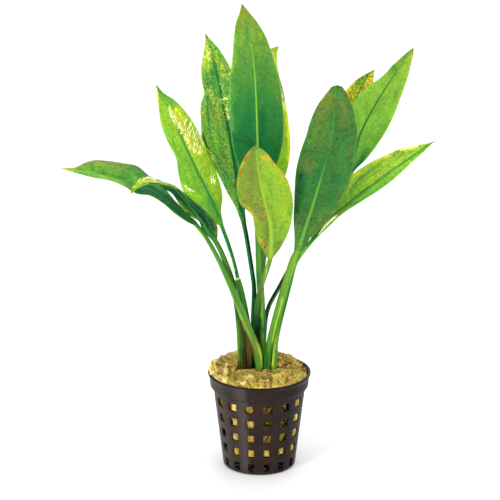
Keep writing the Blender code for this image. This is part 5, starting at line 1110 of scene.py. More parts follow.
        ("bottle", [(198, 224), (205, 233), (210, 240)], 1.2, 0.95), ("fern", [(212, 242), (220, 256), (230, 276)], 1.1, 0.7), ("ink", [(229, 262), (233, 276), (236, 288)], 0.8, 0.8),
        ("leaf", [(236, 306), (244, 324), (250, 338)], 2.6, 0.5), ("bark", [(241.8, 320.5), (245.0, 330.5), (248.5, 340.5), (253.2, 354), (256.2, 364)], 1.2, 0.7), ("ember", [(241.0, 320.5), (244.3, 331)], 0.9, 1.0),
        ("ink", [(245.2, 331.5), (247.6, 338)], 1.2, 1.0), ("wine", [(248.0, 337.5), (252.0, 349), (253.2, 353)], 1.5, 1.0), ("ink", [(253.2, 355), (255.2, 362)], 1.0, 0.8),
        ("fern", [(250, 344), (254, 356), (256.4, 367)], 1.6, 0.9), ("mint", [(251, 346), (255, 358), (257.4, 367)], 0.9, 0.6), ("bottle", [(253, 356), (255.4, 367)], 0.7, 0.8),
        ("sage+", [(257, 342), (261, 354), (262.6, 367)], 2.2, 0.7), ("olive", [(257, 341), (260, 348)], 1.0, 0.8), ("lime+", [(259.6, 348), (262.4, 360)], 0.9, 0.7), ("gold", [(258, 342), (260.4, 350)], 0.6, 0.7),
        ("olive", [(254, 336), (257.6, 343)], 0.9, 0.6), ("wine", [(249.8, 342.5), (252.6, 350), (253.8, 354)], 1.25, 0.95),
    ],
    "leaf_arching": [
        ("lime+", [(131.4, 190), (136, 184), (142, 180)], 3.0, 0.85), ("olive", [(131.2, 193), (132.4, 189)], 1.6, 0.8), ("brown", [(133, 185), (137, 181)], 0.9, 0.6),
        ("fresh+", [(135, 188), (142, 184.6), (148, 183)], 2.0, 0.8), ("lime+", [(136, 186), (143, 182)], 1.6, 0.6),
        ("straw+", [(140, 181), (148, 178.6), (156, 180)], 3.0, 0.8), ("cream+", [(144, 178.6), (150, 177.4), (155, 178.6)], 1.5, 0.9), ("straw+", [(139, 183), (143, 180)], 1.6, 0.8),
        ("cream+", [(146, 181.2), (152, 180.2)], 0.9, 0.8), ("olive", [(145, 180), (151, 179)], 0.7, 0.6),
        ("straw+", [(150, 181.2), (160, 182), (168, 184.4)], 1.5, 0.95), ("cream+", [(152, 181.4), (159, 182)], 0.7, 0.7), ("fresh+", [(164, 183.4), (172, 185.8), (177, 188)], 1.6, 0.95),
        ("moss", [(158, 183.8), (166, 186), (172, 188.4)], 0.9, 0.7), ("lime", [(172, 185.4), (178, 188.6), (184, 193)], 0.9, 0.8),
        ("fern", [(150, 184), (160, 187)], 1.8, 0.5), ("deep", [(140, 190), (150, 188), (160, 191)], 3.4, 0.6), ("bottle", [(150, 186), (158, 191), (166, 196)], 1.8, 0.8), ("fern", [(138, 192), (150, 194), (160, 198)], 1.8, 0.6),
        ("bottle", [(168, 187), (178, 194), (186, 202), (194, 212)], 3.4, 0.75), ("ink", [(172, 189), (180, 196), (187, 203)], 1.4, 0.5), ("bottle", [(176, 190), (186, 198)], 2.0, 0.5),
        ("moss", [(179, 202), (185, 208), (191, 213.6), (196, 217.6)], 2.6, 0.8), ("bottle", [(184, 204), (190, 210), (196, 216)], 1.4, 0.5),
        ("sage+", [(179.4, 203.4), (182.4, 207.4), (186.4, 211.6)], 1.1, 0.85), ("sage+", [(190, 215.6), (194, 217.8), (197.4, 219.6)], 1.3, 0.8), ("brown", [(186, 208.6), (190, 212.6), (193, 215.4)], 0.8, 0.4),
        ("mint", [(180, 190), (187, 198), (194, 209), (200, 219), (206, 228)], 0.8, 0.9), ("fern", [(182, 193), (190, 203), (196, 213)], 1.2, 0.6),
        ("bottle", [(193, 206), (200, 213), (208, 222), (213, 230)], 4.2, 0.9), ("ink", [(200, 214), (207, 222), (212, 230)], 1.6, 0.75), ("ink", [(196, 206), (203, 212)], 1.8, 0.6),
        ("fern", [(198, 202), (206, 209), (212, 214)], 1.5, 0.6), ("moss", [(208, 213), (215, 219), (217.4, 227), (216.6, 234)], 2.6, 0.9), ("olive", [(211, 213.6), (215.4, 219), (217, 226)], 1.6, 0.7), ("brown", [(213, 217), (215.4, 224), (215.4, 230)], 1.3, 0.55), ("moss", [(206, 218), (210, 226), (214, 233)], 1.0, 0.5),
        ("moss", [(204, 224), (210, 233)], 1.0, 0.7), ("fern", [(209, 228), (214, 238)], 1.6, 0.7),
        # stalk
        ("grass", [(214, 238), (220, 250), (226, 264)], 1.7, 0.8), ("bottle", [(218, 242), (225, 255), (231, 268), (235, 284)], 0.9, 0.8), ("ink", [(231, 268), (234.4, 282), (236, 290)], 0.8, 0.7),
        ("fresh", [(237.0, 322), (238, 340), (238.6, 362)], 1.2, 0.55), ("moss", [(241.4, 324), (242.4, 345), (243, 366)], 1.3, 0.9), ("bark", [(243, 350), (242.6, 368)], 1.3, 0.9),
        ("bark", [(239, 362), (239.6, 369)], 2.4, 0.6), ("grass", [(238.6, 318), (239, 350)], 1.4, 0.6),
    ],
}

# Single marks: place on the sheet, radius, colour, strength. The pale spots on leaf_left_centre are painted glints of
# its gloss.
SPOTS = {
    "leaf_right_front": [
        (336.6, 138.4, 1.0, "ink", 0.95), (337.0, 127.0, 1.1, "bark", 0.8), (315.0, 147.2, 1.1, "ink", 0.85), (317.0, 140.0, 1.0, "brown", 0.9),
        (349.6, 163.0, 1.0, "ink", 0.85), (350.2, 157.0, 1.0, "ink", 0.7), (349.8, 153.6, 0.9, "rust", 0.8), (346.4, 134.6, 1.3, "bark", 0.5),
        (344.0, 140.4, 1.0, "bark", 0.6), (340.0, 109.4, 1.4, "brown", 0.8), (332.6, 98.0, 1.2, "brown", 0.7), (300.6, 193.0, 0.9, "ink", 0.9),
        (311.4, 219.6, 1.1, "ink", 0.9), (316.2, 222.6, 1.1, "bark", 0.8), (299.4, 222.4, 1.1, "ink", 0.8), (301.4, 175.6, 1.4, "ink", 0.8),
        (303.2, 207.6, 1.0, "bark", 0.8), (312.6, 159.4, 1.1, "bark", 0.6), (322.4, 108.4, 1.0, "bark", 0.7), (321.0, 121.0, 1.2, "bark", 0.6),
        (318.4, 132.6, 1.1, "bark", 0.6), (309.6, 136.0, 1.2, "bark", 0.7), (333.0, 103.0, 1.1, "rust", 0.7), (336.4, 130.6, 1.0, "bark", 0.7),
        (346.0, 130.0, 1.2, "bark", 0.5), (317.2, 116.0, 1.0, "bark", 0.5), (334.0, 109.4, 1.0, "rust", 0.7), (301.0, 166.4, 1.2, "bark", 0.6),
        (305.0, 170.6, 1.3, "brown", 0.6), (316.8, 126.0, 1.0, "bark", 0.5), (312.0, 143.0, 0.9, "bark", 0.5), (331.6, 96.8, 0.9, "bark", 0.6), (307.6, 236.2, 1.0, "rust", 0.8), (303.4, 212.8, 0.9, "rust", 0.5),
    ],
    "leaf_front_small": [
        (261.4, 237.4, 0.9, "ink", 0.85), (262.0, 244.4, 0.8, "ink", 0.8), (264.8, 247.4, 0.9, "ink", 0.8), (272.6, 218.8, 1.1, "bark", 0.6),
        (276.0, 227.8, 0.9, "bark", 0.5), (281.2, 195.6, 0.8, "bark", 0.5), (275.6, 247.0, 1.0, "bark", 0.6), (260.2, 218.6, 0.9, "bark", 0.6),
        (244.0, 201.2, 1.3, "rust", 0.55), (271.4, 206.8, 1.2, "rust", 0.6), (290.6, 202.8, 0.9, "brown", 0.7), (262.6, 207.0, 0.9, "bark", 0.6),
    ],
    "leaf_left_centre": [
        (229.0, 74.0, 0.7, "cream", 0.95), (222.0, 66.4, 0.7, "lemon", 0.8), (222.4, 68.6, 0.7, "lemon", 0.8), (210.4, 153.2, 0.6, "cream", 1.0),
        (212.0, 156.0, 0.7, "cream", 1.0), (213.6, 158.6, 0.6, "cream", 0.9), (208.0, 149.4, 0.6, "cream", 0.8), (211.4, 76.4, 0.7, "straw", 0.8),
        (223.6, 99.4, 0.8, "cream", 1.0), (225.4, 98.2, 0.9, "cream", 1.0), (227.2, 99.2, 0.9, "cream", 1.0), (228.0, 101.6, 0.6, "cream", 0.9),
        (221.4, 101.0, 0.7, "cream", 0.9), (222.6, 103.2, 0.6, "cream", 0.9), (220.4, 99.8, 0.7, "straw", 0.8),
        (227.0, 109.0, 0.9, "cream", 1.0), (226.8, 111.0, 0.6, "cream", 0.9), (228.0, 113.4, 0.6, "cream", 0.9), (229.0, 116.4, 0.8, "cream", 1.0), (228.8, 118.4, 0.7, "cream", 1.0),
        (218.2, 117.2, 0.6, "cream", 0.95), (219.6, 115.2, 0.6, "straw", 0.8), (220.2, 123.2, 0.6, "cream", 0.8), (217.8, 123.0, 0.6, "straw", 0.7),
        (204.8, 112.0, 0.8, "straw", 0.9), (202.8, 113.8, 0.9, "lemon", 0.9), (213.2, 103.4, 0.9, "straw", 0.9), (211.0, 95.6, 0.6, "cream", 0.9),
        (209.4, 90.6, 1.0, "straw", 0.9), (207.6, 89.2, 0.7, "straw", 0.8), (219.8, 83.4, 0.7, "lime", 0.9), (223.0, 86.0, 0.8, "lime", 0.7),
        (223.2, 112.6, 0.6, "cream", 0.7), (215.4, 107.6, 0.6, "straw", 0.7), (212.4, 92.6, 0.7, "straw", 0.8), (214.6, 99.0, 0.6, "cream", 0.8),
    ],
    "leaf_tall_centre": [],
}

RIPPLE = {"leaf_left_centre": 0.25, "leaf_left": 0.3, "leaf_right_low": 0.3, "leaf_far_left": 0.25}

def place_spots(uv, flat, side, marks):
    """Turns marks read on the sheet into places on the leaf's own surface."""
    out = []
    seen = np.flatnonzero(side)
    for u, v, radius, kind, strength in marks:
        i = seen[np.argmin(np.sum((uv[seen] - (u, v)) ** 2, axis=1))]
        c = [v * 1.5 ** kind.count("+") for v in srgb(*PAINTS[kind.rstrip("+")])[:3]] + [1.0]
        out.append(((float(flat[i, 0]), float(flat[i, 1])), radius * 0.5, c, strength))
    return out


for i, (name, spec) in enumerate(LEAVES.items()):
    ob, verts, flat = leaf_mesh(name + ".look", spec, RIPPLE.get(name, 0.25), i)
    uv = paint(ob, verts, STROKES.get(name, []))
    spots = place_spots(uv, flat, np.ones(len(flat), bool), SPOTS.get(name, []))
    ob.data.materials.append(leaf_material(name, LOOKS[name], i, spots))
    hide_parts(name)
    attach(ob, "root")


# ------------------------------------------------------------------------ pot
COLUMNS, ROWS = 15, 5
FRONT = math.radians(-90.5)          # a rib faces the front
SWEEP = 2 * math.pi / COLUMNS
ROW_Z = [3.8 + 8.2 * k for k in range(ROWS)]
CELL_Z = [0.7] + [z + 4.1 for z in ROW_Z[:-1]] + [41.0]
WINDOW_HALF_H = 2.15
RIB_HALF = 2.29
WALL = 1.0
GRADE = np.array([-1, -0.965, -0.89, -0.74, -0.42, 0.0, 0.42, 0.74, 0.89, 0.965, 1.0])


def pot_radius(z):
    return 18.2 + 5.1 * np.asarray(z, float) / 42.0


def square_loop():
    g = GRADE
    return np.array([(a, -1) for a in g[:-1]] + [(1, b) for b in g[:-1]]
                    + [(a, 1) for a in g[:0:-1]] + [(-1, b) for b in g[:0:-1]])


def rounded(sq, hw, hh, rc):
    p = sq * (hw, hh)
    c = np.stack([np.clip(p[:, 0], -hw + rc, hw - rc), np.clip(p[:, 1], -hh + rc, hh - rc)], 1)
    d = p - c
    return c + d / np.maximum(np.linalg.norm(d, axis=1, keepdims=True), 1e-9) * rc


def polar(theta, r, z):
    return np.stack([r * np.cos(theta), r * np.sin(theta), z], -1)


def pot_mesh():
    sq = square_loop()
    n = len(sq)
    verts, faces = [], []

    def add_loops(loops):
        base = sum(len(v) for v in verts)
        verts.append(np.concatenate(loops))
        for i in range(len(loops) - 1):
            for j in range(n):
                k = (j + 1) % n
                faces.append((base + i * n + j, base + i * n + k, base + (i + 1) * n + k, base + (i + 1) * n + j))

    def add_rings(profile):
        angles = np.array([FRONT + SWEEP / 2 + c * SWEEP + a * SWEEP / 2 for c in range(COLUMNS) for a in GRADE[:-1]])
        m = len(angles)
        base = sum(len(v) for v in verts)
        verts.append(np.concatenate([polar(angles, np.full(m, r), np.full(m, z)) for r, z in profile]))
        for i in range(len(profile) - 1):
            for j in range(m):
                k = (j + 1) % m
                faces.append((base + i * m + j, base + i * m + k, base + (i + 1) * m + k, base + (i + 1) * m + j))

    bevel = [(0.20, 0.0), (0.12, 0.015), (0.045, 0.06), (0.0, 0.16), (0.0, 0.80), (0.05, 0.93), (0.18, 1.0)]
    for c in range(COLUMNS):
        tc = FRONT + SWEEP / 2 + c * SWEEP
        for k in range(ROWS):
            zc = ROW_Z[k]
            hang_c = SWEEP / 2 - math.asin(RIB_HALF / pot_radius(zc))
            hw = float(pot_radius(zc)) * hang_c

            def boundary(depth, lo, hi):
                z = lo + (sq[:, 1] + 1) / 2 * (hi - lo)
                return polar(tc + sq[:, 0] * SWEEP / 2, pot_radius(z) - depth, z)

            loops = [boundary(0.0, CELL_Z[k], CELL_Z[k + 1])]
            for off, depth in bevel:
                q = rounded(sq, hw + off, WINDOW_HALF_H + off, 0.38 + off)
                z = zc + q[:, 1]
                hang = SWEEP / 2 - np.arcsin(RIB_HALF / pot_radius(z))
                loops.append(polar(tc + q[:, 0] / hw * hang, pot_radius(z) - depth * WALL, z))
            loops.append(boundary(WALL, 1.5 if k == 0 else CELL_Z[k], CELL_Z[k + 1]))
            add_loops(loops)
        # slots in the base, between two spokes
        hw = 10.75 * (SWEEP / 2 - math.asin(0.885 / 10.75))

        def base_boundary(z):
            r = 10.9 + sq[:, 1] * 5.3
            return polar(tc + sq[:, 0] * SWEEP / 2, r, np.full(n, z))

        loops = [base_boundary(0.0)]
        for off, depth in [(0.15, 0.0), (0.0, 0.15), (0.0, 1.25), (0.15, 1.4)]:
            q = rounded(sq, hw + off, 4.25 + off, 0.45 + off)
            r = 10.75 + q[:, 1]
            hang = SWEEP / 2 - np.arcsin(np.interp(r, (6.5, 15), (0.62, 1.15)) / r)
            loops.append(polar(tc + q[:, 0] / hw * hang, r, np.full(n, depth)))
        loops.append(base_boundary(1.4))
        add_loops(loops)
    r_top = float(pot_radius(41.0))
    add_rings([(r_top, 41.0), (23.24, 41.25), (23.42, 41.48), (23.8, 41.74), (24.3, 42.02), (24.62, 42.28), (24.79, 42.62),
               (24.85, 43.1), (24.93, 44.2), (25.02, 45.4), (25.10, 46.5), (25.20, 47.2), (25.40, 47.65), (25.68, 48.02),
               (25.88, 48.4), (25.97, 48.8), (25.95, 49.1), (25.83, 49.35), (25.62, 49.48), (25.35, 49.52), (25.1, 49.5),
               (24.86, 49.40), (24.66, 49.18), (24.52, 48.85), (24.42, 48.2), (24.25, 46.2), (24.08, 44.2), (23.95, 43.1),
               (23.6, 42.5), (23.0, 41.95), (22.5, 41.5), (r_top - WALL, 41.0)])
    add_rings([(16.2, 0.0), (17.0, 0.0), (17.4, 0.04), (17.75, 0.16), (18.0, 0.34), (18.18, 0.52), (float(pot_radius(0.7)), 0.7)])
    add_rings([(float(pot_radius(1.5)) - WALL, 1.5), (17.32, 1.42), (17.1, 1.4), (16.2, 1.4)])
    for z in (0.0, 1.4):
        add_rings([(5.6, z), (3.4, z), (1.4, z), (0.35, z)])
    ob = mesh_object("net_pot.look", np.concatenate(verts), faces)
    bm = bmesh.new()
    bm.from_mesh(ob.data)
    bmesh.ops.remove_doubles(bm, verts=bm.verts, dist=2e-6)
    rims = [e for e in bm.edges if e.is_boundary]
    bmesh.ops.holes_fill(bm, edges=rims, sides=0)
    bmesh.ops.recalc_face_normals(bm, faces=bm.faces)
    bm.to_mesh(ob.data)
    bm.free()
    ob.data.shade_smooth()
    return ob


def pot_material():
    t = Tree("pot_plastic")
    g = t.node("ShaderNodeNewGeometry").outputs["Position"]
    mm = t.vmath("SCALE", g, scale=1000.0)
    x, y, z = t.split(mm)
    cloud = t.noise(mm, 0.11, 3.0)
    grain = t.noise(mm, 3.5, 3.0)
    base = t.mix(t.step(cloud, 0.3, 0.7), srgb(34, 23, 19), srgb(44, 31, 26))
    dust = t.noise(t.vmath("MULTIPLY", mm, (1.0, 1.0, 0.35)), 0.9, 5.0, 0.7)
    base = t.mix(t.step(dust, 0.60, 0.80, 0.0, 0.30), base, srgb(92, 82, 74))
    # painted light and shade: the side away from the lamps is painted darker, the far left paler, and a paler band on
    # the left front is a painted sheen
    turn = t.math("DIVIDE", x, t.math("MAXIMUM", t.math("SQRT", t.math("ADD", t.math("MULTIPLY", x, x), t.math("MULTIPLY", y, y))), 1.0))
    turn = t.math("ADD", turn, t.math("MULTIPLY", t.math("SUBTRACT", dust, 0.5), 0.10))
    painted_sheen = t.math("MULTIPLY", t.step(turn, -0.62, -0.36), t.step(turn, -0.20, -0.34))
    base = t.mix(t.math("MULTIPLY", painted_sheen, 0.55), base, srgb(84, 76, 72))
    base = t.mix(t.step(turn, -0.45, -0.85, 0.0, 0.45), base, srgb(72, 64, 58))
    base = t.mix(t.step(turn, 0.25, 0.80, 0.0, 0.8), base, srgb(17, 11, 8))
    specks, _ = t.voronoi(mm, 0.38)
    base = t.mix(t.step(specks, 0.10, 0.04, 0.0, 0.5), base, srgb(135, 128, 120))
    # painted shadow: a dark line under the collar; the pot is also darker towards the bottom
    collar_shadow = t.step(t.math("ABSOLUTE", t.math("SUBTRACT", z, 41.35)), 0.5, 0.0, 0.0, 0.55)
    base = t.mix(collar_shadow, base, srgb(26, 21, 21))
    low = t.step(z, 4.0, 0.0, 0.0, 0.45)
    base = t.mix(low, base, srgb(34, 29, 28))
    # painted shade: the lip's top and inside are darker
    rr = t.math("SQRT", t.math("ADD", t.math("MULTIPLY", x, x), t.math("MULTIPLY", y, y)))
    lip = t.math("MAXIMUM", t.math("MULTIPLY", t.step(z, 48.2, 48.6), t.step(rr, 25.9, 25.5)), t.step(z, 48.7, 49.1))
    base = t.mix(t.math("MULTIPLY", lip, 0.9), base, srgb(16, 12, 11))
    scratch = t.noise(t.vmath("MULTIPLY", mm, (0.5, 0.5, 3.0)), 1.6, 4.0, 0.7)
    rough = t.math("ADD", 0.34, t.math("MULTIPLY", dust, 0.22))
    h = t.math("ADD", t.math("MULTIPLY", grain, 0.5), t.math("MULTIPLY", scratch, 0.4))
    return t.finish(base, rough, t.bump(h, 0.22, 0.0002), Specular_IOR_Level=0.13)


# ------------------------------------------------------------------------ wool
WELL_C = np.array([-0.8, 4.5])
EDGE_DEG = [-180, -150, -120, -90, -60, -30, 0, 30, 60, 90, 120, 150, 180]
EDGE_R = [25.1, 24.7, 24.3, 24.3, 24.3, 24.0, 23.7, 23.4, 23.4, 23.6, 23.8, 24.3, 25.1]
EDGE_Z = [50.7, 50.1, 49.5, 49.3, 49.3, 48.9, 48.4, 50.2, 51.5, 51.8, 52.0, 51.8, 50.7]

# how far the wool bulges into each window that shows (mm), from left to right,
# for the four rows from the top
WINDOW_DEG = [-150.5, -126.5, -102.5, -78.5, -54.5, -30.5]
BULGE = [[-0.2, 0.95, 0.25, -0.5, -1.0, 1.15],
         [-0.6, 0.85, 0.60, -1.5, -1.4, 1.05],
         [-2.8, 0.90, 0.65, -0.5, -0.6, 1.15],
         [-3.4, 0.95, 0.80, 0.65, 0.65, 1.05]]

# strokes on the view sheet: kind, line, radius, colour strength, height (mm)
# dark strokes, and brown and olive ones in grooves, folds and round the stalks' feet, are painted shade; the rest are
# the wool's own colours
WOOL_STROKES = [
    ("cream", [(209, 372.5), (213, 377), (222, 383.5)], 2.2, 1.0, 0.5),
    ("cream", [(208.8, 369), (211.4, 363.5), (214.6, 360.5)], 3.2, 1.0, 0.7),
    ("cream", [(212, 371), (218, 376), (224, 380)], 1.8, 1.0, 0.4),
    ("brown", [(211, 374.5), (217, 378.5), (222.5, 381.5)], 0.9, 0.8, -0.5),
    ("brown", [(214, 371), (220, 374.5), (225, 377)], 1.1, 0.7, -0.4),
    ("cream", [(214.5, 366), (216, 371)], 1.7, 0.9, 0.4),
    ("brown", [(214.5, 356), (219, 360), (223, 363)], 4.2, 1.0, -0.9), ("brown", [(220, 352), (226, 356)], 2.6, 0.7, -0.4),
    ("brown", [(218, 366), (223, 371), (226, 374)], 2.0, 0.7, -0.4),
    ("cream", [(226.2, 363.5), (225.8, 371)], 1.6, 0.9, 0.45), ("cream", [(225.6, 370), (225.0, 377), (224.4, 383)], 3.2, 1.0, 0.4),
    ("brown", [(229.4, 367), (229.2, 373), (228.8, 380)], 1.1, 0.8, -0.5),
    ("olive", [(240, 357), (238, 366)], 2.0, 0.5, -0.2), ("brown", [(212, 379), (218, 383)], 1.0, 0.7, -0.3),
    ("cream", [(229, 355), (236, 353.5)], 3.0, 0.5, 0.3),
    ("brown", [(236, 349.5), (230, 350.5), (225, 352.5)], 1.6, 0.9, 0.2),
    ("brown", [(236.5, 369.6), (241, 368.9), (247, 368), (252, 367.5)], 2.0, 0.9, -0.7), ("dark", [(237.5, 369), (240, 368.6)], 1.2, 0.8, -0.4),
    ("brown", [(268, 373.2), (274, 373.6), (280, 371.4), (285, 368.0)], 2.6, 1.0, -0.30), ("dark", [(271, 373.0), (276, 372.8), (281, 370.4)], 1.0, 0.75, -0.10),
    ("cream", [(260, 373), (265, 373)], 1.3, 0.4, 0.05),
    ("brown", [(283, 366), (290, 363.2), (298, 361)], 1.8, 1.0, -0.8), ("dark", [(285, 365), (290, 363.4)], 1.0, 0.8, -0.3),
    ("olive", [(284, 356), (294, 354), (302, 360)], 5.0, 0.9, 0.0), ("brown", [(292, 357.5), (300, 359)], 1.4, 0.8, -0.5),
    ("brown", [(300, 366), (304, 370)], 1.8, 0.9, -0.5), ("olive", [(290, 368), (300, 372)], 3.4, 0.6, 0.0),
    ("brown", [(278, 353), (278, 362)], 1.8, 0.8, -0.4),
    ("olive", [(298, 361.5), (303, 364.5), (304.5, 371)], 3.0, 1.0, -0.4),
    ("cream", [(288, 357), (296, 355.5)], 3.0, 0.5, 0.4),
    ("brown", [(283, 360), (288, 365), (294, 369)], 3.0, 0.5, -0.1),
    ("yellow", [(282, 361), (284, 358.5)], 2.0, 0.8, 0.3),
    ("olive", [(231, 375), (236, 378)], 4.5, 0.7, -0.3),
    ("cream", [(246, 377.5), (252, 378)], 3.0, 0.6, 0.4),
    ("cream", [(238, 382), (244, 384.5)], 2.2, 0.9, 0.4),
    ("yellow", [(246, 384), (252, 387), (270, 387.5), (284, 385)], 4.0, 0.9, 0.5),
    ("yellow", [(275, 377), (284, 379)], 4.0, 0.7, 0.4),
    ("cream", [(273, 377.0), (281, 376)], 2.0, 0.4, 0.3),
    ("dark", [(277.4, 385), (278.8, 382.6)], 1.0, 0.9, -0.6), ("brown", [(283, 378), (286, 382), (285.4, 386)], 1.3, 0.9, -0.6),
    ("brown", [(257.0, 377.5), (258.0, 382), (258.4, 387)], 1.8, 0.5, -0.6),
    ("brown", [(264.0, 378), (265.4, 383), (265.2, 387)], 1.8, 0.55, -0.7), ("brown", [(246, 381), (250, 386)], 1.2, 0.6, -0.4),
    ("brown", [(270.5, 379), (271.0, 387)], 1.6, 0.5, -0.6), ("olive", [(240, 374), (256, 377), (272, 379)], 3.0, 0.7, -0.2),
    ("brown", [(286.5, 376), (287.5, 383)], 1.6, 0.8, -0.6),
    ("brown", [(292, 372), (293, 378)], 1.2, 0.5, -0.4),
    ("yellow", [(297, 377), (302, 374)], 2.2, 0.8, 0.2),
    ("brown", [(258, 371.5), (259.5, 374.5)], 1.0, 0.5, -0.3),
]

# the same for the windows
# dark strokes, and partly the brown ones, paint the shade in wool set back in the windows
WINDOW_STROKES = [
    ("brown", [(220.5, 397), (221.5, 406)], 3.2, 0.9, 0.0), ("yellow", [(218.8, 397), (219.6, 401)], 1.2, 0.8, 0.0),
    ("brown", [(223.5, 411), (225, 421)], 3.2, 1.0, 0.0), ("brown", [(224, 427), (227, 437)], 3.2, 1.0, 0.0),
    ("dark", [(224, 427), (227, 437)], 3.2, 1.0, 0.0), ("dark", [(226.5, 442), (228.5, 452)], 3.2, 1.0, 0.0),
    ("olive", [(229.4, 403), (230.4, 409)], 1.7, 1.0, 0.0), ("brown", [(232.2, 403), (231.6, 411)], 0.9, 1.0, -0.7),
    ("cream", [(235.3, 404), (235.8, 411)], 2.2, 0.8, 0.0), ("brown", [(231.0, 419), (231.8, 426)], 1.5, 1.0, -0.4),
    ("dark", [(233.2, 419), (233.4, 426)], 0.9, 0.8, -0.7), ("yellow", [(236.2, 420), (236.8, 427)], 2.0, 1.0, 0.0),
    ("cream", [(235.6, 436), (236.0, 441)], 2.2, 0.45, 0.0), ("yellow", [(236.2, 450), (236.6, 458)], 3.4, 0.9, 0.0),
    ("brown", [(246.0, 412), (247.6, 414)], 1.2, 1.0, -0.6), ("dark", [(253.5, 408), (253.8, 413)], 1.1, 0.9, -0.6),
    ("olive", [(249, 408), (250, 413)], 2.8, 0.8, 0.0), ("cream", [(251, 423), (251.5, 427)], 2.4, 0.45, 0.0),
    ("brown", [(246.6, 422), (247.0, 428)], 0.9, 0.9, -0.4), ("olive", [(249, 437), (251, 443)], 3.6, 0.5, 0.0),
    ("yellow", [(250.5, 452), (251.5, 458)], 3.6, 0.7, 0.0),
    ("brown", [(264, 408), (271, 412)], 4.8, 1.0, 0.0), ("dark", [(271.8, 407), (271.6, 413)], 1.4, 1.0, -0.5), ("dark", [(264.4, 407), (269, 408)], 1.4, 0.8, -0.2), ("dark", [(265, 413), (267, 411)], 1.2, 0.8, -0.2),
    ("brown", [(265, 423), (270, 427)], 4.8, 1.0, 0.0), ("dark", [(265, 424), (270, 426)], 4.0, 0.6, 0.0),
    ("olive", [(265, 436), (270, 442)], 4.6, 0.9, 0.0), ("brown", [(266, 442), (269, 437)], 1.6, 0.8, -0.3),
    ("cream", [(265.5, 453), (268, 456)], 2.2, 0.5, 0.0), ("dark", [(268.5, 458.5), (271, 457)], 1.3, 0.9, -0.6),
    ("brown", [(281, 404), (288, 410)], 5.0, 1.0, 0.0), ("dark", [(281.4, 404), (283.4, 407), (285, 410.6)], 1.8, 1.0, -0.2), ("dark", [(287.8, 403), (288.4, 409)], 1.3, 1.0, -0.3), ("yellow", [(286.4, 405.4), (285.8, 408)], 0.9, 0.7, 0.0),
    ("brown", [(281.5, 421), (286.5, 425)], 4.6, 1.0, 0.0), ("dark", [(282, 421), (286, 424)], 3.6, 0.5, 0.0),
    ("olive", [(282, 435), (285.5, 440)], 4.0, 0.9, 0.0), ("dark", [(284.5, 440.5), (285.5, 438)], 1.1, 0.7, -0.4),
    ("cream", [(282, 451), (283.5, 455)], 3.4, 0.6, 0.0), ("brown", [(280.5, 456.5), (281.5, 452)], 1.0, 0.7, -0.3),
    ("yellow", [(299, 400), (299, 406)], 4.0, 0.8, 0.0), ("cream", [(295.5, 414), (296, 420)], 2.4, 0.8, 0.0),
    ("dark", [(298.6, 416), (298.2, 422)], 1.4, 1.0, -0.9), ("cream", [(295, 430), (295, 437)], 3.0, 0.8, 0.0),
    ("brown", [(292, 449), (294, 445)], 1.6, 0.5, 0.0), ("yellow", [(293, 445), (293, 451)], 3.0, 0.7, 0.0),
]
WOOL_KINDS = ("cream", "brown", "yellow", "olive", "dark", "lift")


def around(deg, table, theta):
    return np.interp(np.degrees((theta + math.pi) % (2 * math.pi) - math.pi), deg, table)


def stalk_circles(lo, hi):
    """Centre and radius of every stalk between two heights, one row each."""
    out = []
    for spec in list(LEAVES.values()):
        f = leaf_frame(spec)
        keep = f["stalk"] & (f["centre"][:, 2] > lo) & (f["centre"][:, 2] < hi)
        out.append(np.column_stack([f["centre"][keep][:, :2], f["r"][keep]]))
    centre, r, _ = stub_frame()
    keep = (centre[:, 2] > lo) & (centre[:, 2] < hi)
    out.append(np.column_stack([centre[keep][:, :2], r[keep]]))
    return np.concatenate(out)


def stub_frame():
    fx, fy, fr = STUB["foot"]
    mid = np.array([[fx, fy, FOOT_Z]] + [on_sheet(u, v, y) for u, v, y, _ in STUB["stalk"]])
    rad = [fr] + [r for *_, r in STUB["stalk"]]
    knots = np.concatenate([[0.0], np.cumsum(np.linalg.norm(np.diff(mid, axis=0), axis=1))])
    ts = np.linspace(0, knots[-1], 70)
    centre = spline(mid, knots, ts)
    return centre, np.interp(ts, knots, rad), unit(np.gradient(centre, axis=0))


def well_outline(theta, gap=0.35):
    """Distance from the well's centre to just outside the stalks, per direction."""
    rows = stalk_circles(46.5, 53.5)
    d = np.stack([np.cos(theta), np.sin(theta)], 1)
    rel = rows[:, :2] - WELL_C
    t = d @ rel.T
    off = np.abs(d[:, :1] * rel[:, 1][None] - d[:, 1:] * rel[:, 0][None])
    rr = rows[:, 2][None] + gap
    reach = np.where((off < rr) & (t > -2), t + np.sqrt(np.maximum(rr**2 - off**2, 0)), 0)
    reach = np.maximum(reach.max(axis=1), 2.0)
    k = np.hanning(9)
    k /= k.sum()
    pad = np.concatenate([reach[-4:], reach, reach[:4]])
    return np.maximum(np.convolve(pad, k, "valid"), reach)


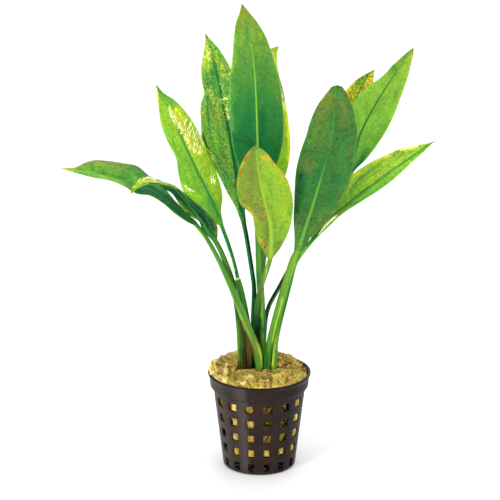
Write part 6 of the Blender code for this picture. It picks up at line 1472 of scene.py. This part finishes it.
def window_masks(p):
    """For wool points: 1 inside the windows' openings, and how far the wool bulges there."""
    theta = np.arctan2(p[:, 1], p[:, 0])
    r = np.hypot(p[:, 0], p[:, 1])
    mask = np.zeros(len(p))
    bulge = np.zeros(len(p))
    local = np.random.default_rng(31)
    for c in range(COLUMNS):
        tc = FRONT + SWEEP / 2 + c * SWEEP
        dt = (theta - tc + math.pi) % (2 * math.pi) - math.pi
        deg = (math.degrees(tc) + 180) % 360 - 180
        near = [i for i, w in enumerate(WINDOW_DEG) if abs(w - deg) < 3]
        for k in range(1, ROWS):
            amount = local.choice([0.7, 0.5, -0.4, 0.8, -1.2, 0.6])
            if near:
                amount = BULGE[ROWS - 1 - k][near[0]]
            hw = SWEEP / 2 - math.asin(RIB_HALF / float(pot_radius(ROW_Z[k])))
            ex = (hw - np.abs(dt)) * r
            ez = WINDOW_HALF_H - np.abs(p[:, 2] - ROW_Z[k])
            edge = np.minimum(ex, ez)
            if amount > 0:
                m = smooth(-0.05, 0.75, edge)
            else:
                m = smooth(-1.2, 0.5, edge)
            better = m > mask
            mask = np.where(better, m, mask)
            bulge = np.where(better, m * amount, bulge)
    return mask, bulge


def wool_mesh():
    n = 360
    theta = np.linspace(-math.pi, math.pi, n, endpoint=False)
    ct, st = np.cos(theta), np.sin(theta)
    reach = well_outline(theta)
    wx, wy = WELL_C[0] + reach * ct, WELL_C[1] + reach * st
    r_e = around(EDGE_DEG, EDGE_R, theta) + 0.25 * fbm(np.stack([ct * 3, st * 3, 0 * ct], 1), 2.0, 5)
    z_e = around(EDGE_DEG, EDGE_Z, theta) + 0.35 * fbm(np.stack([ct * 3, st * 3, 0 * ct], 1), 2.4, 9)
    ex, ey = r_e * ct, r_e * st
    a, b = 12.2, 8.5
    well_r = a * b / np.sqrt((b * ct) ** 2 + (a * st) ** 2)
    qx, qy = WELL_C[0] + well_r * ct, WELL_C[1] + well_r * st
    rings = []
    # the well, from its floor up
    for z, k in ((30.6, 1.0), (36.0, 1.0), (42.0, 1.0), (43.4, 0.55), (44.6, 0.2)):
        rings.append(np.stack([wx + (qx - wx) * k, wy + (qy - wy) * k, np.full(n, z)], 1))
    top_at = 50.6
    for z in (45.8, 46.8, 47.6, 48.4, 49.2):
        rings.append(np.stack([wx, wy, np.full(n, z)], 1))
    # the top, out to the rim
    m = 92
    for i in range(m + 1):
        s = i / m
        x, y = wx + (ex - wx) * s, wy + (ey - wy) * s
        crown = top_at + 0.6 * np.clip(y / 24, -1, 1)
        z = crown + (z_e - crown) * smooth(0.0, 1.0, s) + 0.5 * math.sin(math.pi * s)
        z = z - 0.9 * (1 - smooth(0.0, 0.10, s))
        rings.append(np.stack([x, y, z], 1))
    first_side = len(rings)
    # down the side
    knots = []
    z2 = np.minimum(z_e - 0.95, 49.85)
    knots.append((r_e, z_e))
    knots.append((r_e + 0.12, z_e - 0.45))
    knots.append((np.minimum(24.1, r_e), z2))
    knots.append((np.minimum(23.8, r_e), np.minimum(48.4, z2 - 0.7)))
    knots.append((np.full(n, 23.55), np.full(n, 43.9)))
    for z, inset in ((41.3, 1.45), (26.0, 1.35), (10.2, 1.35), (9.4, 2.2)):
        knots.append((np.full(n, float(pot_radius(min(z, 40.8))) - inset), np.full(n, z)))
    kr = np.array([k[0] for k in knots])
    kz = np.array([k[1] for k in knots])
    length = np.concatenate([[0.0], np.cumsum(np.mean(np.hypot(np.diff(kr, axis=0), np.diff(kz, axis=0)), axis=1))])
    for s in np.linspace(0, length[-1], 96)[1:]:
        i = min(np.searchsorted(length, s, side="left"), len(length) - 1)
        k = (s - length[i - 1]) / (length[i] - length[i - 1])
        rr, zz = kr[i - 1] + (kr[i] - kr[i - 1]) * k, kz[i - 1] + (kz[i] - kz[i - 1]) * k
        rings.append(np.stack([rr * ct, rr * st, zz], 1))
    last_side = len(rings)
    for k in (0.8, 0.55, 0.3, 0.08):
        r = (float(pot_radius(9.4)) - 2.2) * k
        rings.append(np.stack([r * ct, r * st, np.full(n, 9.4)], 1))
    grid = np.array(rings)
    # normals of the smooth body
    du = np.roll(grid, -1, 1) - np.roll(grid, 1, 1)
    dv = np.gradient(grid, axis=0)
    nrm = unit(np.cross(du, dv))
    out = nrm[first_side + 40] @ np.array([0, 0, 1.0])
    probe = grid[first_side + 40]
    if np.mean(np.sum(nrm[first_side + 40][:, :2] * probe[:, :2], axis=1)) < 0:
        nrm = -nrm
    p = grid.reshape(-1, 3)
    nn = nrm.reshape(-1, 3)
    row = np.repeat(np.arange(len(rings)), n)
    s_top = np.clip((row - 10) / m, 0, 1)
    is_top = (row >= 9) & (row < first_side)
    is_side = (row >= first_side) & (row < last_side)
    crack = 1 - smooth(0.0, 0.07, np.abs(fbm(p * (1, 1, 0.6), 0.12, 140, 3)))
    crack = crack * smooth(-0.15, 0.25, fbm(p, 0.2, 150, 2))
    clump = 1 - np.abs(fbm(p, 0.13, 40, 3)) * 2.2
    lump = fbm(p, 0.26, 50, 4, 0.55)
    crumb = 1 - np.abs(fbm(p * (1, 1, 0.8), 0.62, 60, 3)) * 2.0
    fray = fbm(p, 1.5, 70, 3, 0.6)
    d_top = 0.60 * clump + 0.95 * lump + 0.34 * crumb + 0.20 * fray - 0.36 - 0.6 * crack
    d_side = 0.10 * lump + 0.12 * crumb + 0.10 * fray - 0.12
    edge_fade = smooth(0.0, 0.08, s_top)
    lift = np.where(is_top, d_top * edge_fade, np.where(is_side, d_side, 0.0))
    # the rim's first millimetres blend from top to side
    rim_k = np.clip((row - first_side) / 9.0, 0, 1)
    lift = np.where(is_side, (1 - rim_k) * np.clip(d_top, -0.6, 0.35) + rim_k * d_side, lift)
    mask, bulge = window_masks(p)
    deep = is_side & (p[:, 2] < 42.5)
    lift = lift + np.where(deep, bulge + 0.25 * mask * crumb, 0.0)
    uv = to_sheet(p)
    facing = np.sum(nn * unit(EYE - p), axis=1) > 0.0
    cols = {k: np.zeros(len(p)) for k in WOOL_KINDS}
    jitter = np.stack([fbm(p, 0.5, 81, 3), fbm(p, 0.5, 91, 3)], 1)
    rim_zone = is_top | (is_side & (row < first_side + 7))
    for zone, table, wob in ((rim_zone, WOOL_STROKES, 1.1), (deep & facing, WINDOW_STROKES, 0.5)):
        for kind, line, radius, strength, height in table:
            k = stroke(uv + jitter * wob, line, radius * 1.25, 1.0, radius * 0.25) * zone
            cols[kind] = np.maximum(cols[kind], k * strength)
            lift = lift + k * height
    limit = np.where(deep, np.where(mask > 0.05, 1.15, 0.25), 3.0)
    limit = np.where(is_side & ~deep & (row > first_side + 5), 0.30, limit)
    lift = np.minimum(lift, limit)
    p = p + nn * lift[:, None]
    # keep inside the collar and clear of the lip
    r = np.hypot(p[:, 0], p[:, 1])
    inside = np.where(p[:, 2] > 49.75, 25.7, np.where(p[:, 2] > 43.0, 23.85 + 0.5 * np.clip((p[:, 2] - 43.5) / 5.5, 0, 1), 99.0))
    k = np.where((r > inside) & (is_top | is_side), inside / np.maximum(r, 1e-6), 1.0)
    p[:, 0] *= k
    p[:, 1] *= k
    # painted shade: the cracks in the top are coloured brown
    cols["brown"] = np.maximum(cols["brown"], 0.6 * crack * rim_zone)
    # shade in the hollows round the stalks
    feet = stalk_circles(49.0, 52.0)
    gap = np.full(len(p), 9.0)
    near = is_top & (s_top < 0.35)
    gap[near] = np.min(np.linalg.norm(p[near][:, None, :2] - feet[None, :, :2], axis=2) - feet[None, :, 2], axis=1)
    cols["brown"] = np.maximum(cols["brown"], 0.9 * (1 - smooth(0.5, 2.2, gap)))
    cols["dark"] = np.maximum(cols["dark"], 0.6 * (1 - smooth(0.2, 1.1, gap)))
    # painted shade: lift carries the height into the colour, so hollows come out darker, and wool set back in a window
    # is painted dark
    cols["lift"] = np.clip(0.5 + 0.42 * np.where(deep, lift - bulge, lift), 0, 1)
    cols["dark"] = np.maximum(cols["dark"], np.where(deep, np.clip(-bulge / 2.2, 0, 1), 0))
    faces = []
    k = len(rings)
    idx = np.arange(k * n).reshape(k, n)
    quads = np.stack([idx[:-1], np.roll(idx[:-1], -1, 1), np.roll(idx[1:], -1, 1), idx[1:]], -1).reshape(-1, 4)
    faces = [tuple(q) for q in quads.tolist()]
    faces.append(tuple(idx[0][::-1].tolist()))
    faces.append(tuple(idx[-1].tolist()))
    ob = mesh_object("rock_wool_plug.look", p, faces)
    bm = bmesh.new()
    bm.from_mesh(ob.data)
    bmesh.ops.recalc_face_normals(bm, faces=bm.faces)
    bm.to_mesh(ob.data)
    bm.free()
    set_vector_attribute(ob, "wool0", np.stack([cols["cream"], cols["brown"], cols["yellow"]], -1))
    set_vector_attribute(ob, "wool1", np.stack([cols["olive"], cols["dark"], cols["lift"]], -1))
    return ob, p.reshape(k, n, 3), first_side


def wool_material(name="mineral_wool"):
    t = Tree(name)
    cream, brown, yellow = t.split(t.attr("wool0"))
    olive, dark, lift = t.split(t.attr("wool1"))
    g = t.node("ShaderNodeNewGeometry").outputs["Position"]
    mm = t.vmath("SCALE", g, scale=1000.0)
    x, y, z = t.split(mm)
    bend = t.noise(mm, 0.22, 2.0)
    # strands: noise drawn out along two wandering directions
    u = t.math("ADD", t.math("MULTIPLY", x, 0.8), t.math("MULTIPLY", z, 0.6))
    s1 = t.noise(t.join(t.math("MULTIPLY", u, 2.6), t.math("MULTIPLY", y, 0.45), t.math("MULTIPLY", bend, 6.0)), 1.1, 4.0, 0.65, 0.6)
    s2 = t.noise(t.join(t.math("MULTIPLY", x, 0.45), t.math("MULTIPLY", t.math("ADD", y, z), 2.4), t.math("MULTIPLY", bend, -5.0)), 1.2, 4.0, 0.65, 0.6)
    strand = t.mix(t.step(bend, 0.42, 0.58), s1, s2)
    strand = t.split(strand)[0]
    grit = t.noise(mm, 2.6, 4.0, 0.7)
    patch = t.noise(mm, 0.17, 3.0, 0.6)
    # colour by height: dark brown in the hollows and cream on the tops, painted shade, broken by the strands' streaks
    v = t.math("ADD", t.math("MULTIPLY", lift, 0.54), t.math("MULTIPLY", t.step(strand, 0.30, 0.70), 0.44))
    v = t.math("ADD", v, t.math("MULTIPLY", t.step(grit, 0.30, 0.70), 0.12))
    v = t.math("SUBTRACT", v, 0.07)
    col = t.ramp(v, [(0.14, srgb(84, 54, 20)), (0.32, srgb(134, 100, 38)), (0.50, srgb(168, 138, 58)),
                     (0.64, srgb(202, 176, 76)), (0.86, srgb(240, 220, 130))])
    jit = t.math("ADD", 0.72, t.math("MULTIPLY", strand, 0.56))

    def region(mask, amount):
        return t.math("MULTIPLY", t.step(t.math("MULTIPLY", mask, jit), 0.15, 0.75), amount)

    def tinted(c):
        k = t.step(v, 0.15, 0.75, 0.55, 1.2)
        return t.mix(1.0, c, t.join(k, k, k), "MULTIPLY")

    col = t.mix(t.step(patch, 0.52, 0.70, 0.0, 0.4), col, tinted(srgb(140, 112, 44)))
    col = t.mix(region(olive, 0.75), col, tinted(srgb(126, 108, 44)))
    col = t.mix(region(yellow, 0.75), col, tinted(srgb(208, 182, 74)))
    col = t.mix(region(brown, 0.85), col, tinted(srgb(104, 66, 26)))
    col = t.mix(region(cream, 0.85), col, tinted(srgb(248, 228, 140)))
    # painted shade: dark regions in crevices, round the stalks' feet and in recessed windows
    col = t.mix(region(dark, 0.92), col, srgb(30, 18, 10))
    h = t.math("ADD", t.math("MULTIPLY", strand, 0.8), t.math("MULTIPLY", grit, 0.6))
    return t.finish(col, 0.88, t.bump(h, 0.55, 0.0006), Specular_IOR_Level=0.12)


def strands(surface, first_side):
    """Loose fibres over the wool's top, fuzz along its rim and fibres on the wool in the windows, as one thin mesh."""
    local = np.random.default_rng(11)
    verts, faces, tint0, tint1 = [], [], [], []
    k, n, _ = surface.shape

    def add(line, width, up, cream, brown):
        """A tapering ribbon along a line."""
        line = np.asarray(line)
        tan = unit(np.gradient(line, axis=0))
        side = unit(np.cross(tan, up))
        w = width * np.sin(np.linspace(0.25, math.pi - 0.12, len(line)))[:, None]
        base = len(verts)
        for a, b in zip(line - side * w / 2, line + side * w / 2):
            verts.extend([a, b])
        for i in range(len(line) - 1):
            q = base + 2 * i
            faces.append((q, q + 1, q + 3, q + 2))
        lift = float(local.uniform(0.45, 0.8))
        for _ in range(2 * len(line)):
            tint0.append((cream, brown, 0.0))
            tint1.append((0.0, 0.0, lift))

    for _ in range(5200):
        i = int(local.integers(14, first_side + 1))
        j = int(local.integers(0, n))
        s = (i - 10) / 92.0
        if local.uniform() > 0.25 + 0.75 * s:
            continue
        p0 = surface[i, j]
        heading = local.uniform(0, 2 * math.pi)
        length = local.uniform(1.2, 4.5)
        bend = local.normal(0, 0.5)
        rise = local.uniform(0.0, 0.45) ** 1.5
        pts = []
        m = 6
        pos = p0.copy()
        for q in range(m):
            pts.append(pos.copy())
            heading += bend * 0.35 + local.normal(0, 0.15)
            pos = pos + np.array([math.cos(heading), math.sin(heading), 0]) * length / m
            # stay on the wool: the nearest surface height round here
            rr = math.hypot(pos[0], pos[1])
            if rr > 24.4:
                pos[:2] *= 24.4 / rr
            ii = int(np.clip(i, 12, first_side))
            d = np.sum((surface[12:first_side + 1:6, ::6, :2] - pos[:2]) ** 2, axis=2)
            a, b = np.unravel_index(np.argmin(d), d.shape)
            ground = surface[12 + 6 * a, 6 * b, 2]
            pos[2] = 0.6 * pos[2] + 0.4 * ground + 0.10 + rise * (q + 1) / m
        add(pts, local.uniform(0.10, 0.26), np.array([local.normal(0, .4), local.normal(0, .4), 1.0]),
            float(local.uniform() < 0.30) * 0.7, float(local.uniform() < 0.14) * 0.6)
    # fuzz standing up along the rim
    for _ in range(1500):
        j = int(local.integers(0, n))
        th = -math.pi + 2 * math.pi * j / n
        back = 0.5 + 0.5 * math.sin(th)
        if local.uniform() > 0.25 + 0.75 * back:
            continue
        i = int(first_side - local.integers(0, 16))
        p0 = surface[i, j] + local.normal(0, 0.1, 3)
        lean = th + local.normal(0, 0.9)
        length = local.uniform(0.6, 2.0)
        curl = local.normal(0, 0.6)
        pts = []
        for q in range(5):
            f = q / 4
            out = 0.55 * length * f
            pts.append(p0 + np.array([math.cos(lean + curl * f) * out, math.sin(lean + curl * f) * out,
                                      length * f * (0.75 - 0.35 * f)]))
        add(pts, local.uniform(0.06, 0.14), np.array([math.cos(th + 1.5), math.sin(th + 1.5), 0.3]), 0.5, 0.3 * back)
    # fibres on the wool in the windows
    side = surface[first_side:first_side + 95]
    col_z = side[:, :, 2]
    for c in range(COLUMNS):
        tc = FRONT + SWEEP / 2 + c * SWEEP
        for k in range(1, ROWS):
            for _ in range(16):
                span = float(pot_radius(ROW_Z[k])) * (SWEEP / 2) - RIB_HALF - 0.2
                a, z = local.uniform(-span, span), ROW_Z[k] + local.uniform(-1.8, 1.8)
                heading, bend = local.uniform(0, 2 * math.pi), local.normal(0, 0.5)
                length = local.uniform(0.8, 2.6)
                pts = []
                for q in range(6):
                    a = float(np.clip(a, -span, span))
                    z = float(np.clip(z, ROW_Z[k] - 1.9, ROW_Z[k] + 1.9))
                    th = tc + a / float(pot_radius(z))
                    j = int(round((th + math.pi) / (2 * math.pi) * n)) % n
                    i = int(np.argmin(np.abs(col_z[:, j] - z)))
                    r = math.hypot(side[i, j, 0], side[i, j, 1]) + 0.06 + 0.02 * q
                    pts.append(np.array([r * math.cos(th), r * math.sin(th), z]))
                    heading += bend * 0.3
                    a += math.cos(heading) * length / 6
                    z += math.sin(heading) * length / 6
                if np.linalg.norm(pts[-1] - pts[0]) < 0.3:
                    continue
                add(pts, local.uniform(0.10, 0.24), np.array([math.cos(tc), math.sin(tc), 0.2 * local.normal()]),
                    float(local.uniform() < 0.3) * 0.5, float(local.uniform() < 0.35) * 0.5)
    ob = mesh_object("rock_wool_strands", verts, faces)
    set_vector_attribute(ob, "wool0", tint0)
    set_vector_attribute(ob, "wool1", tint1)
    return ob


# --------------------------------------------------------------- crown and stub
def crown_mesh():
    n, m = 72, 34
    theta = np.linspace(0, 2 * math.pi, n, endpoint=False)
    prof = [(30.9, 0.0), (31.1, 0.55), (31.6, 0.78), (32.6, 0.90), (36.6, 0.94), (41.0, 0.94), (42.4, 0.90), (42.9, 0.80), (43.0, 0.55)]
    s = np.linspace(0, 1, m)
    pz = np.interp(s, np.linspace(0, 1, len(prof)), [a for a, _ in prof])
    pk = np.interp(s, np.linspace(0, 1, len(prof)), [b for _, b in prof])
    x = WELL_C[0] + 12.0 * pk[:, None] * np.cos(theta)[None]
    y = WELL_C[1] + 8.2 * pk[:, None] * np.sin(theta)[None]
    z = np.repeat(pz[:, None], n, 1)
    p = np.stack([x, y, z], -1)
    wob = 0.35 * fbm(p, 0.5, 3, 3) - 0.35
    radial = unit(np.stack([np.cos(theta), np.sin(theta), 0 * theta], -1))[None]
    p = p + radial * (wob * np.minimum(1, 6 * pk)[:, None])[..., None]
    idx = np.arange(m * n).reshape(m, n)
    quads = np.stack([idx[:-1], np.roll(idx[:-1], -1, 1), np.roll(idx[1:], -1, 1), idx[1:]], -1).reshape(-1, 4)
    faces = [tuple(q) for q in quads.tolist()] + [tuple(idx[0][::-1].tolist()), tuple(idx[-1].tolist())]
    ob = mesh_object("crown.look", p.reshape(-1, 3), faces)
    t = Tree("crown_tissue")
    g = t.vmath("SCALE", t.node("ShaderNodeNewGeometry").outputs["Position"], scale=1000.0)
    a = t.noise(g, 0.5, 4.0)
    b = t.noise(t.vmath("MULTIPLY", g, (1, 1, 0.2)), 1.6, 4.0, 0.7)
    col = t.ramp(t.math("ADD", t.math("MULTIPLY", a, 0.6), t.math("MULTIPLY", b, 0.4)),
                 [(0.3, srgb(58, 40, 20)), (0.5, srgb(110, 88, 44)), (0.7, srgb(150, 140, 74))])
    ob.data.materials.append(t.finish(col, 0.75, t.bump(b, 0.6, 0.0005), Specular_IOR_Level=0.2))
    return ob


def stub_mesh():
    centre, rad, tan = stub_frame()
    n = 48
    q = np.linspace(0, 2 * math.pi, n, endpoint=False)
    verts, rows = [], []
    for c, r, t in zip(centre, rad, tan):
        a = unit(np.cross(t, np.array([0.0, 1.0, 0.0])))
        b = np.cross(a, t)
        rr = r * (1 + 0.035 * np.cos(9 * q))
        rows.append(c + rr[:, None] * (a * np.cos(q)[:, None] + b * 0.96 * np.sin(q)[:, None]))
    a = unit(np.cross(tan[-1], np.array([0.0, 1.0, 0.0])))
    b = np.cross(a, tan[-1])
    tilt = a * 0.10 - b * 0.25
    for k, dz in ((0.97, 0.10), (0.90, 0.14), (0.80, 0.06), (0.55, -0.06), (0.30, -0.10), (0.08, -0.10)):
        off = rad[-1] * k * (a * np.cos(q)[:, None] + b * 0.96 * np.sin(q)[:, None])
        rows.append(centre[-1] + tan[-1] * dz + off)
    rows = np.array(rows)
    k = len(rows)
    idx = np.arange(k * n).reshape(k, n)
    quads = np.stack([idx[:-1], np.roll(idx[:-1], -1, 1), np.roll(idx[1:], -1, 1), idx[1:]], -1).reshape(-1, 4)
    faces = [tuple(x) for x in quads.tolist()] + [tuple(idx[0][::-1].tolist()), tuple(idx[-1].tolist())]
    ob = mesh_object("cut_leaf_stalk.look", rows.reshape(-1, 3), faces)
    bm = bmesh.new()
    bm.from_mesh(ob.data)
    bmesh.ops.recalc_face_normals(bm, faces=bm.faces)
    bm.to_mesh(ob.data)
    bm.free()
    along = np.repeat(np.concatenate([np.linspace(0, 1, len(centre)), np.full(6, 1.05)]), n)
    cap = np.repeat(np.concatenate([np.zeros(len(centre)), [0.3, 0.8, 1, 1, 1, 1]]), n)
    set_vector_attribute(ob, "stub", np.stack([along, cap, np.tile(q, k)], -1))
    t = Tree("cut_stalk")
    al, cp, qq = t.split(t.attr("stub"))
    g = t.vmath("SCALE", t.node("ShaderNodeNewGeometry").outputs["Position"], scale=1000.0)
    ring = t.join(t.math("COSINE", qq), t.math("SINE", qq), t.math("MULTIPLY", al, 1.2))
    grain = t.noise(ring, 3.2, 4.0, 0.6)
    # towards the foot the stalk turns olive-brown and then near-black brown, with a dark band midway: partly its own
    # colour, partly painted shade between the stalks
    col = t.ramp(al, [(0.0, srgb(40, 28, 14)), (0.12, srgb(48, 34, 16)), (0.20, srgb(78, 66, 30)), (0.30, srgb(102, 104, 46)),
                     (0.40, srgb(84, 106, 46)), (0.47, srgb(40, 80, 32)), (0.65, srgb(48, 124, 48)), (1.0, srgb(86, 152, 60))])
    col = t.mix(t.step(grain, 0.35, 0.7), t.mix(1.0, col, (0.42, 0.44, 0.38, 1), "MULTIPLY"), t.mix(1.0, col, (1.25, 1.2, 1.0, 1), "MULTIPLY"))
    pores, _ = t.voronoi(g, 3.4)
    flesh = t.mix(t.step(pores, 0.15, 0.5), srgb(150, 180, 90), srgb(214, 226, 150))
    col = t.mix(cp, col, flesh)
    ob.data.materials.append(t.finish(col, 0.6, t.bump(grain, 0.4, 0.0004), Specular_IOR_Level=0.10))
    return ob


pot = pot_mesh()
pot.data.materials.append(pot_material())
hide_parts("net_pot")
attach(pot, "root")

wool, surface, rim_row = wool_mesh()
wool.data.materials.append(wool_material())
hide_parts("rock_wool_plug")
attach(wool, "root")
fibres = strands(surface, rim_row)
fibres.data.materials.append(wool_material("mineral_wool_strands"))
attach(fibres, "root")

crown = crown_mesh()
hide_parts("crown")
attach(crown, "root")

stub = stub_mesh()
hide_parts("cut_leaf_stalk")
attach(stub, "root")

# ---------------------------------------------------------------- stage, lights
def stage():
    me = bpy.data.meshes.new("floor")
    e = 8.0
    me.from_pydata([(-e, -e, 0), (e, -e, 0), (e, e, 0), (-e, e, 0)], [], [(0, 1, 2, 3)])
    ob = bpy.data.objects.new("floor", me)
    bpy.context.scene.collection.objects.link(ob)
    ob.location.z = -0.0002
    t = Tree("floor")
    n = t.noise(t.node("ShaderNodeTexCoord").outputs["Object"], 1.2, 3.0)
    t.finish(t.mix(n, (0.915, 0.915, 0.915, 1), (0.93, 0.93, 0.93, 1)), 0.8, None, Specular_IOR_Level=0.1)
    me.materials.append(t.mat)


def area(name, loc, target, size, power, colour=(1, 1, 1)):
    d = bpy.data.lights.new(name, "AREA")
    d.shape = "RECTANGLE"
    d.size, d.size_y = size
    d.energy = power
    d.color = colour
    o = bpy.data.objects.new(name, d)
    bpy.context.scene.collection.objects.link(o)
    o.location = loc
    v = np.array(target) - np.array(loc)
    from mathutils import Vector
    o.rotation_euler = Vector(v).to_track_quat("-Z", "Y").to_euler()
    return o


stage()
world = bpy.data.worlds.new("world")
bpy.context.scene.world = world
world.use_nodes = True
world.node_tree.nodes["Background"].inputs["Color"].default_value = (1, 1, 1, 1)
world.node_tree.nodes["Background"].inputs["Strength"].default_value = 1.05
area("key", (-1.05, -1.25, 0.85), (0, 0, 0.12), (0.5, 1.0), 13.0)
area("fill", (1.1, -1.15, 0.8), (0, 0, 0.12), (0.9, 0.9), 5.0)
area("back", (0.2, 1.3, 0.9), (0, 0, 0.14), (1.2, 0.8), 6.5)
bpy.context.scene.view_settings.view_transform = "Standard"
